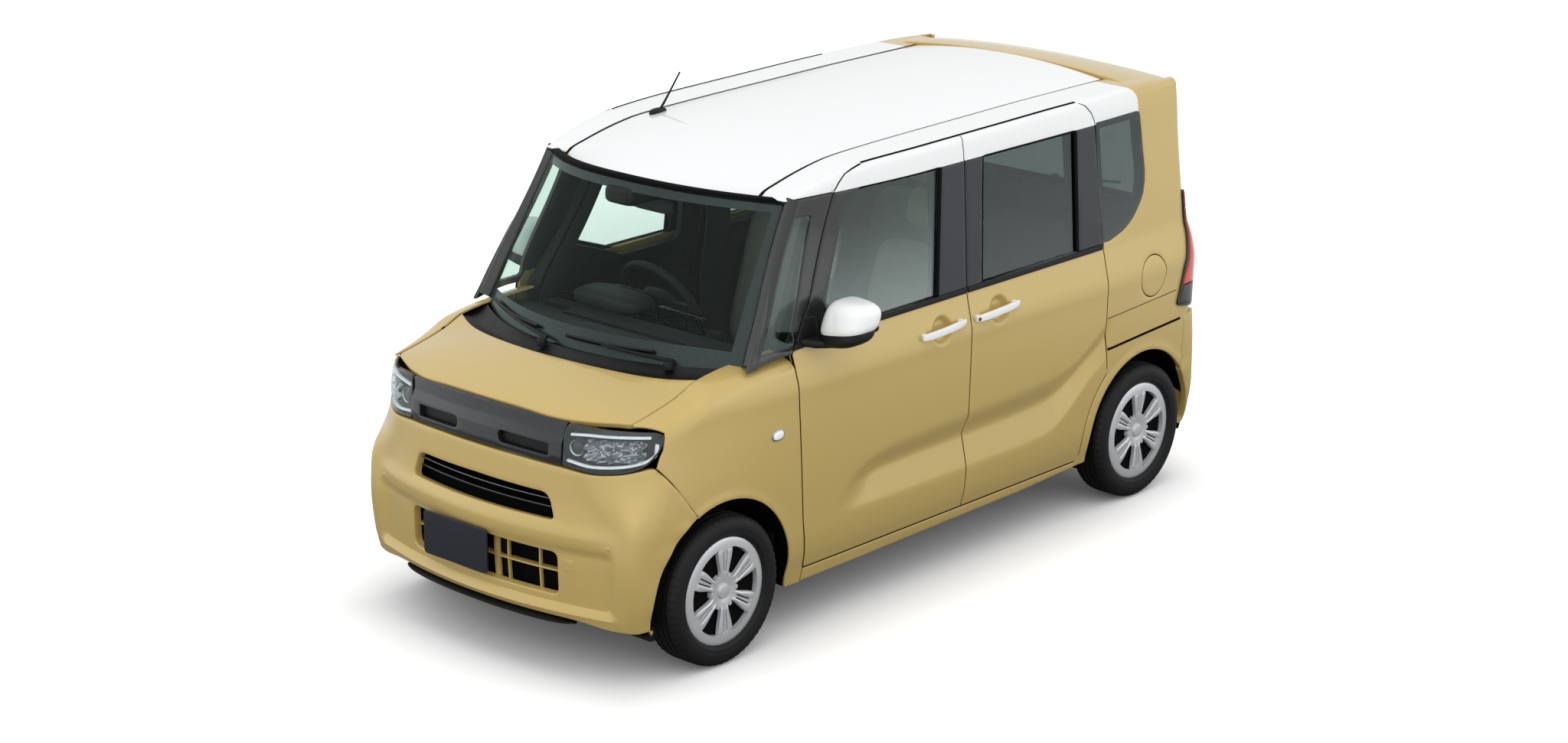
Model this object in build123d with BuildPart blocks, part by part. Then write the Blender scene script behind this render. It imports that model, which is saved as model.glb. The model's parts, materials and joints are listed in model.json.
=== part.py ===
from build123d import *
from math import cos, radians, sin
import os

os.makedirs("parts", exist_ok=True)

# A tall kei car, millimetres. +X is forward, +Y is the car's left, +Z is up.
# The origin is on the ground, in the middle of the overall length and width.

# ---------------------------------------------------------------- driving sizes
LENGTH = 3395.0
WIDTH = 1475.0
HEIGHT = 1755.0
WHEELBASE = 2460.0
FRONT_OVERHANG = 547.5
TRACK = 1300.0
TYRE_RADIUS = 278.5
TYRE_WIDTH = 155.0
RIM_RADIUS = 178.0
RIM_WIDTH = 127.0
ARCH_RADIUS = 340.0
PANEL_GAP = 6.0          # shut line round each panel that moves
DOOR_WALL = 75.0         # whole door, skin to trim, below the belt
FRAME_WALL = 45.0        # door frame or pillar, at the roof rail
BODY_WALL = 95.0         # whole body side below the belt
SHEET = 25.0             # roof, bonnet and other stiffened panels
GLASS = 5.0
GLASS_INSET = 12.0       # side glass behind the skin
SILL_Z = 190.0
DOOR_BOTTOM_Z = 245.0
BELT_Z = 1095.0
GLASS_BOTTOM_Z = 1112.0
GLASS_TOP_Z = 1606.0
FLOOR_Z = 240.0
DITCH_Y = 490.0          # joint between the roof and the roof rail
RAIL_DEPTH = 40.0
RAIL_EDGE_INSET = 92.0   # outer edge of the roof rail, from the widest point
POST_OUTER_Y = 615.0
POST_INNER_Y = 552.0
SILL_BEAM_Z = 330.0
SILL_BEAM_Y = 600.0
BONNET_HALF = 600.0
TAILGATE_HALF = 606.0

NOSE_X = LENGTH / 2
TAIL_X = -LENGTH / 2
SIDE = WIDTH / 2
FRONT_AXLE = NOSE_X - FRONT_OVERHANG
REAR_AXLE = FRONT_AXLE - WHEELBASE
WHEEL_Y = TRACK / 2
ABOVE_ROOF = HEIGHT + 100
BESIDE = WIDTH           # longer than any cut across the car needs

# Skin of one side in section, from the sill to the belt.
LOWER_SKIN = (           # height, inset from the widest point
    (SILL_Z, 52), (310, 23), (380, 15), (540, 27), (714, 14),
    (868, 3), (958, 0), (1060, 15), (BELT_Z, 31))
UPPER_SKIN = (           # depth below the roof rail's top, inset
    (80, 61), (30, 73))
DOOR_TIP = (8, 80)       # depth and inset of the skin's top edge
STATIONS = (             # x, lower taper, upper taper, height of the roof rail
    (1000, 7, 110, 1450), (700, 2, 68, 1614), (550, 1, 48, 1650), (400, 0, 30, 1675),
    (0, 0, 4, 1690), (-900, 0, 0, 1702), (-1300, 4, 10, 1702), (-1600, 10, 25, 1690))

# Side view outlines, x and z, each clockwise or not as convenient.
FRONT_DOOR = (
    (713, DOOR_BOTTOM_Z), (739, 431), (768, 791), (783, 967), (791, 1072), (667, 1258), (556, 1480),
    (502, 1595), (472, 1628), (440, 1656), (404, 1669), (347, 1679), (300, ABOVE_ROOF),
    (-189, ABOVE_ROOF), (-189, DOOR_BOTTOM_Z))
DOOR_SPLIT = -189.0      # rear edge of the front door
SLIDER_FRONT = DOOR_SPLIT - PANEL_GAP
SLIDING_DOOR = (
    (SLIDER_FRONT, DOOR_BOTTOM_Z), (SLIDER_FRONT, ABOVE_ROOF), (-890, ABOVE_ROOF), (-905, 1690),
    (-938, 1676), (-972, 1645), (-989, 1613), (-1024, 1327), (-1040, 1115), (-1043, 767),
    (-1066, 600), (-1066, DOOR_BOTTOM_Z))
SLIDER_ARCH_RADIUS = 388.0
FRONT_WINDOW = (
    (298, GLASS_BOTTOM_Z - 12), (600, 1217), (457, 1524), (420, 1570), (380, GLASS_TOP_Z),
    (-58, GLASS_TOP_Z), (-26, GLASS_BOTTOM_Z))
SLIDER_WINDOW = (
    (-295, GLASS_TOP_Z), (-872, GLASS_TOP_Z), (-884, 1130), (-280, GLASS_BOTTOM_Z + 2))
CORNER_WINDOW = ((950, 1108), (688, 1532), (622, 1532), (795, 1108))
QUARTER_WINDOW = (
    (-1003, 1600), (-1046, 1125), (-1128, 1132), (-1206, 1154), (-1270, 1204), (-1313, 1258),
    (-1331, 1317), (-1318, 1459), (-1299, 1585), (-1273, GLASS_TOP_Z))
FENDER_FRONT = ((1283, 590), (1402, 745), (1447, 803), (1424, 862), (1424, 935), (1492, 935))

# ---------------------------------------------------------------- helpers


def side_view(points):
    """Face across the car through an outline in x and z."""
    with BuildSketch(Plane.XZ) as view:
        with BuildLine():
            Polyline(*points, close=True)
        make_face()
    return view.sketch


def plan_view(points, z=0.0):
    """Horizontal face through an outline in x and y."""
    with BuildSketch(Plane.XY.offset(z)) as view:
        with BuildLine():
            Polyline(*points, close=True)
        make_face()
    return view.sketch


def cross_section(x, points):
    """Face across the car at x through an outline in y and z."""
    with BuildSketch(Plane.YZ.offset(x)) as section:
        with BuildLine():
            Polyline(*points, close=True)
        make_face()
    return section.sketch


def block(x, y, z):
    """Box between two limits on each axis."""
    with BuildPart(mode=Mode.PRIVATE) as solid:
        with BuildSketch(Plane.XY.offset(z[0])):
            with Locations(((x[0] + x[1]) / 2, (y[0] + y[1]) / 2)):
                Rectangle(abs(x[1] - x[0]), abs(y[1] - y[0]))
        extrude(amount=z[1] - z[0])
    return solid.part


def cylinder_y(radius, x, z, y_low, y_high):
    """Cylinder across the car."""
    with BuildPart(mode=Mode.PRIVATE) as solid:
        with BuildSketch(Plane.XZ.offset(-y_high)):
            with Locations((x, z)):
                Circle(radius)
        extrude(amount=y_high - y_low)
    return solid.part


def skin(lower, upper, rail):
    """Outer skin points of the left side at one station, sill to top edge."""
    points = [(SIDE - inset - lower, z) for z, inset in LOWER_SKIN]
    points += [(SIDE - inset - upper, rail - drop) for drop, inset in UPPER_SKIN]
    return points + [(SIDE - DOOR_TIP[1] - upper, rail - DOOR_TIP[0])]


def wall(station, low_wall):
    """Closed section of the side wall, thick below the belt and thin at the rail."""
    x, lower, upper, rail = station
    outer = skin(lower, upper, rail)
    tip_y = SIDE - RAIL_EDGE_INSET + PANEL_GAP - upper
    high_y = SIDE - UPPER_SKIN[0][1] - upper - FRAME_WALL
    rail_foot = rail - RAIL_DEPTH - PANEL_GAP
    inner = [(tip_y, rail - DOOR_TIP[0]), (tip_y, rail_foot), (high_y, rail_foot)]
    inner += [(y - low_wall, z) for y, z in reversed(outer[:len(LOWER_SKIN)])]
    return cross_section(x, outer + inner)


def side_wall(low_wall):
    """Left side wall of the whole car, before any door or window is cut."""
    return loft([wall(station, low_wall) for station in STATIONS], ruled=True, mode=Mode.PRIVATE)


def glass_wall():
    """Thin layer behind the skin that the side windows are cut from."""
    sections = []
    for x, lower, upper, rail in STATIONS:
        outer = skin(lower, upper, rail)[len(LOWER_SKIN) - 1:-1]
        near = [(y - GLASS_INSET, z) for y, z in outer]
        far = [(y - GLASS_INSET - GLASS, z) for y, z in reversed(outer)]
        sections.append(cross_section(x, near + far))
    return loft(sections, ruled=True, mode=Mode.PRIVATE)


def other_hand(part):
    """The same piece on the car's right."""
    with BuildPart() as twin:
        mirror(part, about=Plane.XZ)
    return twin


def write(builder, name):
    """Label a finished piece and write it."""
    builder.part.label = name
    export_step(builder.part, f"parts/{name}.step")


SIDE_WALL = side_wall(BODY_WALL)
DOOR_WALL_SOLID = side_wall(DOOR_WALL)
GLASS_WALL_SOLID = glass_wall()

# ---------------------------------------------------------------- windscreen
SCREEN_Z = (1047.0, 1640.0)
SCREEN_FOOT = (995.0, 658.0, 1235.0)    # corner x, corner y, centre x
SCREEN_HEAD = (646.0, 596.0, 913.0)     # the same, at the upper height
SCREEN_TOP_CORNER_Z = 1590.0
SCREEN_TOP_CENTRE_Z = 1622.0


def screen_section(z, corner_x, corner_y, centre_x, near, far):
    """Bowed band between two distances behind the outer face; far None reaches ahead of the car."""
    with BuildSketch(Plane.XY.offset(z)) as section:
        with BuildLine():
            bow = ThreePointArc((corner_x - near, -corner_y), (centre_x - near, 0), (corner_x - near, corner_y))
            if far is None:
                Polyline(bow @ 1, (NOSE_X, BESIDE), (NOSE_X, -BESIDE), bow @ 0)
            else:
                back = ThreePointArc((corner_x - far, -corner_y), (centre_x - far, 0), (corner_x - far, corner_y))
                Line(bow @ 1, back @ 1)
                Line(back @ 0, bow @ 0)
        make_face()
    return section.sketch


SCREEN_BEYOND = 60.0     # how far the cutting surface runs on below and above the glass


def screen_beyond(z, step):
    """Corner x, corner y and centre x of the screen's surface, run on in a straight line."""
    rise = SCREEN_Z[1] - SCREEN_Z[0]
    return [foot + (head - foot) * (z + step - SCREEN_Z[0]) / rise for foot, head in zip(SCREEN_FOOT, SCREEN_HEAD)]


AHEAD_OF_SCREEN = loft(
    [screen_section(SCREEN_Z[0] - SCREEN_BEYOND, *screen_beyond(SCREEN_Z[0], -SCREEN_BEYOND), GLASS, None),
     screen_section(SCREEN_Z[0], *SCREEN_FOOT, GLASS, None),
     screen_section(SCREEN_Z[1], *SCREEN_HEAD, GLASS, None),
     screen_section(SCREEN_Z[1] + SCREEN_BEYOND, *screen_beyond(SCREEN_Z[1], SCREEN_BEYOND), GLASS, None)],
    ruled=True, mode=Mode.PRIVATE)

with BuildPart() as windscreen:
    loft([screen_section(SCREEN_Z[0], *SCREEN_FOOT, 0, GLASS),
          screen_section(SCREEN_Z[1], *SCREEN_HEAD, 0, GLASS)], ruled=True)
    with BuildSketch(Plane.YZ) as screen_front_view:
        with BuildLine():
            head = ThreePointArc(
                (-SIDE, SCREEN_TOP_CORNER_Z - 15), (0, SCREEN_TOP_CENTRE_Z), (SIDE, SCREEN_TOP_CORNER_Z - 15))
            Polyline(head @ 1, (SIDE, SILL_Z), (-SIDE, SILL_Z), head @ 0)
        make_face()
    extrude(amount=LENGTH, both=True, mode=Mode.INTERSECT)
write(windscreen, "windscreen")

# ---------------------------------------------------------------- body sides
REAR_EDGE_X = -1560.0
CORNER_FRONT_X = -1500.0
BODY_SIDE = (
    (REAR_EDGE_X, ABOVE_ROOF), (REAR_EDGE_X, 430), (REAR_AXLE, 430), (REAR_AXLE, SILL_Z - 10),
    (FRONT_AXLE - ARCH_RADIUS - 8, SILL_Z - 10), (FRONT_AXLE - ARCH_RADIUS - 8, DOOR_BOTTOM_Z - PANEL_GAP),
    (700, DOOR_BOTTOM_Z - PANEL_GAP), (780, 1078), (1040, 1060), (1040, ABOVE_ROOF))
RAIL_REAR_X = -1474.0    # the tailgate spans the whole roof behind this
BUMPER_FRONT_X = -1580.0
BUMPER_TOP_Z = 700.0
B_POST = (-262.0, -152.0)
HINGE_POST = (716.0, 800.0)
FUEL_LID_X = -1355.0
FUEL_LID_Z = 926.0
FUEL_LID_RADIUS = 84.0
FUEL_LID_THICK = 12.0
FUEL_CUP_DEPTH = 50.0

# Rear corner between the side and the tailgate, also the seat of the tail lamp.
CORNER_LEVELS = (        # height, x of the rear face, lower or upper taper at the corner
    (430, -1668, 14), (690, -1668, 12), (960, -1676, 10), (1040, -1668, 12), (BELT_Z, -1640, 14),
    (1400, -1600, 12), (1660, -1585, 5))
LAMP_Z = (730.0, 1236.0)
LAMP_X = -1585.0
HOUSE_Y = 500.0          # inner face of the rear wheel house
HOUSE_WALL = 12.0
HOUSE_FOOT_Z = 370.0


def skin_y(z, rail=1695.0):
    """Half width of the straight part of the body at a height."""
    heights = [h for h, _ in LOWER_SKIN] + [rail - drop for drop, _ in UPPER_SKIN]
    insets = [inset for _, inset in LOWER_SKIN] + [inset for _, inset in UPPER_SKIN]
    for low, high, inset_low, inset_high in zip(heights, heights[1:], insets, insets[1:]):
        if z <= high:
            return SIDE - inset_low - (inset_high - inset_low) * (z - low) / (high - low)
    return SIDE - insets[-1]


def rear_corner():
    """Left rear corner post, from the bumper to the roof."""
    sections = []
    for z, rear_x, taper in CORNER_LEVELS:
        y = skin_y(z)
        sections.append(plan_view([
            (CORNER_FRONT_X, y - 8), (rear_x + 55, y - taper), (rear_x + 18, y - taper - 16),
            (rear_x, y - taper - 45), (rear_x, TAILGATE_HALF + PANEL_GAP),
            (CORNER_FRONT_X, TAILGATE_HALF + PANEL_GAP)], z))
    return loft(sections, ruled=True, mode=Mode.PRIVATE)


REAR_CORNER = rear_corner()


def wheel_house(x, y_inner):
    """Liner over a rear wheel, with its inner wall."""
    with BuildPart(mode=Mode.PRIVATE) as house:
        add(cylinder_y(ARCH_RADIUS + 14, x, TYRE_RADIUS, y_inner - HOUSE_WALL, SIDE - BODY_WALL + 20))
        add(cylinder_y(ARCH_RADIUS, x, TYRE_RADIUS, y_inner, SIDE), mode=Mode.SUBTRACT)
        add(block((x - 500, x + 500), (0, SIDE), (-200, HOUSE_FOOT_Z)), mode=Mode.SUBTRACT)
    return house.part


with BuildPart() as body_side_left:
    add(SIDE_WALL)
    extrude(side_view(BODY_SIDE), amount=BESIDE, both=True, mode=Mode.INTERSECT)
    door_hole = offset(side_view(FRONT_DOOR), PANEL_GAP, kind=Kind.INTERSECTION, mode=Mode.PRIVATE)
    extrude(door_hole, amount=BESIDE, both=True, mode=Mode.SUBTRACT)
    with BuildPart(mode=Mode.PRIVATE) as slider_hole:
        extrude(offset(side_view(SLIDING_DOOR), PANEL_GAP, kind=Kind.INTERSECTION, mode=Mode.PRIVATE),
                amount=BESIDE, both=True)
        add(cylinder_y(SLIDER_ARCH_RADIUS - PANEL_GAP, REAR_AXLE, TYRE_RADIUS, -BESIDE, BESIDE),
            mode=Mode.SUBTRACT)
    add(slider_hole.part, mode=Mode.SUBTRACT)
    extrude(side_view(CORNER_WINDOW), amount=BESIDE, both=True, mode=Mode.SUBTRACT)
    extrude(side_view(QUARTER_WINDOW), amount=BESIDE, both=True, mode=Mode.SUBTRACT)
    # roof rail
    rail_sections = [
        cross_section(x, [(DITCH_Y, rail), (SIDE - RAIL_EDGE_INSET - upper, rail - 2),
                          (SIDE - RAIL_EDGE_INSET - upper, rail - RAIL_DEPTH), (DITCH_Y, rail - RAIL_DEPTH)])
        for x, lower, upper, rail in STATIONS]
    loft(rail_sections, ruled=True)
    # sill beam, hinge post and B post behind the doors
    add(block((REAR_AXLE + ARCH_RADIUS + 10, HINGE_POST[1]), (POST_INNER_Y, SILL_BEAM_Y), (SILL_Z, SILL_BEAM_Z)))
    add(block(HINGE_POST, (POST_INNER_Y, POST_OUTER_Y - 5), (SILL_Z, BELT_Z)))
    add(block(B_POST, (POST_INNER_Y, POST_OUTER_Y - 10), (SILL_Z, 1665)))
    # rear corner and wheel house
    add(REAR_CORNER)
    add(block((TAIL_X, LAMP_X), (TAILGATE_HALF - 20, SIDE), LAMP_Z), mode=Mode.SUBTRACT)
    add(wheel_house(REAR_AXLE, HOUSE_Y))
    add(cylinder_y(ARCH_RADIUS, REAR_AXLE, TYRE_RADIUS, HOUSE_Y, BESIDE), mode=Mode.SUBTRACT)
    add(block((TAIL_X, BUMPER_FRONT_X), (HOUSE_Y - 20, BESIDE), (0, BUMPER_TOP_Z)), mode=Mode.SUBTRACT)
    add(block((TAIL_X, RAIL_REAR_X), (0, TAILGATE_HALF), (BUMPER_TOP_Z, ABOVE_ROOF)), mode=Mode.SUBTRACT)
    add(AHEAD_OF_SCREEN, mode=Mode.SUBTRACT)
body_side_right = other_hand(body_side_left.part)

with BuildPart() as body_side_left_cut:
    add(body_side_left.part)
    add(cylinder_y(FUEL_LID_RADIUS + PANEL_GAP, FUEL_LID_X, FUEL_LID_Z, SIDE - FUEL_CUP_DEPTH, BESIDE),
        mode=Mode.SUBTRACT)
write(body_side_left_cut, "body_side_left")
write(body_side_right, "body_side_right")

with BuildPart() as fuel_lid:
    add(SIDE_WALL)
    add(cylinder_y(FUEL_LID_RADIUS, FUEL_LID_X, FUEL_LID_Z, SIDE - FUEL_LID_THICK - 12, BESIDE), mode=Mode.INTERSECT)
write(fuel_lid, "fuel_lid")

# ---------------------------------------------------------------- roof
ROOF = (                 # x, height at the centre, height at the ditch
    (960, 1605, 1470), (735, 1678, 1592), (550, 1712, 1650), (280, 1738, 1680),
    (-300, 1754, 1694), (-800, HEIGHT, 1701), (-1290, 1740, 1702))
with BuildPart() as roof_panel:
    roof_sections = []
    for x, centre, edge in ROOF:
        with BuildSketch(Plane.YZ.offset(x)) as roof_section:
            with BuildLine():
                top = ThreePointArc((-DITCH_Y, edge), (0, centre), (DITCH_Y, edge))
                low = ThreePointArc((-DITCH_Y, edge - SHEET), (0, centre - SHEET), (DITCH_Y, edge - SHEET))
                Line(top @ 0, low @ 0)
                Line(top @ 1, low @ 1)
            make_face()
        roof_sections.append(roof_section.sketch)
    loft(roof_sections, ruled=True)
    add(AHEAD_OF_SCREEN, mode=Mode.SUBTRACT)
write(roof_panel, "roof_panel")

# ---------------------------------------------------------------- doors
REAR_BEVEL = 9.0         # the door's inner rear edge stands back, to swing past its neighbour
DOOR_GLASS_Y = (SIDE - 200, BESIDE)


def hinged_door():
    """Left front door with its window cut."""
    with BuildPart() as door:
        add(DOOR_WALL_SOLID)
        extrude(side_view(FRONT_DOOR), amount=BESIDE, both=True, mode=Mode.INTERSECT)
        extrude(side_view(FRONT_WINDOW), amount=BESIDE, both=True, mode=Mode.SUBTRACT)
        bevel = plan_view([(DOOR_SPLIT - 1, SIDE), (DOOR_SPLIT - 1, POST_INNER_Y),
                           (DOOR_SPLIT + REAR_BEVEL * 1.6, POST_INNER_Y), (DOOR_SPLIT, SIDE)])
        extrude(bevel, amount=ABOVE_ROOF, mode=Mode.SUBTRACT)
    return door


def window(outline):
    """Left pane that fills one window outline."""
    with BuildPart() as pane:
        add(GLASS_WALL_SOLID)
        extrude(side_view(outline), amount=BESIDE, both=True, mode=Mode.INTERSECT)
    return pane


front_door_left = hinged_door()
write(front_door_left, "front_door_left")
write(other_hand(front_door_left.part), "front_door_right")
front_pane = window(FRONT_WINDOW)
write(front_pane, "front_door_glass_left")
write(other_hand(front_pane.part), "front_door_glass_right")

with BuildPart() as sliding_door_left:
    add(DOOR_WALL_SOLID)
    extrude(side_view(SLIDING_DOOR), amount=BESIDE, both=True, mode=Mode.INTERSECT)
    extrude(side_view(SLIDER_WINDOW), amount=BESIDE, both=True, mode=Mode.SUBTRACT)
    add(cylinder_y(SLIDER_ARCH_RADIUS, REAR_AXLE, TYRE_RADIUS, -BESIDE, BESIDE), mode=Mode.SUBTRACT)
write(sliding_door_left, "sliding_door_left")
write(other_hand(sliding_door_left.part), "sliding_door_right")

sliding_pane = window(SLIDER_WINDOW)
with BuildPart() as sliding_door_glass:
    add(sliding_pane.part)
    mirror(sliding_pane.part, about=Plane.XZ)
write(sliding_door_glass, "sliding_door_glass")

corner_pane = window(CORNER_WINDOW)
quarter_pane = window(QUARTER_WINDOW)
with BuildPart() as fixed_side_glass:
    for fixed_pane in (corner_pane, quarter_pane):
        add(fixed_pane.part)
        mirror(fixed_pane.part, about=Plane.XZ)
write(fixed_side_glass, "fixed_side_glass")

# ---------------------------------------------------------------- mirrors
MIRROR_X = (640.0, 735.0)
MIRROR_Y = (722.0, 905.0)
MIRROR_Z = (1080.0, 1205.0)
with BuildPart() as mirror_left:
    with BuildSketch(Plane.XY.offset(MIRROR_Z[0])):
        with BuildLine():
            glass_side = Line((MIRROR_X[0], MIRROR_Y[0]), (MIRROR_X[0], MIRROR_Y[1]))
            cap_tip = Line(glass_side @ 1, (MIRROR_X[0] + 35, MIRROR_Y[1]))
            ThreePointArc(cap_tip @ 1, (MIRROR_X[1] - 12, (MIRROR_Y[0] + MIRROR_Y[1]) / 2), (MIRROR_X[1], MIRROR_Y[0]))
            Line((MIRROR_X[1], MIRROR_Y[0]), glass_side @ 0)
        make_face()
    extrude(amount=MIRROR_Z[1] - MIRROR_Z[0])
    fillet(mirror_left.edges().group_by(Axis.Z)[-1], 20)
    # foot on the door's shoulder
    with BuildSketch(Plane.YZ.offset(MIRROR_X[0] + 20)):
        with BuildLine():
            Polyline((706, 1060), (760, 1084), (760, 1120), (700, 1120), (694, 1098), close=True)
        make_face()
    extrude(amount=60)
    add(front_door_left.part, mode=Mode.SUBTRACT)
write(mirror_left, "mirror_left")
write(other_hand(mirror_left.part), "mirror_right")

# ---------------------------------------------------------------- front fenders
FENDER_STATIONS = (      # x, lower taper, shoulder's height and share of the way from bonnet to skin, height inboard
    (700, 2, 1080, 0.69, 1092), (1000, 6, 1068, 0.68, 1072), (1200, 11, 1036, 0.685, 1046),
    (1330, 17, 990, 0.633, 996), (1500, 34, 925, 0.364, 940))
FENDER_WALL = 45.0
FENDER_OUTLINE = (
    (713 + PANEL_GAP, DOOR_BOTTOM_Z - PANEL_GAP), (739 + PANEL_GAP, 431), (768 + PANEL_GAP, 791),
    (783 + PANEL_GAP, 967), (791 + PANEL_GAP, 1077), (1034, 1061), (1040, ABOVE_ROOF), (1492, ABOVE_ROOF),
    *reversed(FENDER_FRONT), (FRONT_AXLE, 500), (FRONT_AXLE, 400),
    (FRONT_AXLE - ARCH_RADIUS - 8, DOOR_BOTTOM_Z - PANEL_GAP))
with BuildPart() as front_fender_left:
    fender_sections = []
    for x, taper, shoulder_z, shoulder_share, inboard_z in FENDER_STATIONS:
        inboard_y = BONNET_HALF + PANEL_GAP
        shoulder_y = inboard_y + shoulder_share * (SIDE - taper - inboard_y)
        fender_skin = [(SIDE - inset - taper, z) for z, inset in LOWER_SKIN[:5]]
        fender_skin += [(SIDE - taper - 4, shoulder_z - 80), (SIDE - taper - 16, shoulder_z - 25),
                        (shoulder_y, shoulder_z), (inboard_y, inboard_z)]
        fender_skin += [(inboard_y, inboard_z - SHEET), (shoulder_y - FENDER_WALL, shoulder_z - SHEET - 20)]
        fender_skin += [(SIDE - inset - taper - FENDER_WALL, z) for z, inset in reversed(LOWER_SKIN[:5])]
        fender_sections.append(cross_section(x, fender_skin))
    loft(fender_sections, ruled=True)
    extrude(side_view(FENDER_OUTLINE), amount=BESIDE, both=True, mode=Mode.INTERSECT)
    add(cylinder_y(ARCH_RADIUS, FRONT_AXLE, TYRE_RADIUS, 0, BESIDE), mode=Mode.SUBTRACT)
    add(body_side_left.part, mode=Mode.SUBTRACT)
    add(windscreen.part, mode=Mode.SUBTRACT)
write(front_fender_left, "front_fender_left")
write(other_hand(front_fender_left.part), "front_fender_right")

# ---------------------------------------------------------------- nose
NOSE_LEVELS = (          # height, x at the centre, corner start x and y, corner middle x and y, side x and y
    (205, 1678, 1635, 400, 1545, 622, 1440, 668),
    (300, 1690, 1630, 460, 1568, 640, 1450, 690),
    (440, NOSE_X, 1640, 450, 1578, 650, 1455, 706),
    (585, 1678, 1632, 450, 1572, 648, 1400, 708),
    (690, 1668, 1622, 430, 1530, 620, 1380, 704),
    (790, 1664, 1612, 430, 1512, 610, 1380, 700),
    (912, 1652, 1585, 430, 1470, 620, 1360, 690))
NOSE_BACK_X = 1270.0
BUMPER_WALL = 45.0
LAMP_DEPTH = 110.0
LAMP_INNER_Y = 391.0
SLOT_Z = (592.0, 682.0)
SLOT_HALF = 335.0
INTAKE_Z = (312.0, 470.0)
INTAKE_HALF = 372.0
GRILLE_DEPTH = 60.0


def nose_section(level, near, far):
    """Band of the nose at one height, between two depths behind its face."""
    z, centre_x, start_x, start_y, middle_x, middle_y, side_x, side_y = level
    with BuildSketch(Plane.XY.offset(z)) as section:
        with BuildLine():
            front = ThreePointArc((start_x - near, -start_y + near / 3), (centre_x - near, 0),
                                  (start_x - near, start_y - near / 3))
            left = ThreePointArc(front @ 1, (middle_x - near * 0.8, middle_y - near * 0.6),
                                 (side_x, side_y - near))
            left_side = Line(left @ 1, (NOSE_BACK_X, side_y - near + 6))
            right = ThreePointArc(front @ 0, (middle_x - near * 0.8, near * 0.6 - middle_y),
                                  (side_x, near - side_y))
            right_side = Line(right @ 1, (NOSE_BACK_X, near - side_y - 6))
            front_in = ThreePointArc((start_x - far, -start_y + far / 3), (centre_x - far, 0),
                                     (start_x - far, start_y - far / 3))
            left_in = ThreePointArc(front_in @ 1, (middle_x - far * 0.8, middle_y - far * 0.6),
                                    (side_x, side_y - far))
            left_in_side = Line(left_in @ 1, (NOSE_BACK_X, side_y - far + 6))
            right_in = ThreePointArc(front_in @ 0, (middle_x - far * 0.8, far * 0.6 - middle_y),
                                     (side_x, far - side_y))
            right_in_side = Line(right_in @ 1, (NOSE_BACK_X, far - side_y - 6))
            Line(left_side @ 1, left_in_side @ 1)
            Line(right_side @ 1, right_in_side @ 1)
        make_face()
    return section.sketch


def nose_band(levels, near, far):
    """Shell round the nose through several levels."""
    return loft([nose_section(level, near, far) for level in levels], ruled=True, mode=Mode.PRIVATE)


BUMPER_OUTLINE = ((1283, 500), (1283, 590), (1402, 745), (1446, 800), (NOSE_X + 50, 800),
                  (NOSE_X + 50, 150), (1283, 150))
with BuildPart() as front_bumper:
    add(nose_band(NOSE_LEVELS[:6], 0, BUMPER_WALL))
    extrude(side_view(BUMPER_OUTLINE), amount=BESIDE, both=True, mode=Mode.INTERSECT)
    add(cylinder_y(ARCH_RADIUS, FRONT_AXLE, TYRE_RADIUS, -BESIDE, BESIDE), mode=Mode.SUBTRACT)
    add(block((1500, NOSE_X + 50), (-SLOT_HALF, SLOT_HALF), SLOT_Z), mode=Mode.SUBTRACT)
    add(block((1500, NOSE_X + 50), (-INTAKE_HALF, INTAKE_HALF), INTAKE_Z), mode=Mode.SUBTRACT)
write(front_bumper, "front_bumper")

with BuildPart() as lower_grille:
    add(nose_band(NOSE_LEVELS[1:5], BUMPER_WALL, GRILLE_DEPTH))
    add(block((1500, NOSE_X), (-400, 400), (INTAKE_Z[0] - 10, SLOT_Z[1] + 6)), mode=Mode.INTERSECT)
    # bars of the intake and of the slot
    for bar_z in (345, 385, 430, 637):
        bar_half = SLOT_HALF if bar_z > SLOT_Z[0] else INTAKE_HALF
        with BuildPart(mode=Mode.PRIVATE) as bar:
            add(nose_band(NOSE_LEVELS[1:5], 14, BUMPER_WALL + 4))
            add(block((1500, NOSE_X), (-bar_half, bar_half), (bar_z, bar_z + 8)), mode=Mode.INTERSECT)
        add(bar.part)
write(lower_grille, "lower_grille")

HEADLAMP_OUTLINE = ((1449, 802), (1426, 862), (1426, 930), (NOSE_X, 930), (NOSE_X, 802))
with BuildPart() as headlamp:
    add(nose_band(NOSE_LEVELS[5:], 0, LAMP_DEPTH))
    extrude(side_view(HEADLAMP_OUTLINE), amount=BESIDE, both=True, mode=Mode.INTERSECT)
    add(block((NOSE_BACK_X, NOSE_X), (-BESIDE, LAMP_INNER_Y), (700, 1000)), mode=Mode.SUBTRACT)
with BuildPart() as headlamps:
    add(headlamp.part)
    mirror(headlamp.part, about=Plane.XZ)
write(headlamps, "headlamps")

with BuildPart() as upper_grille:
    add(nose_band(NOSE_LEVELS[5:], 0, BUMPER_WALL))
    add(block((1450, NOSE_X), (-LAMP_INNER_Y, LAMP_INNER_Y), (802, 908)), mode=Mode.INTERSECT)
    for slot_y in (-205, 205):
        add(block((1450, NOSE_X), (slot_y - 115, slot_y + 115), (838, 872)) , mode=Mode.SUBTRACT)
    with BuildPart(mode=Mode.PRIVATE) as grille_back:
        add(nose_band(NOSE_LEVELS[5:], BUMPER_WALL, GRILLE_DEPTH))
        add(block((1450, NOSE_X), (-LAMP_INNER_Y, LAMP_INNER_Y), (802, 900)), mode=Mode.INTERSECT)
    add(grille_back.part)
write(upper_grille, "upper_grille")

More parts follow.
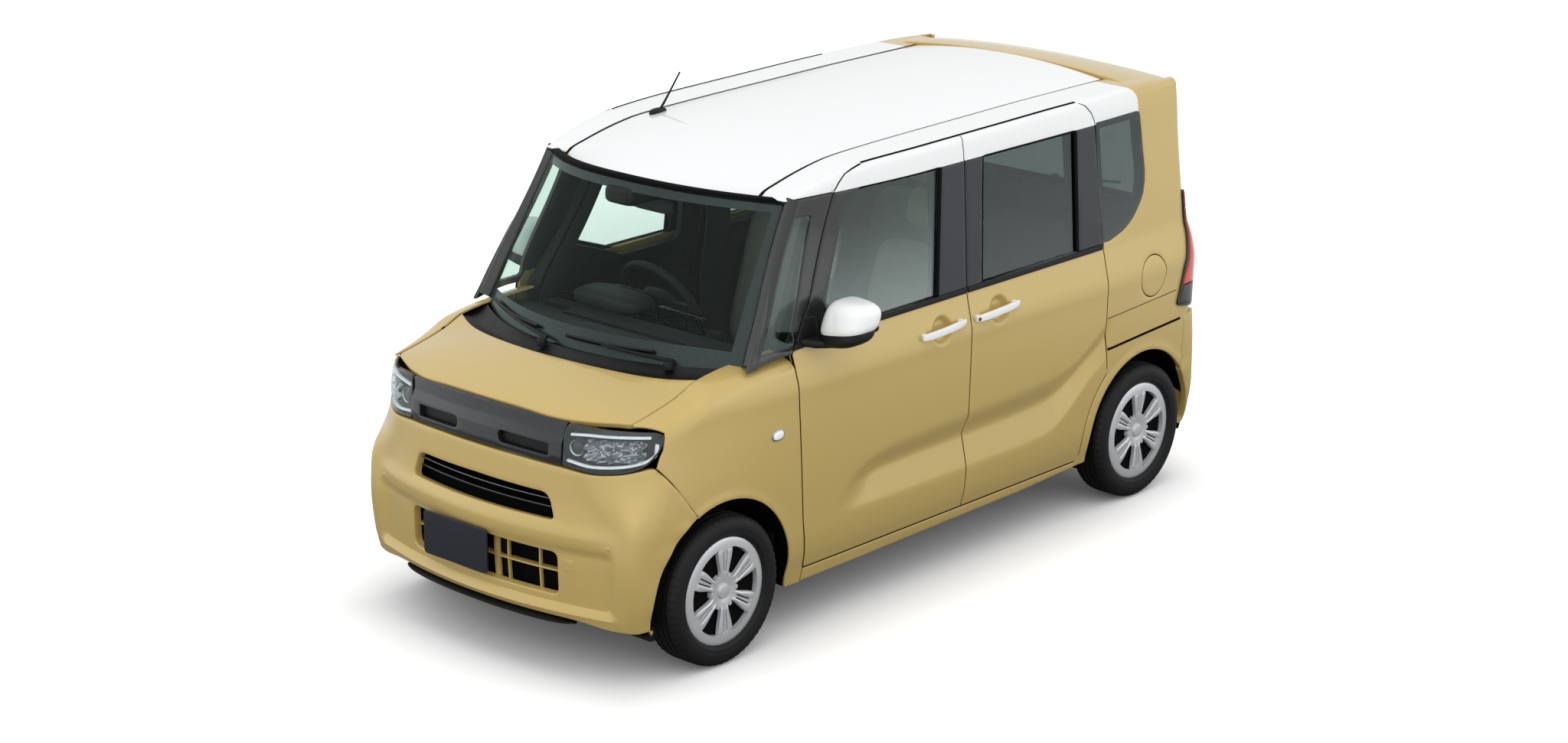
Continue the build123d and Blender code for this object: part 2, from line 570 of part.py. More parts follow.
# ---------------------------------------------------------------- bonnet and cowl
BONNET = (               # x, height at the centre, height at the side
    (1140, 1084, 1058), (1300, 1066, 1002), (1450, 1030, 956), (1580, 978, 915), (1680, 936, 880))
BONNET_REAR = (1173.0, 1345.0)     # x at the corner and at the centre
BONNET_FRONT = (1488.0, 1584.0, 404.0, 1646.0)    # side x, corner x and y, centre x
COWL_GAP = 9.0


def crowned(x, centre, side, thickness):
    """Shallow arch across the car, used for the bonnet."""
    with BuildSketch(Plane.YZ.offset(x)) as section:
        with BuildLine():
            top = ThreePointArc((-BONNET_HALF - 60, side), (0, centre), (BONNET_HALF + 60, side))
            low = ThreePointArc((-BONNET_HALF - 60, side - thickness), (0, centre - thickness),
                                (BONNET_HALF + 60, side - thickness))
            Line(top @ 0, low @ 0)
            Line(top @ 1, low @ 1)
        make_face()
    return section.sketch


with BuildPart() as bonnet:
    loft([crowned(x, centre, side, SHEET) for x, centre, side in BONNET], ruled=True)
    with BuildSketch() as bonnet_plan:
        with BuildLine():
            rear = ThreePointArc((BONNET_REAR[0], -BONNET_HALF), (BONNET_REAR[1], 0), (BONNET_REAR[0], BONNET_HALF))
            side_l = Line(rear @ 1, (BONNET_FRONT[0], BONNET_HALF))
            corner_l = Line(side_l @ 1, (BONNET_FRONT[1], BONNET_FRONT[2]))
            front = ThreePointArc(corner_l @ 1, (BONNET_FRONT[3], 0), (BONNET_FRONT[1], -BONNET_FRONT[2]))
            corner_r = Line(front @ 1, (BONNET_FRONT[0], -BONNET_HALF))
            Line(corner_r @ 1, rear @ 0)
        make_face()
    extrude(bonnet_plan.sketch, amount=ABOVE_ROOF, mode=Mode.INTERSECT)
write(bonnet, "bonnet")

COWL_Z = (1030.0, 1050.0)
with BuildPart() as cowl_panel:
    with BuildSketch(Plane.XY.offset(COWL_Z[0])):
        with BuildLine():
            cowl_front = ThreePointArc((BONNET_REAR[0] - COWL_GAP, -BONNET_HALF), (BONNET_REAR[1] - COWL_GAP, 0),
                                       (BONNET_REAR[0] - COWL_GAP, BONNET_HALF))
            cowl_back = ThreePointArc((960, -BONNET_HALF), (1180, 0), (960, BONNET_HALF))
            Line(cowl_front @ 0, cowl_back @ 0)
            Line(cowl_front @ 1, cowl_back @ 1)
        make_face()
    extrude(amount=COWL_Z[1] - COWL_Z[0])
    add(windscreen.part, mode=Mode.SUBTRACT)
write(cowl_panel, "cowl_panel")

# ---------------------------------------------------------------- tailgate, tail lamps, rear bumper
TAILGATE_FOOT_Z = 668.0
TAILGATE = (             # outer face then inner face, x and z
    (-1300, 1738), (-1460, 1722), (-1650, 1676), (-1660, 1660), (-1596, 1628), (-1600, 1400), (-1640, BELT_Z),
    (-1668, 1040), (-1678, 960), (-1668, 690), (-1660, TAILGATE_FOOT_Z), (-1608, TAILGATE_FOOT_Z),
    (-1614, 960), (-1604, 1040), (-1572, 1110), (-1540, 1400), (-1520, 1590), (-1480, 1660), (-1300, 1700))
TAILGATE_WINDOW = (1085.0, 1590.0, 540.0)    # foot, head, half width
PLATE_HOLE_PITCH = 210.0
PLATE_HOLE_RADIUS = 3.5
REAR_PLATE_Z = 860.0
with BuildPart() as tailgate:
    extrude(side_view(TAILGATE), amount=TAILGATE_HALF - PANEL_GAP, both=True)
    for hand in (-1, 1):
        add(block((RAIL_REAR_X - PANEL_GAP, 0), (hand * (DITCH_Y - PANEL_GAP), hand * BESIDE), (1500, ABOVE_ROOF)),
            mode=Mode.SUBTRACT)
    add(block((TAIL_X, -1500), (-TAILGATE_WINDOW[2], TAILGATE_WINDOW[2]), TAILGATE_WINDOW[:2]), mode=Mode.SUBTRACT)
    for hole_y in (-PLATE_HOLE_PITCH / 2, PLATE_HOLE_PITCH / 2):
        with BuildSketch(Plane.YZ.offset(TAIL_X)) as hole:
            with Locations((hole_y, REAR_PLATE_Z)):
                Circle(PLATE_HOLE_RADIUS)
        extrude(hole.sketch, amount=200, mode=Mode.SUBTRACT)
write(tailgate, "tailgate")

with BuildPart() as tailgate_glass:
    extrude(side_view([(-1640 + 14, BELT_Z), (-1600 + 14, 1400), (-1596 + 12, 1628), (-1596 + 17, 1628),
                       (-1600 + 19, 1400), (-1640 + 19, BELT_Z), (-1652, 1070), (-1657, 1070)]),
            amount=TAILGATE_HALF, both=True)
    add(block((TAIL_X, -1500), (-TAILGATE_WINDOW[2], TAILGATE_WINDOW[2]), TAILGATE_WINDOW[:2]), mode=Mode.INTERSECT)
write(tailgate_glass, "tailgate_glass")

with BuildPart() as tail_lamp:
    add(REAR_CORNER)
    add(block((TAIL_X, LAMP_X), (TAILGATE_HALF - 20, SIDE), LAMP_Z), mode=Mode.INTERSECT)
with BuildPart() as tail_lamps:
    add(tail_lamp.part)
    mirror(tail_lamp.part, about=Plane.XZ)
write(tail_lamps, "tail_lamps")

TAIL_LEVELS = (          # height, x at the centre, corner start x and y, side x and y
    (225, -1672, -1650, 560, BUMPER_FRONT_X, 690),
    (300, TAIL_X + 4, -1672, 600, BUMPER_FRONT_X, 706),
    (440, TAIL_X, -1682, 610, BUMPER_FRONT_X, 714),
    (600, TAIL_X + 4, -1676, 610, BUMPER_FRONT_X, 716),
    (TAILGATE_FOOT_Z - PANEL_GAP, -1680, -1664, 610, BUMPER_FRONT_X, 718))
with BuildPart() as rear_bumper:
    tail_sections = []
    for z, centre_x, start_x, start_y, side_x, side_y in TAIL_LEVELS:
        with BuildSketch(Plane.XY.offset(z)) as tail_section:
            with BuildLine():
                back = ThreePointArc((start_x, -start_y), (centre_x, 0), (start_x, start_y))
                Polyline(back @ 1, (start_x + 25, side_y - 12), (side_x, side_y), (side_x, side_y - BUMPER_WALL),
                         (start_x + BUMPER_WALL, start_y - 10), (start_x + BUMPER_WALL, 10 - start_y),
                         (side_x, BUMPER_WALL - side_y), (side_x, -side_y), (start_x + 25, 12 - side_y), back @ 0)
            make_face()
        tail_sections.append(tail_section.sketch)
    loft(tail_sections, ruled=True)
    add(cylinder_y(ARCH_RADIUS, REAR_AXLE, TYRE_RADIUS, -BESIDE, BESIDE), mode=Mode.SUBTRACT)
write(rear_bumper, "rear_bumper")

# ---------------------------------------------------------------- underbody
FLOOR_THICK = 25.0
FIREWALL_X = 850.0
FLOOR_REAR_X = -1600.0
LOAD_FLOOR_Z = 560.0
KICK_UP_X = -640.0
HOUSE_FRONT_X = REAR_AXLE + ARCH_RADIUS + 16
REAR_FLOOR_HALF = HOUSE_Y - HOUSE_WALL
ENGINE_BAY_HALF = 400.0
MEMBER_Y = 330.0
with BuildPart() as underbody:
    add(block((KICK_UP_X, HINGE_POST[1]), (-POST_INNER_Y, POST_INNER_Y), (FLOOR_Z, FLOOR_Z + FLOOR_THICK)))
    add(block((HINGE_POST[1], FIREWALL_X), (-ENGINE_BAY_HALF, ENGINE_BAY_HALF), (FLOOR_Z, FLOOR_Z + FLOOR_THICK)))
    # tunnel and cross members
    add(block((KICK_UP_X, FIREWALL_X), (-90, 90), (FLOOR_Z, FLOOR_Z + 90)))
    add(block((HOUSE_FRONT_X, KICK_UP_X), (-POST_INNER_Y, POST_INNER_Y), (LOAD_FLOOR_Z - FLOOR_THICK, LOAD_FLOOR_Z)))
    add(block((KICK_UP_X - FLOOR_THICK, KICK_UP_X), (-POST_INNER_Y, POST_INNER_Y), (FLOOR_Z, LOAD_FLOOR_Z)))
    add(block((FLOOR_REAR_X, KICK_UP_X), (-REAR_FLOOR_HALF, REAR_FLOOR_HALF),
              (LOAD_FLOOR_Z - FLOOR_THICK, LOAD_FLOOR_Z)))
    add(block((FLOOR_REAR_X, FLOOR_REAR_X + FLOOR_THICK), (-REAR_FLOOR_HALF, REAR_FLOOR_HALF),
              (345, LOAD_FLOOR_Z)))
    # firewall, hinge post tie and front side members
    add(block((FIREWALL_X - FLOOR_THICK, FIREWALL_X), (-ENGINE_BAY_HALF, ENGINE_BAY_HALF), (FLOOR_Z, 1026)))
    add(block((HINGE_POST[0] + 20, HINGE_POST[1]), (-POST_INNER_Y, POST_INNER_Y), (FLOOR_Z, 420)))
    add(block((HINGE_POST[0] + 20, HINGE_POST[1]), (-POST_INNER_Y, POST_INNER_Y), (980, 1026)))
    add(block((HINGE_POST[1], FIREWALL_X), (-ENGINE_BAY_HALF, ENGINE_BAY_HALF), (980, 1026)))
    add(block((HINGE_POST[1], FIREWALL_X), (-ENGINE_BAY_HALF, ENGINE_BAY_HALF), (395, 420)))
    for hand in (-1, 1):
        add(block((FIREWALL_X, 1530), (hand * MEMBER_Y - 30, hand * MEMBER_Y + 30), (400, 480)))
    add(block((1530, 1560), (-420, 420), (390, 490)))
write(underbody, "underbody")

with BuildPart() as engine_block:
    add(block((930, 1330), (-270, 290), (330, 860)))
    fillet(engine_block.edges().filter_by(Axis.Z), 40)
    add(block((1330, 1380), (-230, 230), (430, 760)))
    for hand in (-1, 1):
        add(block((1050, 1150), (hand * (MEMBER_Y - 30), hand * 240), (430, 480)))
write(engine_block, "engine_block")

with BuildPart() as fuel_tank:
    add(block((-560, -120), (-400, 60), (150, FLOOR_Z)))
    fillet(fuel_tank.edges().filter_by(Axis.Z), 50)
write(fuel_tank, "fuel_tank")

PIPE_RADIUS = 22.0
PIPE_Y = 170.0
PIPE_Z = 190.0
MUFFLER = ((-1560, -1420), (-60, 420), (330, 450))
with BuildPart() as exhaust:
    with BuildLine() as pipe_path:
        FilletPolyline((1060, PIPE_Y, 300), (960, PIPE_Y, PIPE_Z), (-700, PIPE_Y, PIPE_Z), (-860, PIPE_Y, 440),
                       (-1330, PIPE_Y, 440), (-1430, PIPE_Y, 400), radius=55)
    with BuildSketch(Plane(origin=pipe_path.line @ 0, z_dir=pipe_path.line % 0)):
        Circle(PIPE_RADIUS)
    sweep(path=pipe_path.line)
    add(block(*MUFFLER))
    with BuildSketch(Plane.YZ.offset(MUFFLER[0][0] - 60)):
        with Locations((MUFFLER[1][1] - 60, MUFFLER[2][0] - 15)):
            Circle(PIPE_RADIUS)
    extrude(amount=100)
write(exhaust, "exhaust")

# ---------------------------------------------------------------- suspension
STEER_AXIS_Y = 575.0
HUB_RADIUS = 40.0
SPINDLE_RADIUS = 15.0
SPINDLE_PLAY = 0.5
SPINDLE_LENGTH = 45.0
SPINDLE_ROOT_Y = 600.0
SPRING_FOOT_Z = 600.0
HUB_INNER_Y = 636.0      # inner face of the wheel's hub
HUB_PLAY = 5.0
ARM_Z = (176.0, 200.0)
KNUCKLE_Y = (556.0, HUB_INNER_Y - HUB_PLAY)
STRUT_Y = (515.0, 492.0)
STRUT_Z = (402.0, 840.0)
STRUT_RADIUS = 24.0


def spindle(x, y_from):
    """Stub axle that a wheel turns on, left hand."""
    return cylinder_y(SPINDLE_RADIUS, x, TYRE_RADIUS, y_from, HUB_INNER_Y + SPINDLE_LENGTH)


with BuildPart() as knuckle_left:
    add(cylinder_y(48, FRONT_AXLE, TYRE_RADIUS, *KNUCKLE_Y))
    add(block((FRONT_AXLE - 22, FRONT_AXLE + 22), (STEER_AXIS_Y - 16, STEER_AXIS_Y + 20), (ARM_Z[1] + 8, 392)))
    add(block((FRONT_AXLE - 18, FRONT_AXLE + 18), (522, STEER_AXIS_Y + 10), (374, 394)))
    add(spindle(FRONT_AXLE, SPINDLE_ROOT_Y))
    with BuildSketch(Plane.XY.offset(ARM_Z[1] - 6)):
        with Locations((FRONT_AXLE, STEER_AXIS_Y)):
            Circle(9)
    extrude(amount=20)
write(knuckle_left, "knuckle_left")
write(other_hand(knuckle_left.part), "knuckle_right")

with BuildPart() as suspension_half:
    add(block((1090, 1210), (0, MEMBER_Y + 40), (230, 290)))
    add(block((1090, 1210), (MEMBER_Y - 40, MEMBER_Y + 40), (230, 400)))
    with BuildSketch(Plane.XY.offset(ARM_Z[0])):
        with BuildLine():
            Polyline((1090, 330), (1210, 330), (FRONT_AXLE + 26, 540), (FRONT_AXLE + 26, 596), (FRONT_AXLE - 26, 596),
                     (FRONT_AXLE - 26, 540), close=True)
        make_face()
    extrude(amount=ARM_Z[1] - ARM_Z[0])
    add(block((1090, 1210), (320, 350), (ARM_Z[0], 240)))
    with BuildSketch(Plane.XY.offset(ARM_Z[1] - 8)):
        with Locations((FRONT_AXLE, STEER_AXIS_Y)):
            Circle(9.6)
    extrude(amount=20, mode=Mode.SUBTRACT)
with BuildPart() as strut:
    with BuildSketch(Plane.XY.offset(STRUT_Z[0])):
        with Locations((FRONT_AXLE, STRUT_Y[0])):
            Circle(STRUT_RADIUS)
    with BuildSketch(Plane.XY.offset(STRUT_Z[1])):
        with Locations((FRONT_AXLE, STRUT_Y[1])):
            Circle(STRUT_RADIUS)
    loft(ruled=True)
    # spring and top mount on the side member
    with BuildSketch(Plane.XY.offset(SPRING_FOOT_Z)):
        with Locations((FRONT_AXLE, 505)):
            Circle(60)
    extrude(amount=230)
    add(block((FRONT_AXLE - 70, FRONT_AXLE + 70), (MEMBER_Y - 20, 560), (828, 846)))
    add(block((FRONT_AXLE - 50, FRONT_AXLE + 50), (MEMBER_Y - 20, MEMBER_Y), (480, 846)))
with BuildPart() as front_suspension:
    add(suspension_half.part)
    mirror(suspension_half.part, about=Plane.XZ)
    add(strut.part)
    mirror(strut.part, about=Plane.XZ)
write(front_suspension, "front_suspension")

BEAM_X = REAR_AXLE + 260
with BuildPart() as axle_half:
    add(block((BEAM_X - 40, BEAM_X + 40), (0, 470), (240, 300)))
    add(block((REAR_AXLE - 50, BEAM_X + 230), (430, 480), (230, 310)))
    add(block((REAR_AXLE - 50, REAR_AXLE + 50), (470, 560), (240, 320)))
    add(cylinder_y(48, REAR_AXLE, TYRE_RADIUS, 550, KNUCKLE_Y[1]))
    add(spindle(REAR_AXLE, SPINDLE_ROOT_Y))
    # spring up to the floor
    with BuildSketch(Plane.XY.offset(290)):
        with Locations((REAR_AXLE + 90, 420)):
            Circle(50)
    extrude(amount=LOAD_FLOOR_Z - FLOOR_THICK - 290)
with BuildPart() as rear_axle_beam:
    add(axle_half.part)
    mirror(axle_half.part, about=Plane.XZ)
write(rear_axle_beam, "rear_axle_beam")

# ---------------------------------------------------------------- wheels
COVER_RADIUS = 194.0
COVER_Y = 61.0           # outer face of the cover from the tyre's middle
SPOKES = 6
TYRE_BEAD = 182.0
BEAD_HALF = 57.0


def tyre_at(x, hand):
    """Tyre with rounded shoulders."""
    with BuildPart() as tyre:
        with BuildSketch(Plane.XY.offset(TYRE_RADIUS)):
            with BuildLine():
                half = TYRE_WIDTH / 2
                middle = hand * WHEEL_Y
                Line((x + TYRE_BEAD, middle - BEAD_HALF), (x + TYRE_BEAD, middle + BEAD_HALF))
                Line((x + TYRE_BEAD, middle + BEAD_HALF), (x + TYRE_BEAD + 14, middle + BEAD_HALF))
                ThreePointArc((x + TYRE_BEAD + 14, middle + BEAD_HALF), (x + 232, middle + half),
                              (x + TYRE_RADIUS - 15, middle + 64))
                ThreePointArc((x + TYRE_RADIUS - 15, middle + 64), (x + TYRE_RADIUS - 6, middle + 57),
                              (x + TYRE_RADIUS - 1, middle + 46))
                Line((x + TYRE_RADIUS - 1, middle + 46), (x + TYRE_RADIUS, middle + 10))
                Line((x + TYRE_RADIUS, middle + 10), (x + TYRE_RADIUS, middle - 10))
                Line((x + TYRE_RADIUS, middle - 10), (x + TYRE_RADIUS - 1, middle - 46))
                ThreePointArc((x + TYRE_RADIUS - 1, middle - 46), (x + TYRE_RADIUS - 6, middle - 57),
                              (x + TYRE_RADIUS - 15, middle - 64))
                ThreePointArc((x + TYRE_RADIUS - 15, middle - 64), (x + 232, middle - half),
                              (x + TYRE_BEAD + 14, middle - BEAD_HALF))
                Line((x + TYRE_BEAD + 14, middle - BEAD_HALF), (x + TYRE_BEAD, middle - BEAD_HALF))
            make_face()
        revolve(axis=Axis((x, 0, TYRE_RADIUS), (0, 1, 0)))
    return tyre


def wheel_at(x, hand):
    """Rim barrel, hub and six-spoke cover."""
    axis = Axis((x, 0, TYRE_RADIUS), (0, 1, 0))
    inner = hand * (WHEEL_Y - RIM_WIDTH / 2)
    outer = hand * (WHEEL_Y + COVER_Y)
    hub_face = hand * HUB_INNER_Y
    with BuildPart() as wheel:
        with BuildSketch(Plane.XY.offset(TYRE_RADIUS)):
            with BuildLine():
                Polyline((x + RIM_RADIUS - 6, inner), (x + TYRE_BEAD + 8, inner),
                         (x + TYRE_BEAD + 8, inner + hand * 3), (x + TYRE_BEAD, inner + hand * 3.5),
                         (x + TYRE_BEAD, outer - hand * 1), (x + COVER_RADIUS, outer - hand * 1),
                         (x + COVER_RADIUS, outer + hand * 1.5), (x + 150, outer + hand * 6),
                         (x + 60, outer + hand * 2), (x + SPINDLE_RADIUS + SPINDLE_PLAY, outer + hand * 2),
                         (x + SPINDLE_RADIUS + SPINDLE_PLAY, hub_face), (x + HUB_RADIUS, hub_face),
                         (x + HUB_RADIUS + 10, outer - hand * 24), (x + 150, outer - hand * 10),
                         (x + RIM_RADIUS - 6, outer - hand * 10), close=True)
            make_face()
        revolve(axis=axis)
        # windows between the spokes
        with BuildSketch(Plane.XZ) as windows:
            with Locations((x, TYRE_RADIUS)):
                with PolarLocations(118, SPOKES, start_angle=30):
                    Trapezoid(78, 62, 62, rotation=90)
        extrude(windows.sketch, amount=-hand * (WHEEL_Y + 100), mode=Mode.SUBTRACT)
        # cap over the end of the axle
        add(cylinder_y(30, x, TYRE_RADIUS, min(outer - hand * 6, outer + hand * 3),
                       max(outer - hand * 6, outer + hand * 3)))
    return wheel


CORNERS = (
    ("front_left", FRONT_AXLE, 1), ("front_right", FRONT_AXLE, -1),
    ("rear_left", REAR_AXLE, 1), ("rear_right", REAR_AXLE, -1))
for corner, axle_x, hand in CORNERS:
    write(tyre_at(axle_x, hand), f"tyre_{corner}")
    write(wheel_at(axle_x, hand), f"wheel_{corner}")

# ---------------------------------------------------------------- cabin
SEAT_Y = 320.0
SEAT_HALF = 235.0
DASH = (                 # half side view of the dashboard, x and z
    (855, 1020), (700, 1028), (560, 990), (505, 900), (520, 800), (620, 700), (700, 640), (820, 640))
with BuildPart() as dashboard:
    extrude(side_view(DASH), amount=545, both=True)
    add(windscreen.part, mode=Mode.SUBTRACT)
    add(block((HINGE_POST[0] + 19, FIREWALL_X), (-BESIDE, BESIDE), (975, 1027)), mode=Mode.SUBTRACT)
    add(block((FIREWALL_X - FLOOR_THICK, FIREWALL_X), (-BESIDE, BESIDE), (FLOOR_Z, 1027)), mode=Mode.SUBTRACT)
    add(block((FIREWALL_X, 900), (-BESIDE, BESIDE), (FLOOR_Z, 1100)), mode=Mode.SUBTRACT)
write(dashboard, "dashboard")

WHEEL_CENTRE = (400.0, -SEAT_Y, 985.0)
COLUMN_TILT = 28.0
COLUMN_START = 86.0      # from the wheel's plane to the fixed column cover
WHEEL_RING = 178.0
WHEEL_GRIP = 14.0
COLUMN_AXIS = (-cos(radians(COLUMN_TILT)), 0, sin(radians(COLUMN_TILT)))
wheel_plane = Plane(origin=WHEEL_CENTRE, x_dir=(0, 1, 0), z_dir=COLUMN_AXIS)
with BuildPart() as steering_wheel:
    with BuildSketch(Plane(origin=WHEEL_CENTRE, x_dir=COLUMN_AXIS, z_dir=(0, 1, 0))):
        with Locations((0, WHEEL_RING)):
            Circle(WHEEL_GRIP)
    revolve(axis=Axis(WHEEL_CENTRE, COLUMN_AXIS))
    with BuildSketch(wheel_plane.offset(4)):
        Circle(62)
        Rectangle(2 * WHEEL_RING, 30)
        with Locations((-WHEEL_RING / 2, 0), (0, -WHEEL_RING / 2)):
            Rectangle(30, WHEEL_RING - 4)
    extrude(amount=-16)
    with BuildSketch(wheel_plane):
        Circle(22)
    extrude(amount=-COLUMN_START + PANEL_GAP)
write(steering_wheel, "steering_wheel")

with BuildPart() as steering_column:
    with BuildSketch(wheel_plane.offset(-COLUMN_START)):
        Circle(34)
    extrude(amount=-110)
    add(dashboard.part, mode=Mode.SUBTRACT)
write(steering_column, "steering_column")

FRONT_SEAT_X = -120.0
CUSHION_Z = (400.0, 560.0)


def seat(x, y, half, top_z, head):
    """Cushion, sloping back and legs of one seat."""
    with BuildPart() as body:
        with BuildSketch(Plane.XZ.offset(half - y)):
            with BuildLine():
                Polyline((x + 470, CUSHION_Z[0]), (x + 480, CUSHION_Z[1] + 10), (x + 120, CUSHION_Z[1]),
                         (x - 50, top_z), (x - 150, top_z), (x - 10, CUSHION_Z[0]), close=True)
            make_face()
        extrude(amount=-2 * half)
        fillet(body.edges().filter_by(Axis.Y), 28)
        add(block((x + 40, x + 420), (y - half * 0.75, y - half * 0.75 + 60), (FLOOR_Z + FLOOR_THICK, CUSHION_Z[0])))
        add(block((x + 40, x + 420), (y + half * 0.75 - 60, y + half * 0.75), (FLOOR_Z + FLOOR_THICK, CUSHION_Z[0])))
        if head:
            add(block((x - 150, x - 70), (y - 110, y + 110), (top_z + 20, top_z + 190)))
            for post_y in (y - 60, y + 60):
                add(block((x - 118, x - 102), (post_y - 8, post_y + 8), (top_z - 20, top_z + 40)))
    return body


with BuildPart() as front_seats:
    add(seat(FRONT_SEAT_X, SEAT_Y, SEAT_HALF - 5, 1150, True).part)
    add(seat(FRONT_SEAT_X, -SEAT_Y, SEAT_HALF - 5, 1150, True).part)
write(front_seats, "front_seats")

REAR_SEAT_X = -980.0
with BuildPart() as rear_seat:
    with BuildSketch(Plane.XZ.offset(-POST_INNER_Y + 60)):
        with BuildLine():
            Polyline((REAR_SEAT_X + 490, 470), (REAR_SEAT_X + 490, 610), (REAR_SEAT_X + 110, 600),
                     (REAR_SEAT_X - 40, 1130), (REAR_SEAT_X - 130, 1130), (REAR_SEAT_X, LOAD_FLOOR_Z),
                     (KICK_UP_X + 4, LOAD_FLOOR_Z), (KICK_UP_X + 8, 470), close=True)
        make_face()
    extrude(amount=2 * (POST_INNER_Y - 60))
    add(block((KICK_UP_X + 10, REAR_SEAT_X + 480), (-400, 400), (FLOOR_Z + 90, 500)))
    for head_y in (-250, 250):
        add(block((REAR_SEAT_X - 125, REAR_SEAT_X - 50), (head_y - 100, head_y + 100), (1128, 1270)))
write(rear_seat, "rear_seat")

# ---------------------------------------------------------------- wipers and antenna
WIPER_Z = COWL_Z[1] + 10
WIPERS = (               # pivot x and y, blade start, blade end
    ((1266, 265), (1262, 225), (1186, -330)), ((1262, -300), (1200, -345), (1085, -565)))
with BuildPart() as wipers:
    for pivot, start, end in WIPERS:
        with BuildSketch(Plane.XY.offset(WIPER_Z)):
            with BuildLine():
                Polyline(pivot, start, end)
            trace(line_width=14)
        extrude(amount=16)
        with BuildSketch(Plane.XY.offset(COWL_Z[1])):
            with Locations(pivot):
                Circle(14)
        extrude(amount=12)
    add(windscreen.part, mode=Mode.SUBTRACT)
write(wipers, "wipers")

ANTENNA_X = 335.0
ANTENNA_Y = -400.0
ANTENNA_BASE_Z = 1690.0
with BuildPart() as antenna:
    with BuildSketch(Plane.XY.offset(ANTENNA_BASE_Z)):
        with Locations((ANTENNA_X, ANTENNA_Y)):
            Ellipse(42, 20)
    extrude(amount=40, taper=12)
    add(roof_panel.part, mode=Mode.SUBTRACT)
    with BuildSketch(Plane(origin=(ANTENNA_X, ANTENNA_Y, ANTENNA_BASE_Z + 25), z_dir=(-0.75, 0, 0.66))):
        Circle(3.5)
    extrude(amount=110)
write(antenna, "antenna")
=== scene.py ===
"""A tall kei car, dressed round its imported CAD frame.

Metres throughout. +X is forward, +Y is the car's left, +Z is up, and the origin is on the ground.
"""
import json
import logging
import math
from dataclasses import dataclass
from enum import Enum
from typing import Callable, Sequence

import bpy
import numpy as np
from mathutils import Matrix, Vector
from mathutils.geometry import delaunay_2d_cdt

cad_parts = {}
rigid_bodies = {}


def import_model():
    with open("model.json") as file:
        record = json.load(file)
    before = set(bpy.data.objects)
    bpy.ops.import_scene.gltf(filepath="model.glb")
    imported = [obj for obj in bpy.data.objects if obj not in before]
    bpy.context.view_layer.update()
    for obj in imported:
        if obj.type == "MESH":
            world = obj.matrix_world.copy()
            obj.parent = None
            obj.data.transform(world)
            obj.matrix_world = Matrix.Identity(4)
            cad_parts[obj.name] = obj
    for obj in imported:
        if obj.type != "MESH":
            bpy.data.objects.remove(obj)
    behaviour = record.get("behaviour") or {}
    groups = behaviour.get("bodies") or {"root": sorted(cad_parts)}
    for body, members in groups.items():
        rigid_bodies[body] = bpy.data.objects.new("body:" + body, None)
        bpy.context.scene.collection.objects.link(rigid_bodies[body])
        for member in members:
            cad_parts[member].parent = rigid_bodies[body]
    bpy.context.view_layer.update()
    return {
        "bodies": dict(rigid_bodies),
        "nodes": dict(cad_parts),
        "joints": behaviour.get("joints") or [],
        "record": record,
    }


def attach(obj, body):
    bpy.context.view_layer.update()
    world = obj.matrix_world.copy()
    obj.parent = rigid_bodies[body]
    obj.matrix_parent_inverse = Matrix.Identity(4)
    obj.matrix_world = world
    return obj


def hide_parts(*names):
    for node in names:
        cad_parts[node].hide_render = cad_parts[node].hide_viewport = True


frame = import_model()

PAD_PRESSURE = 4.0
PAD_FRAMES = 20
OUTLINE_SPACING = 0.7   # between an outline's points, as a share of the sheet's step
OUTLINE_MARGIN = 0.55   # between an outline and the grid inside it, as a share of the step
WELD = 1e-7
SHARP_ANGLE = 35.0
PAD_SHARP_ANGLE = 80.0
PAST_SEAMS = 9.0        # metres, further than a seam reaches

Array = np.ndarray
Surface = Callable[[Array, Array], Array]
log = logging.getLogger("kei_car")


class Hand(Enum):
    """Which side of the car a piece is on, as the sign of its y."""

    LEFT = 1
    RIGHT = -1

    @property
    def word(self) -> str:
        """The side's name, as piece names use it."""
        return self.name.lower()

    def once(self, node: str) -> list[str]:
        """A CAD node that a pair of pieces stands for, which the left one names for both."""
        return [node] if self is Hand.LEFT else []


# ------------------------------------------------------------------ curves


def hermite(t: Array, gap: Array, a: Array, b: Array, slope_a: Array, slope_b: Array) -> Array:
    """Cubic over a gap, from a value and its slope to another."""
    return ((1 + 2 * t) * (1 - t) ** 2 * a + t * (1 - t) ** 2 * gap * slope_a
            + t * t * (3 - 2 * t) * b + t * t * (t - 1) * gap * slope_b)


def smooth(x: Array, table: Sequence[Sequence[float]], column: int = 1) -> Array:
    """Cubic through a table's points that keeps each run monotone, and straight beyond its ends.

    Args:
        x: where to read the curve.
        table: rows whose first value is the place, in rising order.
        column: which value of a row is read.

    Returns:
        The curve's value at each x.
    """
    rows = np.asarray(table, float)
    xs, ys = rows[:, 0], rows[:, column]
    gap = np.diff(xs)
    slope = np.diff(ys) / gap
    tangent = np.empty_like(ys)
    tangent[0], tangent[-1] = slope[0], slope[-1]
    before, after = slope[:-1], slope[1:]
    w_before, w_after = 2 * gap[1:] + gap[:-1], gap[1:] + 2 * gap[:-1]
    rising = before * after > 0
    safe_before, safe_after = np.where(rising, before, 1), np.where(rising, after, 1)
    mean = (w_before + w_after) / (w_before / safe_before + w_after / safe_after)
    tangent[1:-1] = np.where(rising, mean, 0)
    x = np.asarray(x, float)
    held = np.clip(x, xs[0], xs[-1])
    i = np.clip(np.searchsorted(xs, held) - 1, 0, len(gap) - 1)
    t = (held - xs[i]) / gap[i]
    value = hermite(t, gap[i], ys[i], ys[i + 1], tangent[i], tangent[i + 1])
    ends = np.where(x < xs[0], tangent[0], tangent[-1])
    return value + (x - held) * ends


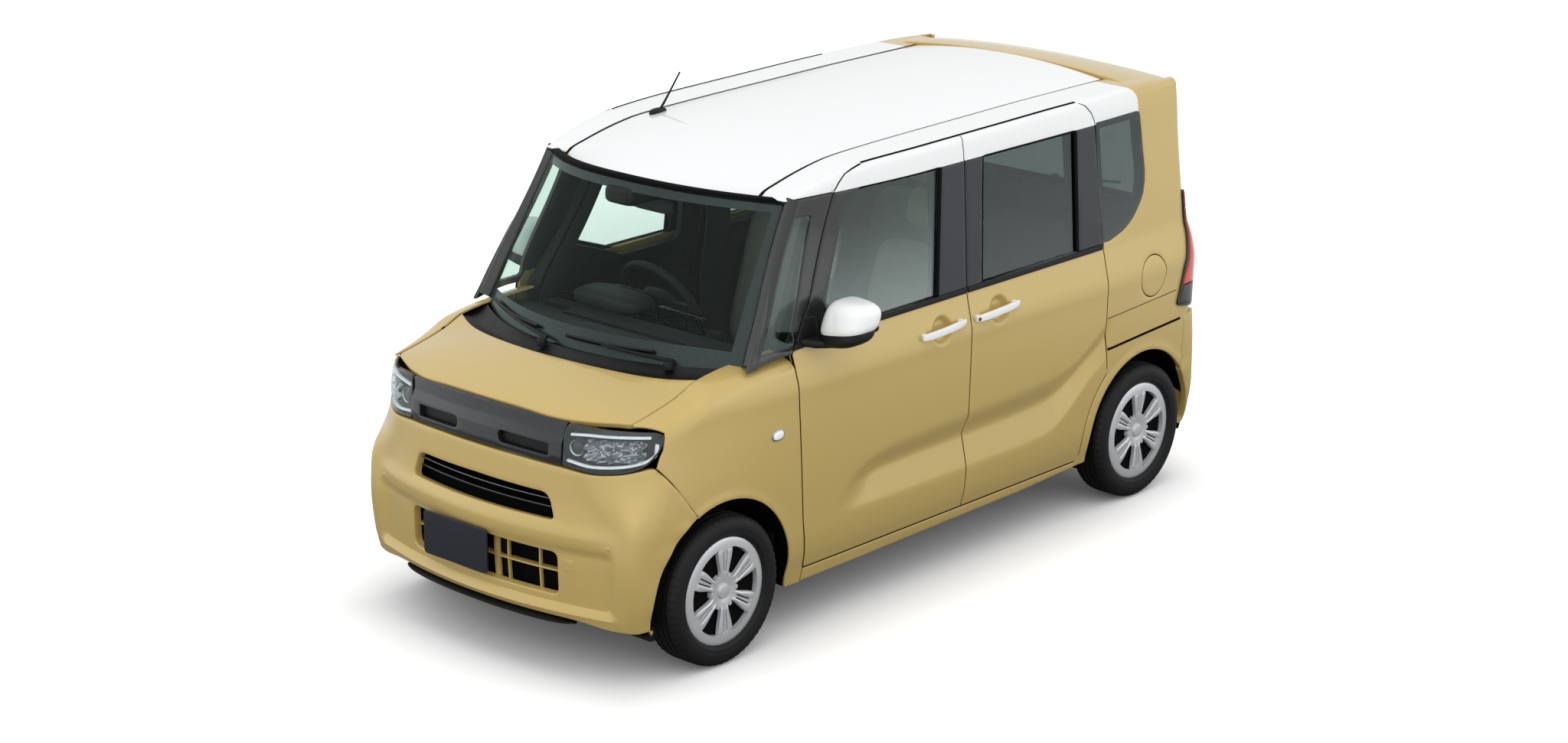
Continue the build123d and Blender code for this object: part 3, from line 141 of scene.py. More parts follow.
def ease(x: Array, low: float, high: float) -> Array:
    """Smooth step from 0 at low to 1 at high."""
    t = np.clip((np.asarray(x, float) - low) / (high - low), 0, 1)
    return t * t * (3 - 2 * t)


def hill(x: Array, middle: float, half: float) -> Array:
    """Smooth bump of height 1 at the middle, 0 beyond half to each side."""
    t = np.clip(1 - np.abs(np.asarray(x, float) - middle) / half, 0, 1)
    return t * t * (3 - 2 * t)


def arc(centre: Sequence[float], radius: float, start: float, end: float, count: int = 24) -> Array:
    """Points of a circle's arc between two angles in degrees."""
    a = np.radians(np.linspace(start, end, count))
    return np.stack([centre[0] + radius * np.cos(a), centre[1] + radius * np.sin(a)], axis=1)


def outline(corners: Sequence[Sequence[float]], count: int = 6) -> Array:
    """Closed outline from corners (u, v) or (u, v, radius), each radius rounding its corner.

    Args:
        corners: the corners in order.
        count: points on each rounding.

    Returns:
        The outline's points.
    """
    spots = np.array([c[:2] for c in corners], float)
    radii = [c[2] if len(c) > 2 else 0.0 for c in corners]
    t = np.linspace(0, 1, count)[:, None]
    parts = []
    for i, radius in enumerate(radii):
        here, back, on = spots[i], spots[i - 1], spots[(i + 1) % len(spots)]
        if radius <= 0:
            parts.append(here[None])
            continue
        to_back, to_on = back - here, on - here
        run = min(radius, 0.49 * np.linalg.norm(to_back), 0.49 * np.linalg.norm(to_on))
        a = here + to_back / np.linalg.norm(to_back) * run
        b = here + to_on / np.linalg.norm(to_on) * run
        parts.append((1 - t) ** 2 * a + 2 * t * (1 - t) * here + t * t * b)
    return np.concatenate(parts)


def resample(ring: Array, step: float) -> Array:
    """Closed outline with each run longer than a step divided into equal steps."""
    ring = ring[np.linalg.norm(ring - np.roll(ring, 1, axis=0), axis=1) > 1e-5]
    ahead = np.roll(ring, -1, axis=0)
    parts = []
    for a, b in zip(ring, ahead):
        n = max(1, int(math.ceil(np.linalg.norm(b - a) / step)))
        parts.append(a + (b - a) * (np.arange(n) / n)[:, None])
    return np.concatenate(parts)


def turned(ring: Array, anticlockwise: bool) -> Array:
    """The outline in the wanted sense."""
    ahead = np.roll(ring, -1, axis=0)
    area = np.sum(ring[:, 0] * ahead[:, 1] - ahead[:, 0] * ring[:, 1])
    return ring if (area > 0) == anticlockwise else ring[::-1]


def moved_in(ring: Array, distance: float) -> Array:
    """Outline moved to its left by a distance, with mitred corners."""
    before = ring - np.roll(ring, 1, axis=0)
    after = np.roll(ring, -1, axis=0) - ring
    before /= np.linalg.norm(before, axis=1, keepdims=True) + 1e-12
    after /= np.linalg.norm(after, axis=1, keepdims=True) + 1e-12
    n_before = np.stack([-before[:, 1], before[:, 0]], axis=1)
    n_after = np.stack([-after[:, 1], after[:, 0]], axis=1)
    mitre = n_before + n_after
    mitre /= np.maximum(1 + np.sum(n_before * n_after, axis=1, keepdims=True), 0.35)
    return ring + mitre * distance


def inset(ring: Array, step: float, distance: float) -> Array:
    """Outline divided into steps and drawn in by a distance, or out where it is negative."""
    return moved_in(turned(resample(ring, step), True), distance)


def softened(corners: Sequence[Sequence[float]], radius: float = 0.02) -> Array:
    """Outline whose corners all have one rounding."""
    return outline([(*corner, radius) for corner in corners])


def rounded_box(across: float, up: float, radius: float, count: int = 3) -> Array:
    """Profile of a bar from its half sizes."""
    return outline([(-across, -up, radius), (across, -up, radius), (across, up, radius), (-across, up, radius)],
                   count)


def within(points: Array, ring: Array) -> Array:
    """Which points lie inside a closed outline."""
    x, y = points[:, :1], points[:, 1:2]
    a, b = ring, np.roll(ring, -1, axis=0)
    crosses = (a[None, :, 1] > y) != (b[None, :, 1] > y)
    rise = np.where(b[:, 1] == a[:, 1], 1e-12, b[:, 1] - a[:, 1])
    reach = (b[:, 0] - a[:, 0])[None] * (y - a[None, :, 1]) / rise[None] + a[None, :, 0]
    return np.sum(crosses & (x < reach), axis=1) % 2 == 1


# ------------------------------------------------------------------ meshes


@dataclass
class Shell:
    """Vertices and faces of a mesh before it becomes an object."""

    points: Array
    faces: list[Array]

    def mirrored(self, hand: Hand) -> "Shell":
        """The same shell for one side of the car, made as the left one."""
        if hand is Hand.LEFT:
            return self
        return Shell(self.points * (1, -1, 1), [f[:, ::-1] for f in self.faces])

    def moved(self, matrix: Matrix) -> "Shell":
        """The shell carried by a 4 x 4 matrix that doesn't turn it inside out."""
        m = np.array(matrix)
        return Shell(self.points @ m[:3, :3].T + m[:3, 3], self.faces)

    def joined(self, *others: "Shell") -> "Shell":
        """This shell and others as one."""
        points, faces, first = [self.points], list(self.faces), len(self.points)
        for other in others:
            faces += [f + first for f in other.faces]
            points.append(other.points)
            first += len(other.points)
        return Shell(np.concatenate(points), faces)


def merged(shells: Sequence[Shell]) -> Shell:
    """Several shells as one."""
    return shells[0].joined(*shells[1:])


def grid(u: Array, v: Array) -> tuple[Array, Array]:
    """Two flat lists of the places of a grid, along v first."""
    return tuple(a.ravel() for a in np.meshgrid(u, v, indexing="ij"))


def grid_faces(rows: int, columns: int, wrap_rows: bool = False, wrap_columns: bool = False) -> Array:
    """Quads of a grid whose vertices run along the columns first."""
    i = np.arange(rows if wrap_rows else rows - 1)
    j = np.arange(columns if wrap_columns else columns - 1)
    i, j = grid(i, j)
    i2, j2 = (i + 1) % rows, (j + 1) % columns
    return np.stack([i * columns + j, i2 * columns + j, i2 * columns + j2, i * columns + j2], axis=1)


def facing(shell: Shell) -> Shell:
    """The shell with faces turned outwards, judged by its volume about its middle."""
    middle = shell.points.mean(axis=0)
    volume = 0.0
    for f in shell.faces:
        p = shell.points[f] - middle
        volume += np.sum(np.cross(p[:, 0], p[:, 1]) * p[:, 2])
        if f.shape[1] == 4:
            volume += np.sum(np.cross(p[:, 0], p[:, 2]) * p[:, 3])
    return shell if volume > 0 else Shell(shell.points, [f[:, ::-1] for f in shell.faces])


def slab(face: Array, rows: int, columns: int, behind: Sequence[float]) -> Shell:
    """Closed sheet: a grid of points, a copy moved behind it, and a rim between them."""
    n = len(face)
    quads = grid_faces(rows, columns)
    rim = np.concatenate([np.arange(columns), np.arange(1, rows) * columns + columns - 1,
                          np.arange(columns - 2, -1, -1) + (rows - 1) * columns,
                          np.arange(rows - 2, 0, -1) * columns])
    side = np.stack([rim, np.roll(rim, -1), np.roll(rim, -1) + n, rim + n], axis=1)
    points = np.concatenate([face, face + np.asarray(behind, float)])
    return facing(Shell(points, [quads, quads[:, ::-1] + n, side[:, ::-1]]))


def lathe(profile: Sequence[Sequence[float]], centre: Sequence[float], count: int = 64,
          closed: bool = True) -> Shell:
    """Turned shell about an axis along y: each profile point is (radius, y) and goes round the centre.

    Args:
        profile: points (radius, distance along y), closed on itself if closed.
        centre: (x, y, z) that the distances are measured from.
        count: steps round.
        closed: whether the profile is a loop, else its ends close on the axis.

    Returns:
        The shell.
    """
    rows = np.asarray(profile, float)
    a = np.linspace(0, 2 * np.pi, count, endpoint=False)
    points = np.stack([centre[0] + np.outer(np.cos(a), rows[:, 0]),
                       centre[1] + np.tile(rows[:, 1], (count, 1)),
                       centre[2] + np.outer(np.sin(a), rows[:, 0])], axis=2).reshape(-1, 3)
    faces = [grid_faces(count, len(rows), True, closed)]
    if not closed:
        for end, flip in ((0, False), (len(rows) - 1, True)):
            middle = len(points)
            points = np.vstack([points, [centre[0], centre[1] + rows[end, 1], centre[2]]])
            ring = np.arange(count) * len(rows) + end
            fan = np.stack([ring, np.full(count, middle), np.roll(ring, -1)], axis=1)
            faces.append(fan[:, ::-1] if flip else fan)
    return facing(Shell(points, faces))


def end_fans(rows: int, columns: int) -> list[Array]:
    """Fans from a grid's first and last rings to the two points that follow the grid."""
    first = np.arange(columns)
    last = first + (rows - 1) * columns
    start, end = (np.full(columns, rows * columns + k) for k in (0, 1))
    return [np.stack([first, start, np.roll(first, -1)], axis=1)[:, ::-1],
            np.stack([last, end, np.roll(last, -1)], axis=1)]


def swept(path: Array, profile: Array, up: Sequence[float] = (0, 0, 1), closed: bool = False,
          scale: Array | None = None) -> Shell:
    """Profile carried along a path: across is path direction x up, and the profile's v runs along up.

    Args:
        path: points that the profile's origin follows.
        profile: closed profile (across, upward).
        up: direction that the profile's second axis leans towards.
        closed: whether the path closes on itself.
        scale: size of the profile at each point of the path.

    Returns:
        The shell, with its ends closed by fans.
    """
    path = np.asarray(path, float)
    if closed:
        along = np.roll(path, -1, axis=0) - np.roll(path, 1, axis=0)
    else:
        along = np.gradient(path, axis=0)
    along /= np.linalg.norm(along, axis=1, keepdims=True)
    across = np.cross(along, np.asarray(up, float))
    across /= np.linalg.norm(across, axis=1, keepdims=True)
    lift = np.cross(across, along)
    size = np.ones(len(path)) if scale is None else np.asarray(scale, float)
    ring = np.asarray(profile, float)
    points = (path[:, None] + across[:, None] * (ring[None, :, :1] * size[:, None, None])
              + lift[:, None] * (ring[None, :, 1:2] * size[:, None, None])).reshape(-1, 3)
    n = len(ring)
    faces = [grid_faces(len(path), n, closed, True)]
    if not closed:
        points = np.vstack([points, path[0], path[-1]])
        faces += end_fans(len(path), n)
    return facing(Shell(points, faces))


def circle(radius: float, count: int = 16) -> Array:
    """Closed circular profile."""
    return arc((0, 0), radius, 0, 360, count + 1)[:-1]


def pillow(size: Sequence[float], centre: Sequence[float], square: Sequence[float] = (0.35, 0.35),
           count: Sequence[int] = (48, 24)) -> Shell:
    """Superellipsoid: x, y, z are signed powers of the cosines and sines of two angles.

    Args:
        size: full length on each axis.
        centre: middle point.
        square: powers round the plan and up the side, 1 for round and near 0 for square.
        count: steps round and up.

    Returns:
        The shell with closed poles.
    """
    a = np.linspace(0, 2 * np.pi, count[0], endpoint=False)
    b = np.linspace(-np.pi / 2, np.pi / 2, count[1] + 2)[1:-1]

    def power(v: Array, p: float) -> Array:
        """A power that keeps the sign."""
        return np.sign(v) * np.abs(v) ** p

    ring = power(np.cos(b), square[1])
    across = np.stack([np.outer(ring, power(np.cos(a), square[0])), np.outer(ring, power(np.sin(a), square[0])),
                       np.outer(power(np.sin(b), square[1]), np.ones(count[0]))], axis=2).reshape(-1, 3)
    points = np.vstack([across, (0, 0, -1), (0, 0, 1)]) * (np.asarray(size) / 2) + np.asarray(centre)
    n, ring_ids = count[0], np.arange(count[0])
    last = ring_ids + (count[1] - 1) * n
    faces = [grid_faces(count[1], n, False, True),
             np.stack([ring_ids, np.full(n, len(points) - 2), np.roll(ring_ids, -1)], axis=1),
             np.stack([last, np.roll(last, -1), np.full(n, len(points) - 1)], axis=1)]
    return facing(Shell(points, [faces[0]] + [facing_fan(points, f) for f in faces[1:]]))


def stuffed(shell: Shell, most: float, voxel: float = 0.012) -> Shell:
    """Swells a closed form as a filled cover: remeshed, blown up as cloth, held to a distance and subdivided.

    Args:
        shell: the closed form.
        most: the furthest that a point may move.
        voxel: size of the remeshed faces.

    Returns:
        The swollen form.
    """
    scene = bpy.context.scene
    mesh = bpy.data.meshes.new("pad")
    mesh.from_pydata(shell.points.tolist(), [], [row.tolist() for block in shell.faces for row in block])
    pad = bpy.data.objects.new("pad", mesh)
    scene.collection.objects.link(pad)

    def settled() -> bpy.types.Mesh:
        """The pad's mesh as its modifiers leave it."""
        graph = bpy.context.evaluated_depsgraph_get()
        return bpy.data.meshes.new_from_object(pad.evaluated_get(graph))

    remesh = pad.modifiers.new("remesh", "REMESH")
    remesh.mode, remesh.voxel_size = "VOXEL", voxel
    pad.data = settled()
    pad.modifiers.clear()
    start = np.empty(len(pad.data.vertices) * 3)
    pad.data.vertices.foreach_get("co", start)
    cloth = pad.modifiers.new("cloth", "CLOTH")
    cloth.settings.quality = 5
    cloth.settings.use_pressure = True
    cloth.settings.uniform_pressure_force = PAD_PRESSURE
    cloth.settings.effector_weights.gravity = 0.0
    cloth.point_cache.frame_end = PAD_FRAMES
    for step in range(1, PAD_FRAMES + 1):
        scene.frame_set(step)
    swollen = settled()
    end = np.empty_like(start)
    swollen.vertices.foreach_get("co", end)
    pad.modifiers.clear()
    scene.frame_set(1)
    move = (end - start).reshape(-1, 3)
    length = np.linalg.norm(move, axis=1, keepdims=True)
    move *= np.minimum(1, most / np.maximum(length, 1e-9))
    pad.data.vertices.foreach_set("co", (start.reshape(-1, 3) + move).ravel())
    subdivision = pad.modifiers.new("smooth", "SUBSURF")
    subdivision.levels = subdivision.render_levels = 1
    made = settled()
    points = np.empty(len(made.vertices) * 3)
    made.vertices.foreach_get("co", points)
    corners = np.empty(len(made.loops), np.int32)
    made.loops.foreach_get("vertex_index", corners)
    bpy.data.objects.remove(pad)
    return Shell(points.reshape(-1, 3), [corners.reshape(-1, 4)])


def sewn(shell: Shell, distance: Array, depth: float = 0.006, half: float = 0.012) -> Shell:
    """Pulls a seam in along the line where a distance is nought."""
    normal = shell.points - shell.points.mean(axis=0)
    normal /= np.linalg.norm(normal, axis=1, keepdims=True)
    return Shell(shell.points - normal * (depth * np.exp(-(distance / half) ** 2))[:, None], shell.faces)


def facing_fan(points: Array, fan: Array) -> Array:
    """Fan of a pole wound as the grid beside it is."""
    middle = points.mean(axis=0)
    p = points[fan] - middle
    volume = np.sum(np.cross(p[:, 0], p[:, 1]) * p[:, 2])
    return fan if volume > 0 else fan[:, ::-1]


def normals(surface: Surface, uv: Array, reach: float = 1e-4) -> Array:
    """Unit normals of a surface at its parameters, from steps of a small reach."""
    u, v = uv[:, 0], uv[:, 1]
    across = np.cross(surface(u + reach, v) - surface(u - reach, v), surface(u, v + reach) - surface(u, v - reach))
    return across / (np.linalg.norm(across, axis=1, keepdims=True) + 1e-15)


def trimmed(surface: Surface, edge: Array, holes: Sequence[Array] = (), step: float = 0.02, roll: float = 0.003,
            thick: float = 0.02, outward: Sequence[float] = (0, 1, 0), lift: float = 0.0,
            dense: Sequence[Sequence[float]] = ()) -> Shell:
    """Sheet cut from a surface: a grid inside an outline, rolled over at its edges and closed behind.

    Args:
        surface: gives points in space for two parameters in metres.
        edge: outer outline in those parameters.
        holes: outlines of openings.
        step: distance between the grid's points.
        roll: radius of the rolled edge.
        thick: depth of the sheet behind its face.
        outward: rough direction that the face looks.
        lift: how far the face stands off the surface.
        dense: discs (u, v, radius) where the points stand closer.

    Returns:
        The closed shell.
    """
    rings = [turned(resample(np.asarray(edge, float), step * OUTLINE_SPACING), True)]
    rings += [turned(resample(np.asarray(h, float), step * OUTLINE_SPACING), False) for h in holes]
    bends = np.linspace(0, np.pi / 2, 4)
    layers = [(roll * (1 - math.sin(a)), roll * (1 - math.cos(a))) for a in bends] + [(0.0, thick)]
    rim = [np.concatenate([moved_in(r, off) for r in rings]) for off, _ in layers]
    low, high = rings[0].min(axis=0), rings[0].max(axis=0)
    us = np.arange(low[0], high[0], step)
    vs = np.arange(low[1], high[1], step)
    inner = np.stack(np.meshgrid(us, vs), axis=2).reshape(-1, 2)
    for u, v, radius in dense:
        inner = inner[np.hypot(inner[:, 0] - u, inner[:, 1] - v) > radius]
        fine = np.arange(-radius, radius, step / 3)
        disc = np.stack(np.meshgrid(fine, fine), axis=2).reshape(-1, 2)
        inner = np.concatenate([inner, disc[np.hypot(disc[:, 0], disc[:, 1]) < radius - step / 3] + (u, v)])
    keep = within(inner, rings[0])
    for hole in rings[1:]:
        keep &= ~within(inner, hole)
    inner = inner[keep]
    if len(inner):
        near = np.full(len(inner), np.inf)
        for block in np.array_split(rim[0], max(1, len(rim[0]) // 400)):
            near = np.minimum(near, np.min(np.linalg.norm(inner[:, None] - block[None], axis=2), axis=1))
        inner = inner[near > step * OUTLINE_MARGIN]
    flat = np.concatenate([rim[0], inner])
    sizes = [len(r) for r in rings]
    starts = np.concatenate([[0], np.cumsum(sizes)[:-1]])
    ring_edges = np.concatenate([np.stack([s + np.arange(n), s + (np.arange(n) + 1) % n], axis=1)
                                 for s, n in zip(starts, sizes)])
    made = delaunay_2d_cdt([Vector(p) for p in flat.tolist()], ring_edges.tolist(), [], 0, WELD)
    source = np.array([o[0] if o else int(np.argmin(np.linalg.norm(flat - tuple(v), axis=1)))
                       for v, o in zip(made[0], made[3])])
    crossings = sum(1 for o in made[3] if not o)
    if crossings:
        log.warning("outline crosses itself %d times", crossings)
    triangles = source[np.array([f[:3] for f in made[2]])]
    middles = flat[triangles].mean(axis=1)
    keep = within(middles, rim[0][:sizes[0]])
    for s, n in zip(starts[1:], sizes[1:]):
        keep &= ~within(middles, rim[0][s:s + n])
    triangles = triangles[keep]
    p = flat[triangles]
    side_a, side_b = p[:, 1] - p[:, 0], p[:, 2] - p[:, 0]
    twice = side_a[:, 0] * side_b[:, 1] - side_a[:, 1] * side_b[:, 0]
    triangles = np.where((twice < 0)[:, None], triangles[:, ::-1], triangles)

    looks = float(normals(surface, flat).mean(axis=0) @ np.asarray(outward, float))
    way = 1.0 if looks > 0 else -1.0

    def placed(uv: Array, depth: float) -> Array:
        """Points at a depth behind the lifted surface."""
        return surface(uv[:, 0], uv[:, 1]) + way * normals(surface, uv) * (lift - depth)

    n_rim, n_flat = len(rim[0]), len(flat)
    stack = [placed(flat, 0.0)] + [placed(r, d) for r, (_, d) in zip(rim[1:], layers[1:])] + [placed(inner, thick)]
    points = np.concatenate(stack)
    faces = [triangles]
    for k in range(len(layers) - 1):
        upper = 0 if k == 0 else n_flat + (k - 1) * n_rim
        lower = n_flat + k * n_rim
        a, b = ring_edges[:, 0], ring_edges[:, 1]
        faces.append(np.stack([upper + a, lower + a, lower + b, upper + b], axis=1))
    back_rim = n_flat + (len(layers) - 2) * n_rim
    faces.append((triangles + back_rim)[:, ::-1])
    if way < 0:
        faces = [f[:, ::-1] for f in faces]
    return Shell(points, faces)


# ------------------------------------------------------------------ finishes


class Wire:
    """A shader socket that takes part in arithmetic."""

    def __init__(self, painter: "Painter", socket: bpy.types.NodeSocket) -> None:
        """Keeps the painter and the socket."""
        self.painter = painter
        self.socket = socket

    def maths(self, operation: str, *others: "Wire | float", first: bool = True) -> "Wire":
        """One Math node on this value and others, in either order."""
        values = (self, *others) if first else (*others, self)
        node = self.painter.node("ShaderNodeMath", {"operation": operation}, dict(enumerate(values)))
        return Wire(self.painter, node.outputs[0])

    def __add__(self, other: "Wire | float") -> "Wire":
        """Sum."""
        return self.maths("ADD", other)

    def __sub__(self, other: "Wire | float") -> "Wire":
        """Difference."""
        return self.maths("SUBTRACT", other)

    def __rsub__(self, other: float) -> "Wire":
        """Difference from a number."""
        return self.maths("SUBTRACT", other, first=False)

    def __mul__(self, other: "Wire | float") -> "Wire":
        """Product."""
        return self.maths("MULTIPLY", other)

    def __truediv__(self, other: "Wire | float") -> "Wire":
        """Quotient."""
        return self.maths("DIVIDE", other)

    def __gt__(self, other: "Wire | float") -> "Wire":
        """1 where this is more."""
        return self.maths("GREATER_THAN", other)

    def __lt__(self, other: "Wire | float") -> "Wire":
        """1 where this is less."""
        return self.maths("LESS_THAN", other)

    __radd__ = __add__
    __rmul__ = __mul__


class Painter:
    """Makes the nodes of one material, or of the world."""

    def __init__(self, name: str, world: bool = False) -> None:
        """Starts an empty node tree."""
        self.material = (bpy.data.worlds if world else bpy.data.materials).new(name)
        self.material.use_nodes = True
        self.tree = self.material.node_tree
        self.tree.nodes.clear()

    def node(self, kind: str, settings: dict | None = None, inputs: dict | None = None) -> bpy.types.Node:
        """Makes a node.

        Args:
            kind: the node's type.
            settings: its properties, set first.
            inputs: values or wires for its sockets, by name or number.

        Returns:
            The node.
        """
        made = self.tree.nodes.new(kind)
        for key, value in (settings or {}).items():
            setattr(made, key, value)
        for key, value in (inputs or {}).items():
            socket = made.inputs[key]
            if isinstance(value, Wire):
                self.tree.links.new(value.socket, socket)
            elif isinstance(value, bpy.types.NodeSocket):
                self.tree.links.new(value, socket)
            else:
                bare = isinstance(value, (tuple, list)) and len(value) == 3 and socket.type == "RGBA"
                socket.default_value = (*value, 1) if bare else value
        return made

    def place(self) -> tuple[Wire, Wire, Wire, bpy.types.NodeSocket]:
        """Object coordinates x, y, z as values, and the vector itself."""
        where = self.node("ShaderNodeTexCoord").outputs["Object"]
        split = self.node("ShaderNodeSeparateXYZ", inputs={0: where})
        return (*(Wire(self, split.outputs[i]) for i in range(3)), where)

    def noise(self, where: bpy.types.NodeSocket, scale: float, detail: float = 2.0) -> Wire:
        """Noise over the object, 0 to 1."""
        made = self.node("ShaderNodeTexNoise", inputs={"Vector": where, "Scale": scale, "Detail": detail})
        return Wire(self, made.outputs[0])

    def blend(self, share: Wire | float, low: object, high: object) -> Wire:
        """Colour between two colours."""
        made = self.node("ShaderNodeMix", {"data_type": "RGBA"}, {0: share, 6: low, 7: high})
        return Wire(self, made.outputs[2])

    def raised(self, height: Wire, distance: float, strength: float = 1.0) -> Wire:
        """Normal with a height laid on it."""
        made = self.node("ShaderNodeBump", inputs={"Height": height, "Distance": distance, "Strength": strength})
        return Wire(self, made.outputs[0])

    def shade(self, **values: object) -> bpy.types.Node:
        """Principled shader with the given sockets, underscores read as spaces."""
        return self.node("ShaderNodeBsdfPrincipled", inputs={k.replace("_", " "): v for k, v in values.items()})

    def done(self, shader: bpy.types.Node) -> bpy.types.Material:
        """Joins the shader to the output and gives the material."""
        self.node("ShaderNodeOutputMaterial", inputs={"Surface": shader.outputs[0]})
        return self.material


def dimmed(tone: Sequence[float], share: float) -> tuple[float, ...]:
    """A colour at a share of its strength, which may be over 1, kept within white."""
    return tuple(min(1, c * share) for c in tone)


def colour(text: str) -> tuple[float, float, float]:
    """Linear colour from a screen colour in six hexadecimal digits."""
    c = np.array([int(text[i:i + 2], 16) for i in (0, 2, 4)]) / 255
    return tuple(np.where(c <= 0.04045, c / 12.92, ((c + 0.055) / 1.055) ** 2.4).tolist())


@dataclass(frozen=True)
class TwoTonePaint:
    """Lacquered body paint, one colour below the roof line and another above and ahead of it."""

    name: str = "body_paint"
    lower: str = "c3a964"
    upper: str = "eeeff0"
    split_z: float = 1.5995
    split_x: float = -1.287
    film: str = "1b1d24"
    film_low: float = 1.109
    film_rear: float = -1.046
    film_y: float = 0.56
    bend_z: float = 1.645

    def build(self) -> bpy.types.Material:
        """Fine flake and a clear coat over the two colours."""
        p = Painter(self.name)
        x, y, z, where = p.place()
        bend = ((z - self.bend_z).maths("MAXIMUM", 0.0) * 20).maths("POWER",
                                                                    2.0) * 0.035 * (y.maths("ABSOLUTE") > DITCH_Y)
        roof = (z > self.split_z) * (x > bend + self.split_x)
        flake = p.noise(where, 900.0, 1.0)
        cloud = p.noise(where, 3.0, 2.0)
        lower = p.blend(flake * 0.35 + cloud * 0.15, colour(self.lower), dimmed(colour(self.lower), 1.08))
        tone = p.blend(roof, lower, colour(self.upper))
        film = (z > self.film_low) * (z < self.split_z) * (x > self.film_rear) * (y.maths("ABSOLUTE") > self.film_y)
        tone = p.blend(film, tone, colour(self.film))
        skin = p.raised(p.noise(where, 240.0, 1.0), 0.0004, 0.12)
        return p.done(p.shade(Base_Color=tone, Roughness=flake * 0.05 + 0.34, Metallic=(1 - roof) * (1 - film) * 0.10,
                              Coat_Weight=0.7, Coat_Roughness=0.04, Normal=skin, Specular_IOR_Level=0.35))


@dataclass(frozen=True)
class Plain:
    """Moulded, painted or cast stuff of one colour, with its grain, soiling and gloss."""

    name: str
    tone: str
    rough: float = 0.5
    metal: float = 0.0
    coat: float = 0.0
    grain: float = 900.0
    relief: float = 0.0002
    mottle: float = 0.12
    shine: float = 0.5

    def build(self) -> bpy.types.Material:
        """A fine grain in the normal, a coarse mottle in the colour and an uneven gloss."""
        p = Painter(self.name)
        _, _, _, where = p.place()
        grain = p.noise(where, self.grain, 2.0)
        patch = p.noise(where, 14.0, 3.0)
        base = colour(self.tone)
        tone = p.blend(patch, dimmed(base, 1 - self.mottle), dimmed(base, 1 + self.mottle))
        return p.done(p.shade(Base_Color=tone, Roughness=(patch - 0.5) * 0.1 + self.rough, Metallic=self.metal,
                              Coat_Weight=self.coat, Coat_Roughness=0.03, Specular_IOR_Level=self.shine,
                              Normal=p.raised(grain, self.relief, 0.6)))


@dataclass(frozen=True)
class Pane:
    """Window glass: tinted light passes through each face, which reflects more at a glance."""

    name: str
    tint: tuple
    gloss: float = 0.0
    mirror: float = 1.0
    fade: float = 0.0
    fade_from_z: float = 1.10
    fade_height: float = 0.42

    def build(self) -> bpy.types.Material:
        """Tinted see-through mixed with a glossy face by the angle of view, brighter towards the belt line."""
        p = Painter(self.name)
        _, _, z, where = p.place()
        through = p.node("ShaderNodeBsdfTransparent", inputs={"Color": self.tint})
        face = p.shade(Base_Color=(0.86, 0.95, 0.94), Roughness=0.02, Metallic=1.0,
                       Normal=p.raised(p.noise(where, 3.0, 1.0), 0.002, 0.02))
        facing_away = Wire(p, p.node("ShaderNodeLayerWeight", inputs={"Blend": 0.5}).outputs["Facing"])
        glance = (facing_away.maths("POWER", 5.0) * 0.96 + (0.04 + self.gloss)) * self.mirror
        foot = (1 - (z - self.fade_from_z) / self.fade_height).maths("MAXIMUM", 0.0).maths("POWER", 1.5)
        share = glance + foot * self.fade
        return p.done(p.node("ShaderNodeMixShader", inputs={0: share, 1: through.outputs[0], 2: face.outputs[0]}))


@dataclass(frozen=True)
class Cloth:
    """Woven seat cloth with a melange yarn."""

    name: str
    tone: str
    thread: float = 5200.0

    def build(self) -> bpy.types.Material:
        """Crossed threads in the normal and a mixed yarn in the colour."""
        p = Painter(self.name)
        x, y, z, where = p.place()
        warp = (y * self.thread).maths("SINE")
        weft = ((x + z) * self.thread).maths("SINE")
        weave = warp * weft
        yarn = p.noise(where, 420.0, 3.0)
        base = colour(self.tone)
        tone = p.blend(yarn, dimmed(base, 0.7), dimmed(base, 1.35))
        return p.done(p.shade(Base_Color=tone, Roughness=0.9, Specular_IOR_Level=0.2,
                              Normal=p.raised(weave * 0.5 + yarn * 0.5, 0.0002, 0.5)))


@dataclass(frozen=True)
class Glow:
    """Lamp lens of one colour with fine ribs, lit a little from inside; on the rear reflectors, which are no lamps,
    this glow is painted light.
    """

    name: str
    tone: str
    strength: float = 0.15
    rib: float = 700.0

    def build(self) -> bpy.types.Material:
        """Coloured gloss with ribs across the lens."""
        p = Painter(self.name)
        _, y, z, where = p.place()
        ribs = (z * self.rib).maths("SINE") * (y * self.rib).maths("SINE")
        patch = p.noise(where, 30.0, 2.0)
        base = colour(self.tone)
        tone = p.blend(patch * 0.6, base, dimmed(base, 0.6))
        return p.done(p.shade(Base_Color=tone, Roughness=0.12, Coat_Weight=1.0, Coat_Roughness=0.02,
                              Emission_Color=tone, Emission_Strength=self.strength,
                              Normal=p.raised(ribs, 0.0006, 0.35)))


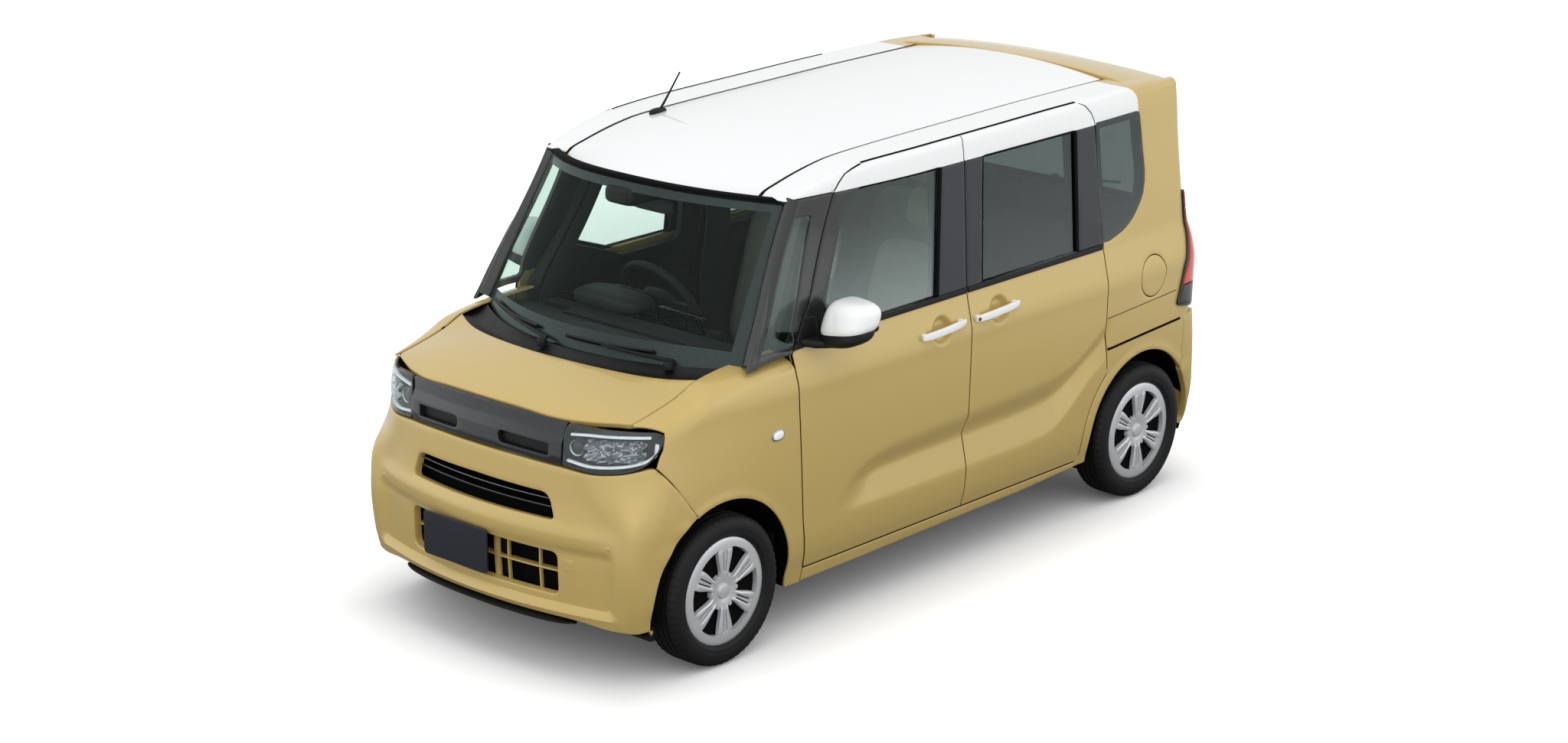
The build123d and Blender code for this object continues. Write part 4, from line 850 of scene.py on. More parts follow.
FINISHES = {
    "paint": TwoTonePaint(),
    "white": Plain("white_paint", "f1f2f3", 0.3, coat=1.0, relief=0.00005, mottle=0.02),
    "pillar": Plain("gloss_black_film", "0a0b0d", 0.2, coat=0.5, relief=0.00003, mottle=0.2),
    "film": Plain("satin_black_film", "1d2029", 0.30, relief=0.0001, mottle=0.1),
    "trim": Plain("black_trim", "0b0c0d", 0.5, grain=1400.0, relief=0.0003, shine=0.3),
    # Near black for the arch liners and the intake's backing, and painted shade in the wheel covers' windows and
    # slots.
    "shade": Plain("dark_void", "050505", 0.9, shine=0.1),
    "gunmetal": Plain("grille_gunmetal", "2b2d30", 0.26, metal=0.6, coat=0.6, relief=0.00005),
    "chrome": Plain("bright_metal", "d9dcdf", 0.12, metal=1.0, relief=0.00003, mottle=0.03),
    "reflector": Plain("lamp_reflector", "a2a7ac", 0.07, metal=1.0, relief=0.00003, mottle=0.25),
    "satin": Plain("satin_metal", "a9adb1", 0.3, metal=0.9, relief=0.00005),
    "cover": Plain("wheel_silver", "d2d5d9", 0.34, metal=0.45, coat=0.5, relief=0.00008, mottle=0.04),
    "rubber": Plain("tyre_rubber", "090a0b", 0.62, grain=500.0, relief=0.0006, mottle=0.2, shine=0.35),
    # Black rubber for the glass runs and mouldings, and painted shade as dark strips in the panel gaps.
    "seal_and_gap_shade": Plain("rubber_seal", "060607", 0.8, relief=0.0002, shine=0.1),
    "chassis": Plain("chassis_black", "101112", 0.62, grain=300.0, relief=0.0006, mottle=0.25),
    "cast": Plain("cast_metal", "7d7f80", 0.55, metal=0.7, grain=260.0, relief=0.0008, mottle=0.2),
    "steel": Plain("exhaust_steel", "8a8780", 0.42, metal=0.9, grain=200.0, relief=0.0004, mottle=0.25),
    "cabin": Plain("cabin_plastic", "25282b", 0.62, grain=240.0, relief=0.00006),
    "liner": Plain("headliner", "c9c6bd", 0.9, grain=500.0, relief=0.0005),
    "cloth": Cloth("seat_cloth", "8d8a82"),
    "clear": Pane("clear_glass", (0.885, 0.94, 0.915), 0.01, fade=0.12),
    "corner": Pane("corner_glass", (0.80, 0.88, 0.84), 0.01),
    "privacy": Pane("privacy_glass", (0.46, 0.50, 0.50), 0.02, fade=0.03),
    "screen": Pane("screen_glass", (0.88, 0.935, 0.91), mirror=0.16),
    "lens": Pane("lamp_lens", (0.97, 0.975, 0.98)),
    "red": Glow("tail_red", "c4140c", 0.25),
    "lit": Glow("light_guide", "dfe6ea", 0.35),
}


class Workshop:
    """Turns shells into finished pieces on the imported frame's bodies."""

    def __init__(self) -> None:
        """Builds every finish once."""
        self.finish = {key: finish.build() for key, finish in FINISHES.items()}

    def add(self, name: str, shell: Shell, finish: str, body: str, slot: str, replaces: Sequence[str] = (),
            sharp: float = SHARP_ANGLE, patch: tuple | None = None) -> bpy.types.Object:
        """Makes a piece.

        Args:
            name: the piece's name.
            shell: its vertices and faces.
            finish: key of its finish.
            body: the CAD body it rides on.
            slot: the record's material slot; not used.
            replaces: CAD nodes that it stands for.
            sharp: angle in degrees past which an edge is shaded sharp.
            patch: a second finish's key and the faces that take it.

        Returns:
            The piece's object.
        """
        mesh = bpy.data.meshes.new(name)
        counts = np.concatenate([np.full(len(f), f.shape[1]) for f in shell.faces])
        corners = np.concatenate([f.ravel() for f in shell.faces]).astype(np.int32)
        mesh.vertices.add(len(shell.points))
        mesh.vertices.foreach_set("co", shell.points.astype(np.float32).ravel())
        mesh.loops.add(len(corners))
        mesh.loops.foreach_set("vertex_index", corners)
        mesh.polygons.add(len(counts))
        mesh.polygons.foreach_set("loop_start", np.concatenate([[0], np.cumsum(counts)[:-1]]).astype(np.int32))
        mesh.update(calc_edges=True)
        mesh.validate()
        mesh.shade_smooth()
        mesh.set_sharp_from_angle(angle=math.radians(sharp))
        mesh.materials.append(self.finish[finish])
        if patch:
            mesh.materials.append(self.finish[patch[0]])
            chosen = np.zeros(len(mesh.polygons), np.int32)
            chosen[:len(patch[1])] = patch[1]
            mesh.polygons.foreach_set("material_index", chosen)
        piece = bpy.data.objects.new(name, mesh)
        bpy.context.scene.collection.objects.link(piece)
        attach(piece, body)
        if replaces:
            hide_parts(*replaces)
        log.info("%s: %d faces on %s", name, len(counts), body)
        return piece

    def side(self, hand: Hand, name: str, shell: Shell, finish: str, body: str, slot: str,
             replaces: Sequence[str] = (), sharp: float = SHARP_ANGLE) -> bpy.types.Object:
        """Makes one side's piece as add does, from a shell made for the left, and ends its name in the side."""
        return self.add(f"{name}_{hand.word}", shell.mirrored(hand), finish, body, slot, replaces, sharp)

    def dress(self, node: str, finish: str) -> None:
        """Gives a CAD node that stays one of the finishes."""
        piece = frame["nodes"][node]
        piece.data.materials.clear()
        piece.data.materials.append(self.finish[finish])
        log.info("%s keeps its solid", node)


# ------------------------------------------------------------------ the body's outer surface

FRONT_AXLE = 1.150
REAR_AXLE = -1.310
AXLE_Z = 0.2785
WHEEL_Y = 0.650
FRONT_HUB = (FRONT_AXLE, AXLE_Z)
REAR_HUB = (REAR_AXLE, AXLE_Z)
ARCH_RADIUS = 0.340
SLIDER_ARCH = 0.388
DITCH_Y = 0.490
GAP = 0.0045
DOOR_FOOT_Z = 0.245
DOOR_GLASS_TOP_Z = 1.5985
DISH_RADIUS = 0.085
BONNET_HALF = 0.600
PLATE = (0.330, 0.165)
SCREEN_FOOT_Z = 1.047
SCREEN_TOP_Z = 1.62
SCREEN_FOOT_HALF = 0.658
SCREEN_TOP_HALF = 0.600
SCREEN_FOOT_X = 1.235
SCREEN_TOP_X = 0.930
WHITE_LINE = 1.602
BELT = 1.104
BOTH = (Hand.LEFT, Hand.RIGHT)


def bezier(t: Array, a: Array, b: Array, c: Array, d: Array) -> Array:
    """Cubic from a to d that leaves towards b and arrives from c."""
    return (1 - t) ** 3 * a + 3 * t * (1 - t) ** 2 * b + 3 * t ** 2 * (1 - t) * c + t ** 3 * d


def at_point(function: Surface, u: float, v: float) -> Array:
    """What a surface or a height gives at one place."""
    return function(np.array([u]), np.array([v]))[0]


def band(x: Array, low: float, high: float, soft: float) -> Array:
    """1 between two limits, easing to 0 outside them."""
    return ease(x, low - soft, low + soft) * (1 - ease(x, high - soft, high + soft))


@dataclass(frozen=True)
class BodyShape:
    """The left half of the car's skin as functions of place."""

    section: tuple = ((0.185, 0.688), (0.240, 0.698), (0.310, 0.715), (0.377, 0.7225), (0.440, 0.7245),
                      (0.550, 0.728), (0.650, 0.731), (0.800, 0.7345), (0.900, 0.7364), (0.935, 0.7378),
                      (0.952, 0.7374), (0.966, 0.7354), (0.985, 0.7316), (1.010, 0.7262), (1.035, 0.7206),
                      (1.060, 0.7150), (1.085, 0.7095), (1.110, 0.705), (1.280, 0.697), (1.454, 0.689),
                      (1.600, 0.6825), (1.650, 0.677), (1.700, 0.668))
    low_taper: tuple = ((-1.7, 0.012), (-1.3, 0.004), (-0.9, 0), (0.4, 0), (0.8, 0.003), (1.1, 0.006), (1.3, 0.012),
                        (1.455, 0.018), (1.6, 0.05))
    high_taper: tuple = ((-1.7, 0.012), (-1.3, 0.004), (-0.9, 0), (0.4, 0), (0.8, 0.003), (1.0, 0.010), (1.1, 0.016),
                         (1.2, 0.024), (1.33, 0.037), (1.42, 0.053), (1.5, 0.085), (1.6, 0.150))
    top_taper: tuple = ((-1.7, 0.030), (-1.3, 0.010), (-0.9, 0), (0, 0.004), (0.4, 0.030), (0.7, 0.068), (1.0, 0.110),
                        (1.2, 0.140))
    rail: tuple = ((-1.60, 1.688), (-1.47, 1.697), (-1.29, 1.702), (-0.80, 1.701), (-0.42, 1.696), (0, 1.690),
                   (0.28, 1.683), (0.37, 1.678), (0.45, 1.668), (0.55, 1.650), (0.65, 1.627), (0.70, 1.614),
                   (0.735, 1.592), (0.80, 1.560), (0.96, 1.470))
    ridge: tuple = ((-1.66, 1.680), (-1.46, 1.722), (-1.29, 1.740), (-0.8, 1.7545), (-0.3, 1.7535), (0.28, 1.738),
                    (0.55, 1.712), (0.735, 1.678), (0.85, 1.648), (0.93, 1.620), (1.0, 1.590))
    tail: tuple = ((0.60, -1.668), (0.69, -1.670), (0.86, -1.675), (0.96, -1.677), (1.04, -1.668), (1.10, -1.644),
                   (1.40, -1.604), (1.62, -1.590), (1.70, -1.585))
    crease: tuple = ((-1.10, 0.86), (-1.06, 0.80), (-0.94, 0.705), (-0.84, 0.650), (-0.70, 0.618), (-0.50, 0.608),
                     (-0.18, 0.600), (0.19, 0.592), (0.47, 0.566), (0.62, 0.55))
    ledge: tuple = ((-1.10, 0.70), (-1.06, 0.650), (-0.94, 0.580), (-0.845, 0.505), (-0.77, 0.450), (-0.70, 0.422),
                    (-0.60, 0.409), (-0.46, 0.406), (0, 0.406), (0.60, 0.412))
    shoulder_foot: tuple = ((0.70, 1.02), (0.80, 1.015), (1.00, 0.995), (1.20, 0.955), (1.33, 0.905), (1.50, 0.84))
    handles: tuple = ((-0.020, 0.988), (-0.362, 0.996))
    roll_x: float = -1.565
    roll_length: float = 0.150
    rail_drop: float = 0.018
    rail_roll: float = 0.030
    rail_inward: float = 0.020
    tail_edge_y: float = 0.606

    def side_y(self, x: Array, z: Array) -> Array:
        """Half width: the middle section less its taper, with the scoop, arch lips and handle dishes."""
        low, high, top = (smooth(x, t) for t in (self.low_taper, self.high_taper, self.top_taper))
        taper = low + (high - low) * ease(z, 0.55, 0.95) + (top - high) * ease(z, 1.1, 1.6)
        crease, ledge = smooth(x, self.crease), smooth(x, self.ledge)
        climb = (z - ledge) / (crease - ledge)
        depth = np.clip(climb / 0.66, 0, 1) * (1 - ease(climb, 0.62, 1.16))
        start = 0.600 - 0.81 * (z - 0.414) - x
        fading = (1 - 0.6 * ease(-x, 0.85, 1.04)) * (1 - ease(-x, 1.015, 1.10))
        scoop = 0.031 * depth * ease(start, -0.01, 0.19) * fading
        lip = sum(0.004 * hill(np.hypot(x - axle, z - AXLE_Z), ARCH_RADIUS + 0.006, 0.030)
                  for axle in (FRONT_AXLE, REAR_AXLE))
        dish = sum(0.020 * ease(1 - np.hypot(x - hx, (z - hz) * 1.05) / 0.062, 0, 0.42) for hx, hz in self.handles)
        return smooth(z, self.section) - taper - scoop + lip - dish

    def rail_z(self, x: Array) -> Array:
        """Height of the roof's edge."""
        return smooth(x, self.rail)

    def tail_x(self, y: Array, z: Array) -> Array:
        """Rear face, bowed in plan."""
        return smooth(z, self.tail) + 0.012 * (np.abs(y) / 0.6) ** 2.4

    def side(self, w: Array, v: Array) -> Array:
        """Side panel: v climbs the side and then runs inboard over the rail, w runs aft and round the corner."""
        x = np.maximum(w, self.roll_x)
        rail = self.rail_z(x)
        start = rail - self.rail_drop
        z = np.minimum(v, start)
        y = self.side_y(x, z)
        over = np.maximum(v - start, 0)
        t = np.clip(over / self.rail_roll, 0, 1) * np.pi / 2
        past = np.maximum(over - self.rail_roll, 0)
        y = y - self.rail_inward * (1 - np.cos(t)) - past
        z = z + self.rail_drop * np.sin(t) + 0.03 * past
        round_t = np.clip((self.roll_x - w) / self.roll_length, 0, 1)
        end_x, end_y = self.tail_x(np.full_like(z, self.tail_edge_y), z), self.tail_edge_y
        run = np.abs(end_x - self.roll_x)
        h0, h1 = run * 0.95, (y - end_y) * 0.80
        cx = bezier(round_t, self.roll_x, self.roll_x - h0, end_x - 0.004, end_x)
        cy = bezier(round_t, y, y - 0.004, end_y + h1, end_y)
        beyond = round_t > 0
        return np.stack([np.where(beyond, cx, x), np.where(beyond, cy, y), z], axis=1)

    def plain_side(self, x: Array, z: Array) -> Array:
        """Side surface by x and height, with no rolls."""
        return np.stack([x, self.side_y(x, z), z], axis=1)

    def roof(self, x: Array, y: Array) -> Array:
        """Roof: a parabola across between the ridge and the edge at the ditch."""
        edge, top = self.rail_z(x), smooth(x, self.ridge)
        half = np.where(x < -1.30, 0.60, DITCH_Y + np.zeros_like(x))
        return np.stack([x, y, edge + (top - edge) * (1 - np.minimum(np.abs(y) / half, 1.2) ** 2)], axis=1)

    def bonnet(self, x: Array, y: Array) -> Array:
        """Bonnet: a parabola across between its middle and side heights."""
        middle = smooth(x, ((1.14, 1.081), (1.30, 1.064), (1.345, 1.057), (1.45, 1.033), (1.55, 1.003), (1.60, 0.985),
                            (1.64, 0.966), (1.66, 0.950), (1.70, 0.915)))
        side = smooth(x, ((1.14, 1.058), (1.1735, 1.046), (1.28, 1.004), (1.43, 0.968), (1.491, 0.955),
                          (1.583, 0.908), (1.66, 0.855)))
        return np.stack([x, y, middle - (middle - side) * (np.abs(y) / BONNET_HALF) ** 2.1], axis=1)

    def screen(self, y: Array, z: Array) -> Array:
        """Windscreen: a raked line, slightly full, bowed back towards its sides."""
        t = (z - SCREEN_FOOT_Z) / (SCREEN_TOP_Z - SCREEN_FOOT_Z)
        half = SCREEN_FOOT_HALF + (SCREEN_TOP_HALF - SCREEN_FOOT_HALF) * t
        middle = SCREEN_FOOT_X + (SCREEN_TOP_X - SCREEN_FOOT_X) * t + 0.020 * t * (1 - t)
        return np.stack([middle - (0.2395 + 0.0135 * t) * (np.abs(y) / half) ** 2.25, y, z], axis=1)

    def shoulder(self, x: Array, v: Array) -> Array:
        """Front fender: up the side by height, then over the shoulder to the bonnet's edge."""
        top = smooth(x, ((0.70, 1.075), (0.80, 1.073), (1.00, 1.066), (1.1735, 1.047), (1.28, 1.006), (1.43, 0.970),
                         (1.50, 0.957)))
        start = smooth(x, self.shoulder_foot)
        z = np.minimum(v, start)
        y = self.side_y(x, z)
        inner = BONNET_HALF + GAP
        run = y - inner
        length = np.hypot(run, top - start) * 1.08
        t = np.clip((v - start) / length, 0, 1)
        slope = (self.side_y(x, start) - self.side_y(x, start - 0.01)) / 0.01
        rise = top - start
        over_y = bezier(t, y, y + slope * rise * 0.62, inner + run * 0.52, inner)
        over_z = bezier(t, start, start + rise * 0.66, top - run * 0.10, top)
        return np.stack([x, np.where(t > 0, over_y, y), np.where(t > 0, over_z, z)], axis=1)

    def shoulder_end(self, x: Array) -> Array:
        """Value of v at the fender's inner edge."""
        top = self.shoulder(x, np.full_like(x, 9.0))[:, 2]
        start = smooth(x, self.shoulder_foot)
        return start + np.hypot(self.side_y(x, start) - (BONNET_HALF + GAP), top - start) * 1.08


@dataclass(frozen=True)
class Wrap:
    """Band round one end of the car, by the way along it from the middle and by height."""

    shape: BodyShape
    levels: tuple           # height, middle x, bow, corner support, corner y, y before the corner, x after it
    side_xs: tuple
    reach: float = 1.25
    way: int = 1
    support_angle: float = 48.1

    def knots(self, z: Array) -> Array:
        """Points in plan that the band's line passes at each height, from the middle to the side."""
        middle, bow, support, corner_y, before_y, after_x = (smooth(z, self.levels, c) for c in range(1, 7))
        a = math.radians(self.support_angle)
        corner_x = (support - math.sin(a) * corner_y) / math.cos(a)
        ys = [np.zeros_like(z)] + [before_y * f for f in (0.28, 0.56, 0.80, 1.0)]
        rows = [(middle - bow * y * y, y) for y in ys] + [(corner_x, corner_y)]
        for step in self.side_xs:
            x = after_x - step
            rows.append((x, self.shape.side_y(self.way * x, z)))
        return np.stack([np.stack(r, axis=1) for r in rows], axis=1)

    def plan(self, s: Array, z: Array) -> Array:
        """Point in plan at a distance along the band: a cubic through the knots."""
        points = self.knots(z)
        gaps = np.linalg.norm(np.diff(points, axis=1), axis=2)
        at = np.concatenate([np.zeros((len(z), 1)), np.cumsum(gaps, axis=1)], axis=1)
        slope = np.diff(points, axis=1) / gaps[:, :, None]
        tangent = np.empty_like(points)
        w = gaps[:, 1:, None] / (gaps[:, :-1, None] + gaps[:, 1:, None])
        tangent[:, 1:-1] = slope[:, :-1] * w + slope[:, 1:] * (1 - w)
        tangent[:, 0], tangent[:, -1] = (0, 1), slope[:, -1]
        q = np.clip(np.abs(s), 0, at[:, -1] - 1e-6)
        i = np.clip(np.sum(at <= q[:, None], axis=1) - 1, 0, gaps.shape[1] - 1)
        row = np.arange(len(z))
        g = gaps[row, i][:, None]
        t = ((q - at[row, i]) / gaps[row, i])[:, None]
        return hermite(t, g, points[row, i], points[row, i + 1], tangent[row, i], tangent[row, i + 1])

    def surface(self, s: Array, z: Array) -> Array:
        """Point in space, both sides: negative distances are on the right."""
        plan = self.plan(s, z)
        return np.stack([self.way * plan[:, 0], plan[:, 1] * np.where(s < 0, -1, 1), z], axis=1)

    def along(self, corners: Sequence[Sequence]) -> list[tuple]:
        """Outline rows ("x" or "y", value, height, rounding) as (distance, height, rounding)."""
        rows = []
        s = np.linspace(0, self.reach, 600)
        for axis, value, z, *rounding in corners:
            plan = self.plan(s, np.full_like(s, z))
            if axis == "y":
                place = math.copysign(np.interp(abs(value), plan[:, 1], s), value)
            else:
                order = np.argsort(plan[:, 0])
                place = np.interp(value, plan[order, 0], s[order])
            rows.append((float(place), z, *(rounding or [0.0])))
        return rows


@dataclass(frozen=True)
class Nose(Wrap):
    """Front band, with the pressed fields of the bumper."""

    def surface(self, s: Array, z: Array) -> Array:
        """The band less its pressed fields, along the direction from the cabin."""
        base = super().surface(s, z)
        tray = 0.020 * ease(z, 0.262, 0.290) * (1 - ease(z, 0.478, 0.510)) * (1 - ease(np.abs(s), 0.588, 0.622))
        tray -= 0.005 * hill(z, 0.262, 0.022) * (1 - ease(np.abs(s), 0.60, 0.66))
        shelf = -0.009 * hill(z, 0.548, 0.045) * (1 - ease(np.abs(s), 0.50, 0.66))
        depth = tray + shelf
        away = base[:, :2] - np.array([1.0, 0.0])
        away /= np.linalg.norm(away, axis=1, keepdims=True)
        base[:, :2] -= away * depth[:, None]
        return base


SHAPE = BodyShape()
NOSE = Nose(SHAPE, (
    (0.170, 1.664, 0.25, 1.508, 0.660, 0.590, 1.48), (0.205, 1.678, 0.26, 1.522, 0.665, 0.600, 1.49),
    (0.300, 1.690, 0.27, 1.545, 0.672, 0.600, 1.50), (0.440, 1.6975, 0.284, 1.556, 0.676, 0.600, 1.50),
    (0.570, 1.682, 0.28, 1.550, 0.674, 0.600, 1.50), (0.620, 1.675, 0.276, 1.538, 0.670, 0.588, 1.493),
    (0.660, 1.6705, 0.272, 1.519, 0.664, 0.570, 1.477), (0.720, 1.667, 0.268, 1.492, 0.654, 0.530, 1.446),
    (0.790, 1.664, 0.264, 1.474, 0.650, 0.50, 1.42), (0.912, 1.652, 0.262, 1.462, 0.648, 0.50, 1.40),
    (0.965, 1.640, 0.262, 1.440, 0.638, 0.50, 1.39)),
    (0.0, 0.07, 0.15, 0.25, 0.36, 0.50, 0.66))
TAIL = Wrap(SHAPE, (
    (0.205, 1.660, 0.06, 1.600, 0.690, 0.56, 1.58), (0.28, 1.686, 0.05, 1.630, 0.700, 0.58, 1.59),
    (0.43, 1.6955, 0.05, 1.648, 0.712, 0.59, 1.60), (0.56, 1.692, 0.05, 1.647, 0.712, 0.59, 1.60),
    (0.70, 1.682, 0.05, 1.640, 0.712, 0.59, 1.60), (0.75, 1.678, 0.05, 1.636, 0.710, 0.59, 1.60)),
    (0.0, 0.08, 0.18, 0.30), way=-1)


# ------------------------------------------------------------------ sub-assemblies


def seam(surface: Surface, line: Array, half: float = 0.0026, sunk: float = 0.0026,
         outward: Sequence[float] = (0, 1, 0)) -> Shell:
    """Dark strip that lies a little below a surface along a line in its parameters, where two panels meet: painted
    shade in their gap. The glass runs and the slide rail are made with it too.
    """
    step = np.linalg.norm(np.diff(line, axis=0), axis=1)
    at = np.concatenate([[0], np.cumsum(step)])
    t = np.arange(0, at[-1], 0.010)
    uv = np.stack([np.interp(t, at, line[:, 0]), np.interp(t, at, line[:, 1])], axis=1)
    profile = np.array([(-half, -0.006), (half, -0.006), (half, 0.0), (-half, 0.0)]) - (0, sunk)
    return swept(surface(uv[:, 0], uv[:, 1]), profile, up=outward)


@dataclass
class FrontEnd:
    """Bumper, grille, lamps, bonnet and front fenders."""

    shop: Workshop
    lamp_inner_y: float = 0.388
    sensor_z: float = 0.523
    slot: tuple = (0.590, 0.688, 0.352)
    intake: tuple = (0.312, 0.474, 0.382)

    def build(self) -> None:
        """Makes every piece ahead of the screen."""
        self.bumper()
        self.openings()
        self.grille()
        self.bonnet()
        for hand in BOTH:
            self.shut_lines(hand)
            self.fender(hand)
            self.lamp(hand)
            self.marker(hand)

    def half_outline(self, rows: Sequence[Sequence]) -> list:
        """Left half of an outline followed by its mirror image."""
        left = NOSE.along(rows)
        return left + [(-s, z, r) for s, z, r in reversed(left)]

    def bumper(self) -> None:
        """Front bumper skin with its slot and intake."""
        arch = arc(FRONT_HUB, ARCH_RADIUS, 66.6, -13, 30)
        rows = [("y", 0.0, 0.792, 0), ("y", 0.20, 0.790, 0), ("y", 0.386, 0.7825, 0.02), ("y", 0.50, 0.7745, 0.05),
                ("y", 0.60, 0.7825, 0.05), ("x", 1.466, 0.802, 0.02), ("x", 1.452, 0.800, 0),
                ("x", 1.404, 0.742, 0.03)]
        rows += [("x", x, z, 0) for x, z in arch]
        rows += [("x", 1.478, 0.212, 0.03), ("y", 0.600, 0.218, 0.05), ("y", 0.45, 0.236, 0.05), ("y", 0.0, 0.240, 0)]
        top, foot, half = self.slot[1], self.slot[0], self.slot[2]
        slot = self.half_outline([("y", 0.0, top, 0), ("y", half - 0.02, top - 0.006, 0.035),
                                  ("y", half + 0.01, foot, 0.02), ("y", 0.0, foot, 0)])
        low, high, wide = self.intake
        intake = self.half_outline([("y", 0.0, high, 0), ("y", wide, high - 0.004, 0.03), ("y", wide, low, 0.03),
                                    ("y", 0.0, low, 0)])
        shell = trimmed(NOSE.surface, outline(self.half_outline(rows)), [outline(slot), outline(intake)],
                        step=0.014, roll=0.005, thick=0.030, outward=(1, 0, 0))
        self.shop.add("front_bumper_skin", shell, "paint", "body", "body_paint", ["front_bumper"])
        ends = np.linspace(-0.43, 0.43, 50)
        path = NOSE.surface(ends, np.full_like(ends, 0.236)) - (0.034, 0, 0)
        path[:, 2] -= 0.014
        profile = outline([(-0.012, 0.014), (0.014, 0.013, 0.004), (0.006, -0.024, 0.006), (-0.004, -0.027, 0.006),
                           (-0.05, 0.0)])
        lip = swept(path, profile * (-1, 1), scale=1 - 0.55 * np.abs(ends / 0.43) ** 8)
        for side in (-1, 1):
            lip = lip.joined(pillow((0.014, 0.110, 0.055), (1.460, side * 0.610, 0.190), (0.2, 0.3), (32, 12)))
        self.shop.add("front_lip", lip, "trim", "body", "black_trim")

    def openings(self) -> None:
        """Dark backing, slats of the slot, bars of the intake, blank plate, tow cover and sensors."""
        s = np.linspace(-0.40, 0.40, 50)
        z = np.linspace(0.285, 0.705, 14)
        ss, zz = grid(s, z)
        backing = slab(NOSE.surface(ss, zz) - (0.062, 0, 0), len(s), len(z), (-0.012, 0, 0))
        self.shop.add("intake_backing", backing, "shade", "body", "black_trim", ["lower_grille"])
        bars = merged([self.bar(0.6235, 0.350, 0.040, 0.004, 0.024), self.bar(0.654, 0.346, 0.040, 0.004, 0.020)])
        self.shop.add("slot_slats", bars, "trim", "body", "black_trim")
        light = merged([self.bar(0.6565, 0.344, 0.005, 0.0020, 0.018), self.bar(0.6265, 0.348, 0.004, 0.0012, 0.024)])
        self.shop.add("slot_bright_strip", light, "satin", "body", "wheel_silver")
        posts = [self.post(y, 0.306, 0.480, half)
                 for y, half in ((-0.27, 0.0036), (0.1317, 0.0036), (0.2794, 0.0036), (0.0740, 0.012))]
        frame = merged([self.bar(0.392, 0.384, 0.030, 0.0065), *posts])
        self.shop.add("intake_bars", frame, "paint", "body", "body_paint")
        fins = merged([self.post(y, 0.300, 0.486, 0.0025, 0.052) for y in (-0.31, 0.094, 0.104, 0.114)])
        self.shop.add("intake_fins", fins, "trim", "body", "black_trim")
        plate = pillow((0.008, *PLATE), (1.6925, -0.090, 0.412), (0.12, 0.12), (64, 16))
        self.shop.add("front_plate_blank", plate, "film", "body", "gloss_black")
        cover = outline(NOSE.along([("y", 0.405, 0.408, 0.006), ("y", 0.452, 0.406, 0.006),
                                    ("y", 0.452, 0.452, 0.006), ("y", 0.405, 0.454, 0.006)]))
        cover = trimmed(NOSE.surface, cover, step=0.01, roll=0.002, thick=0.004, outward=(1, 0, 0), lift=0.0012)
        self.shop.add("tow_eye_cover", cover, "paint", "body", "body_paint")
        for hand in BOTH:
            along = NOSE.along([("y", hand.value * 0.575, self.sensor_z)])[0][0]
            spot = at_point(NOSE.surface, along, self.sensor_z) - (0.002, 0, 0)
            dot = pillow((0.010, 0.018, 0.018), spot, (1, 1), (20, 8))
            self.shop.add(f"parking_sensor_{hand.word}", dot, "paint", "body", "body_paint")

    def bar(self, z: float, half: float, depth: float, tall: float, sunk: float = 0.026) -> Shell:
        """Bar across an opening at a height."""
        s = np.linspace(-half - 0.01, half + 0.01, 40)
        path = NOSE.surface(s, np.full_like(s, z)) - (sunk + depth / 2, 0, 0)
        return swept(path, rounded_box(depth / 2, tall / 2, 0.002))

    def post(self, y: float, low: float, high: float, half: float, sunk: float = 0.036) -> Shell:
        """Upright bar of an opening."""
        z = np.linspace(low, high, 8)
        s = np.full_like(z, NOSE.along([("y", y, 0.39)])[0][0])
        path = NOSE.surface(s, z) - (sunk, 0, 0)
        return swept(path, rounded_box(half, 0.007, 0.002), up=(1, 0, 0))

    def grille(self) -> None:
        """Dark metal panel between the lamps, with two slots and a raised lower rib."""
        y = self.lamp_inner_y - 0.003
        rows = [("y", 0.0, 0.961, 0), ("y", 0.20, 0.956, 0), ("y", y + 0.010, 0.942, 0.01), ("y", y, 0.900, 0.02),
                ("y", y, 0.790, 0.01), ("y", 0.20, 0.7975, 0), ("y", 0.0, 0.7995, 0)]
        corners = ((0.105, 0.868, 0.022), (0.330, 0.858, 0.006), (0.330, 0.818, 0.006), (0.105, 0.826, 0.022))
        slots = [outline(NOSE.along([("y", side * y_slot, z, r) for y_slot, z, r in corners])) for side in (1, -1)]
        shell = trimmed(self.grille_face, outline(self.half_outline(rows)), slots, step=0.012, roll=0.004,
                        thick=0.028, outward=(1, 0, 0), lift=-0.003)
        self.shop.add("grille_panel", shell, "gunmetal", "body", "gloss_black", ["upper_grille"])
        insets = merged([trimmed(NOSE.surface, ring, step=0.012, roll=0.002, thick=0.006, outward=(1, 0, 0),
                                 lift=-0.018) for ring in slots])
        self.shop.add("grille_slot_mesh", insets, "trim", "body", "black_trim")

    def grille_face(self, s: Array, z: Array) -> Array:
        """The nose with a long rib pressed proud across the lower half of the grille."""
        base = NOSE.surface(s, z)
        proud = 0.006 * band(z, 0.806, 0.880, 0.008) - 0.004 * band(z, 0.895, 0.940, 0.01)
        base[:, 0] += proud
        return base

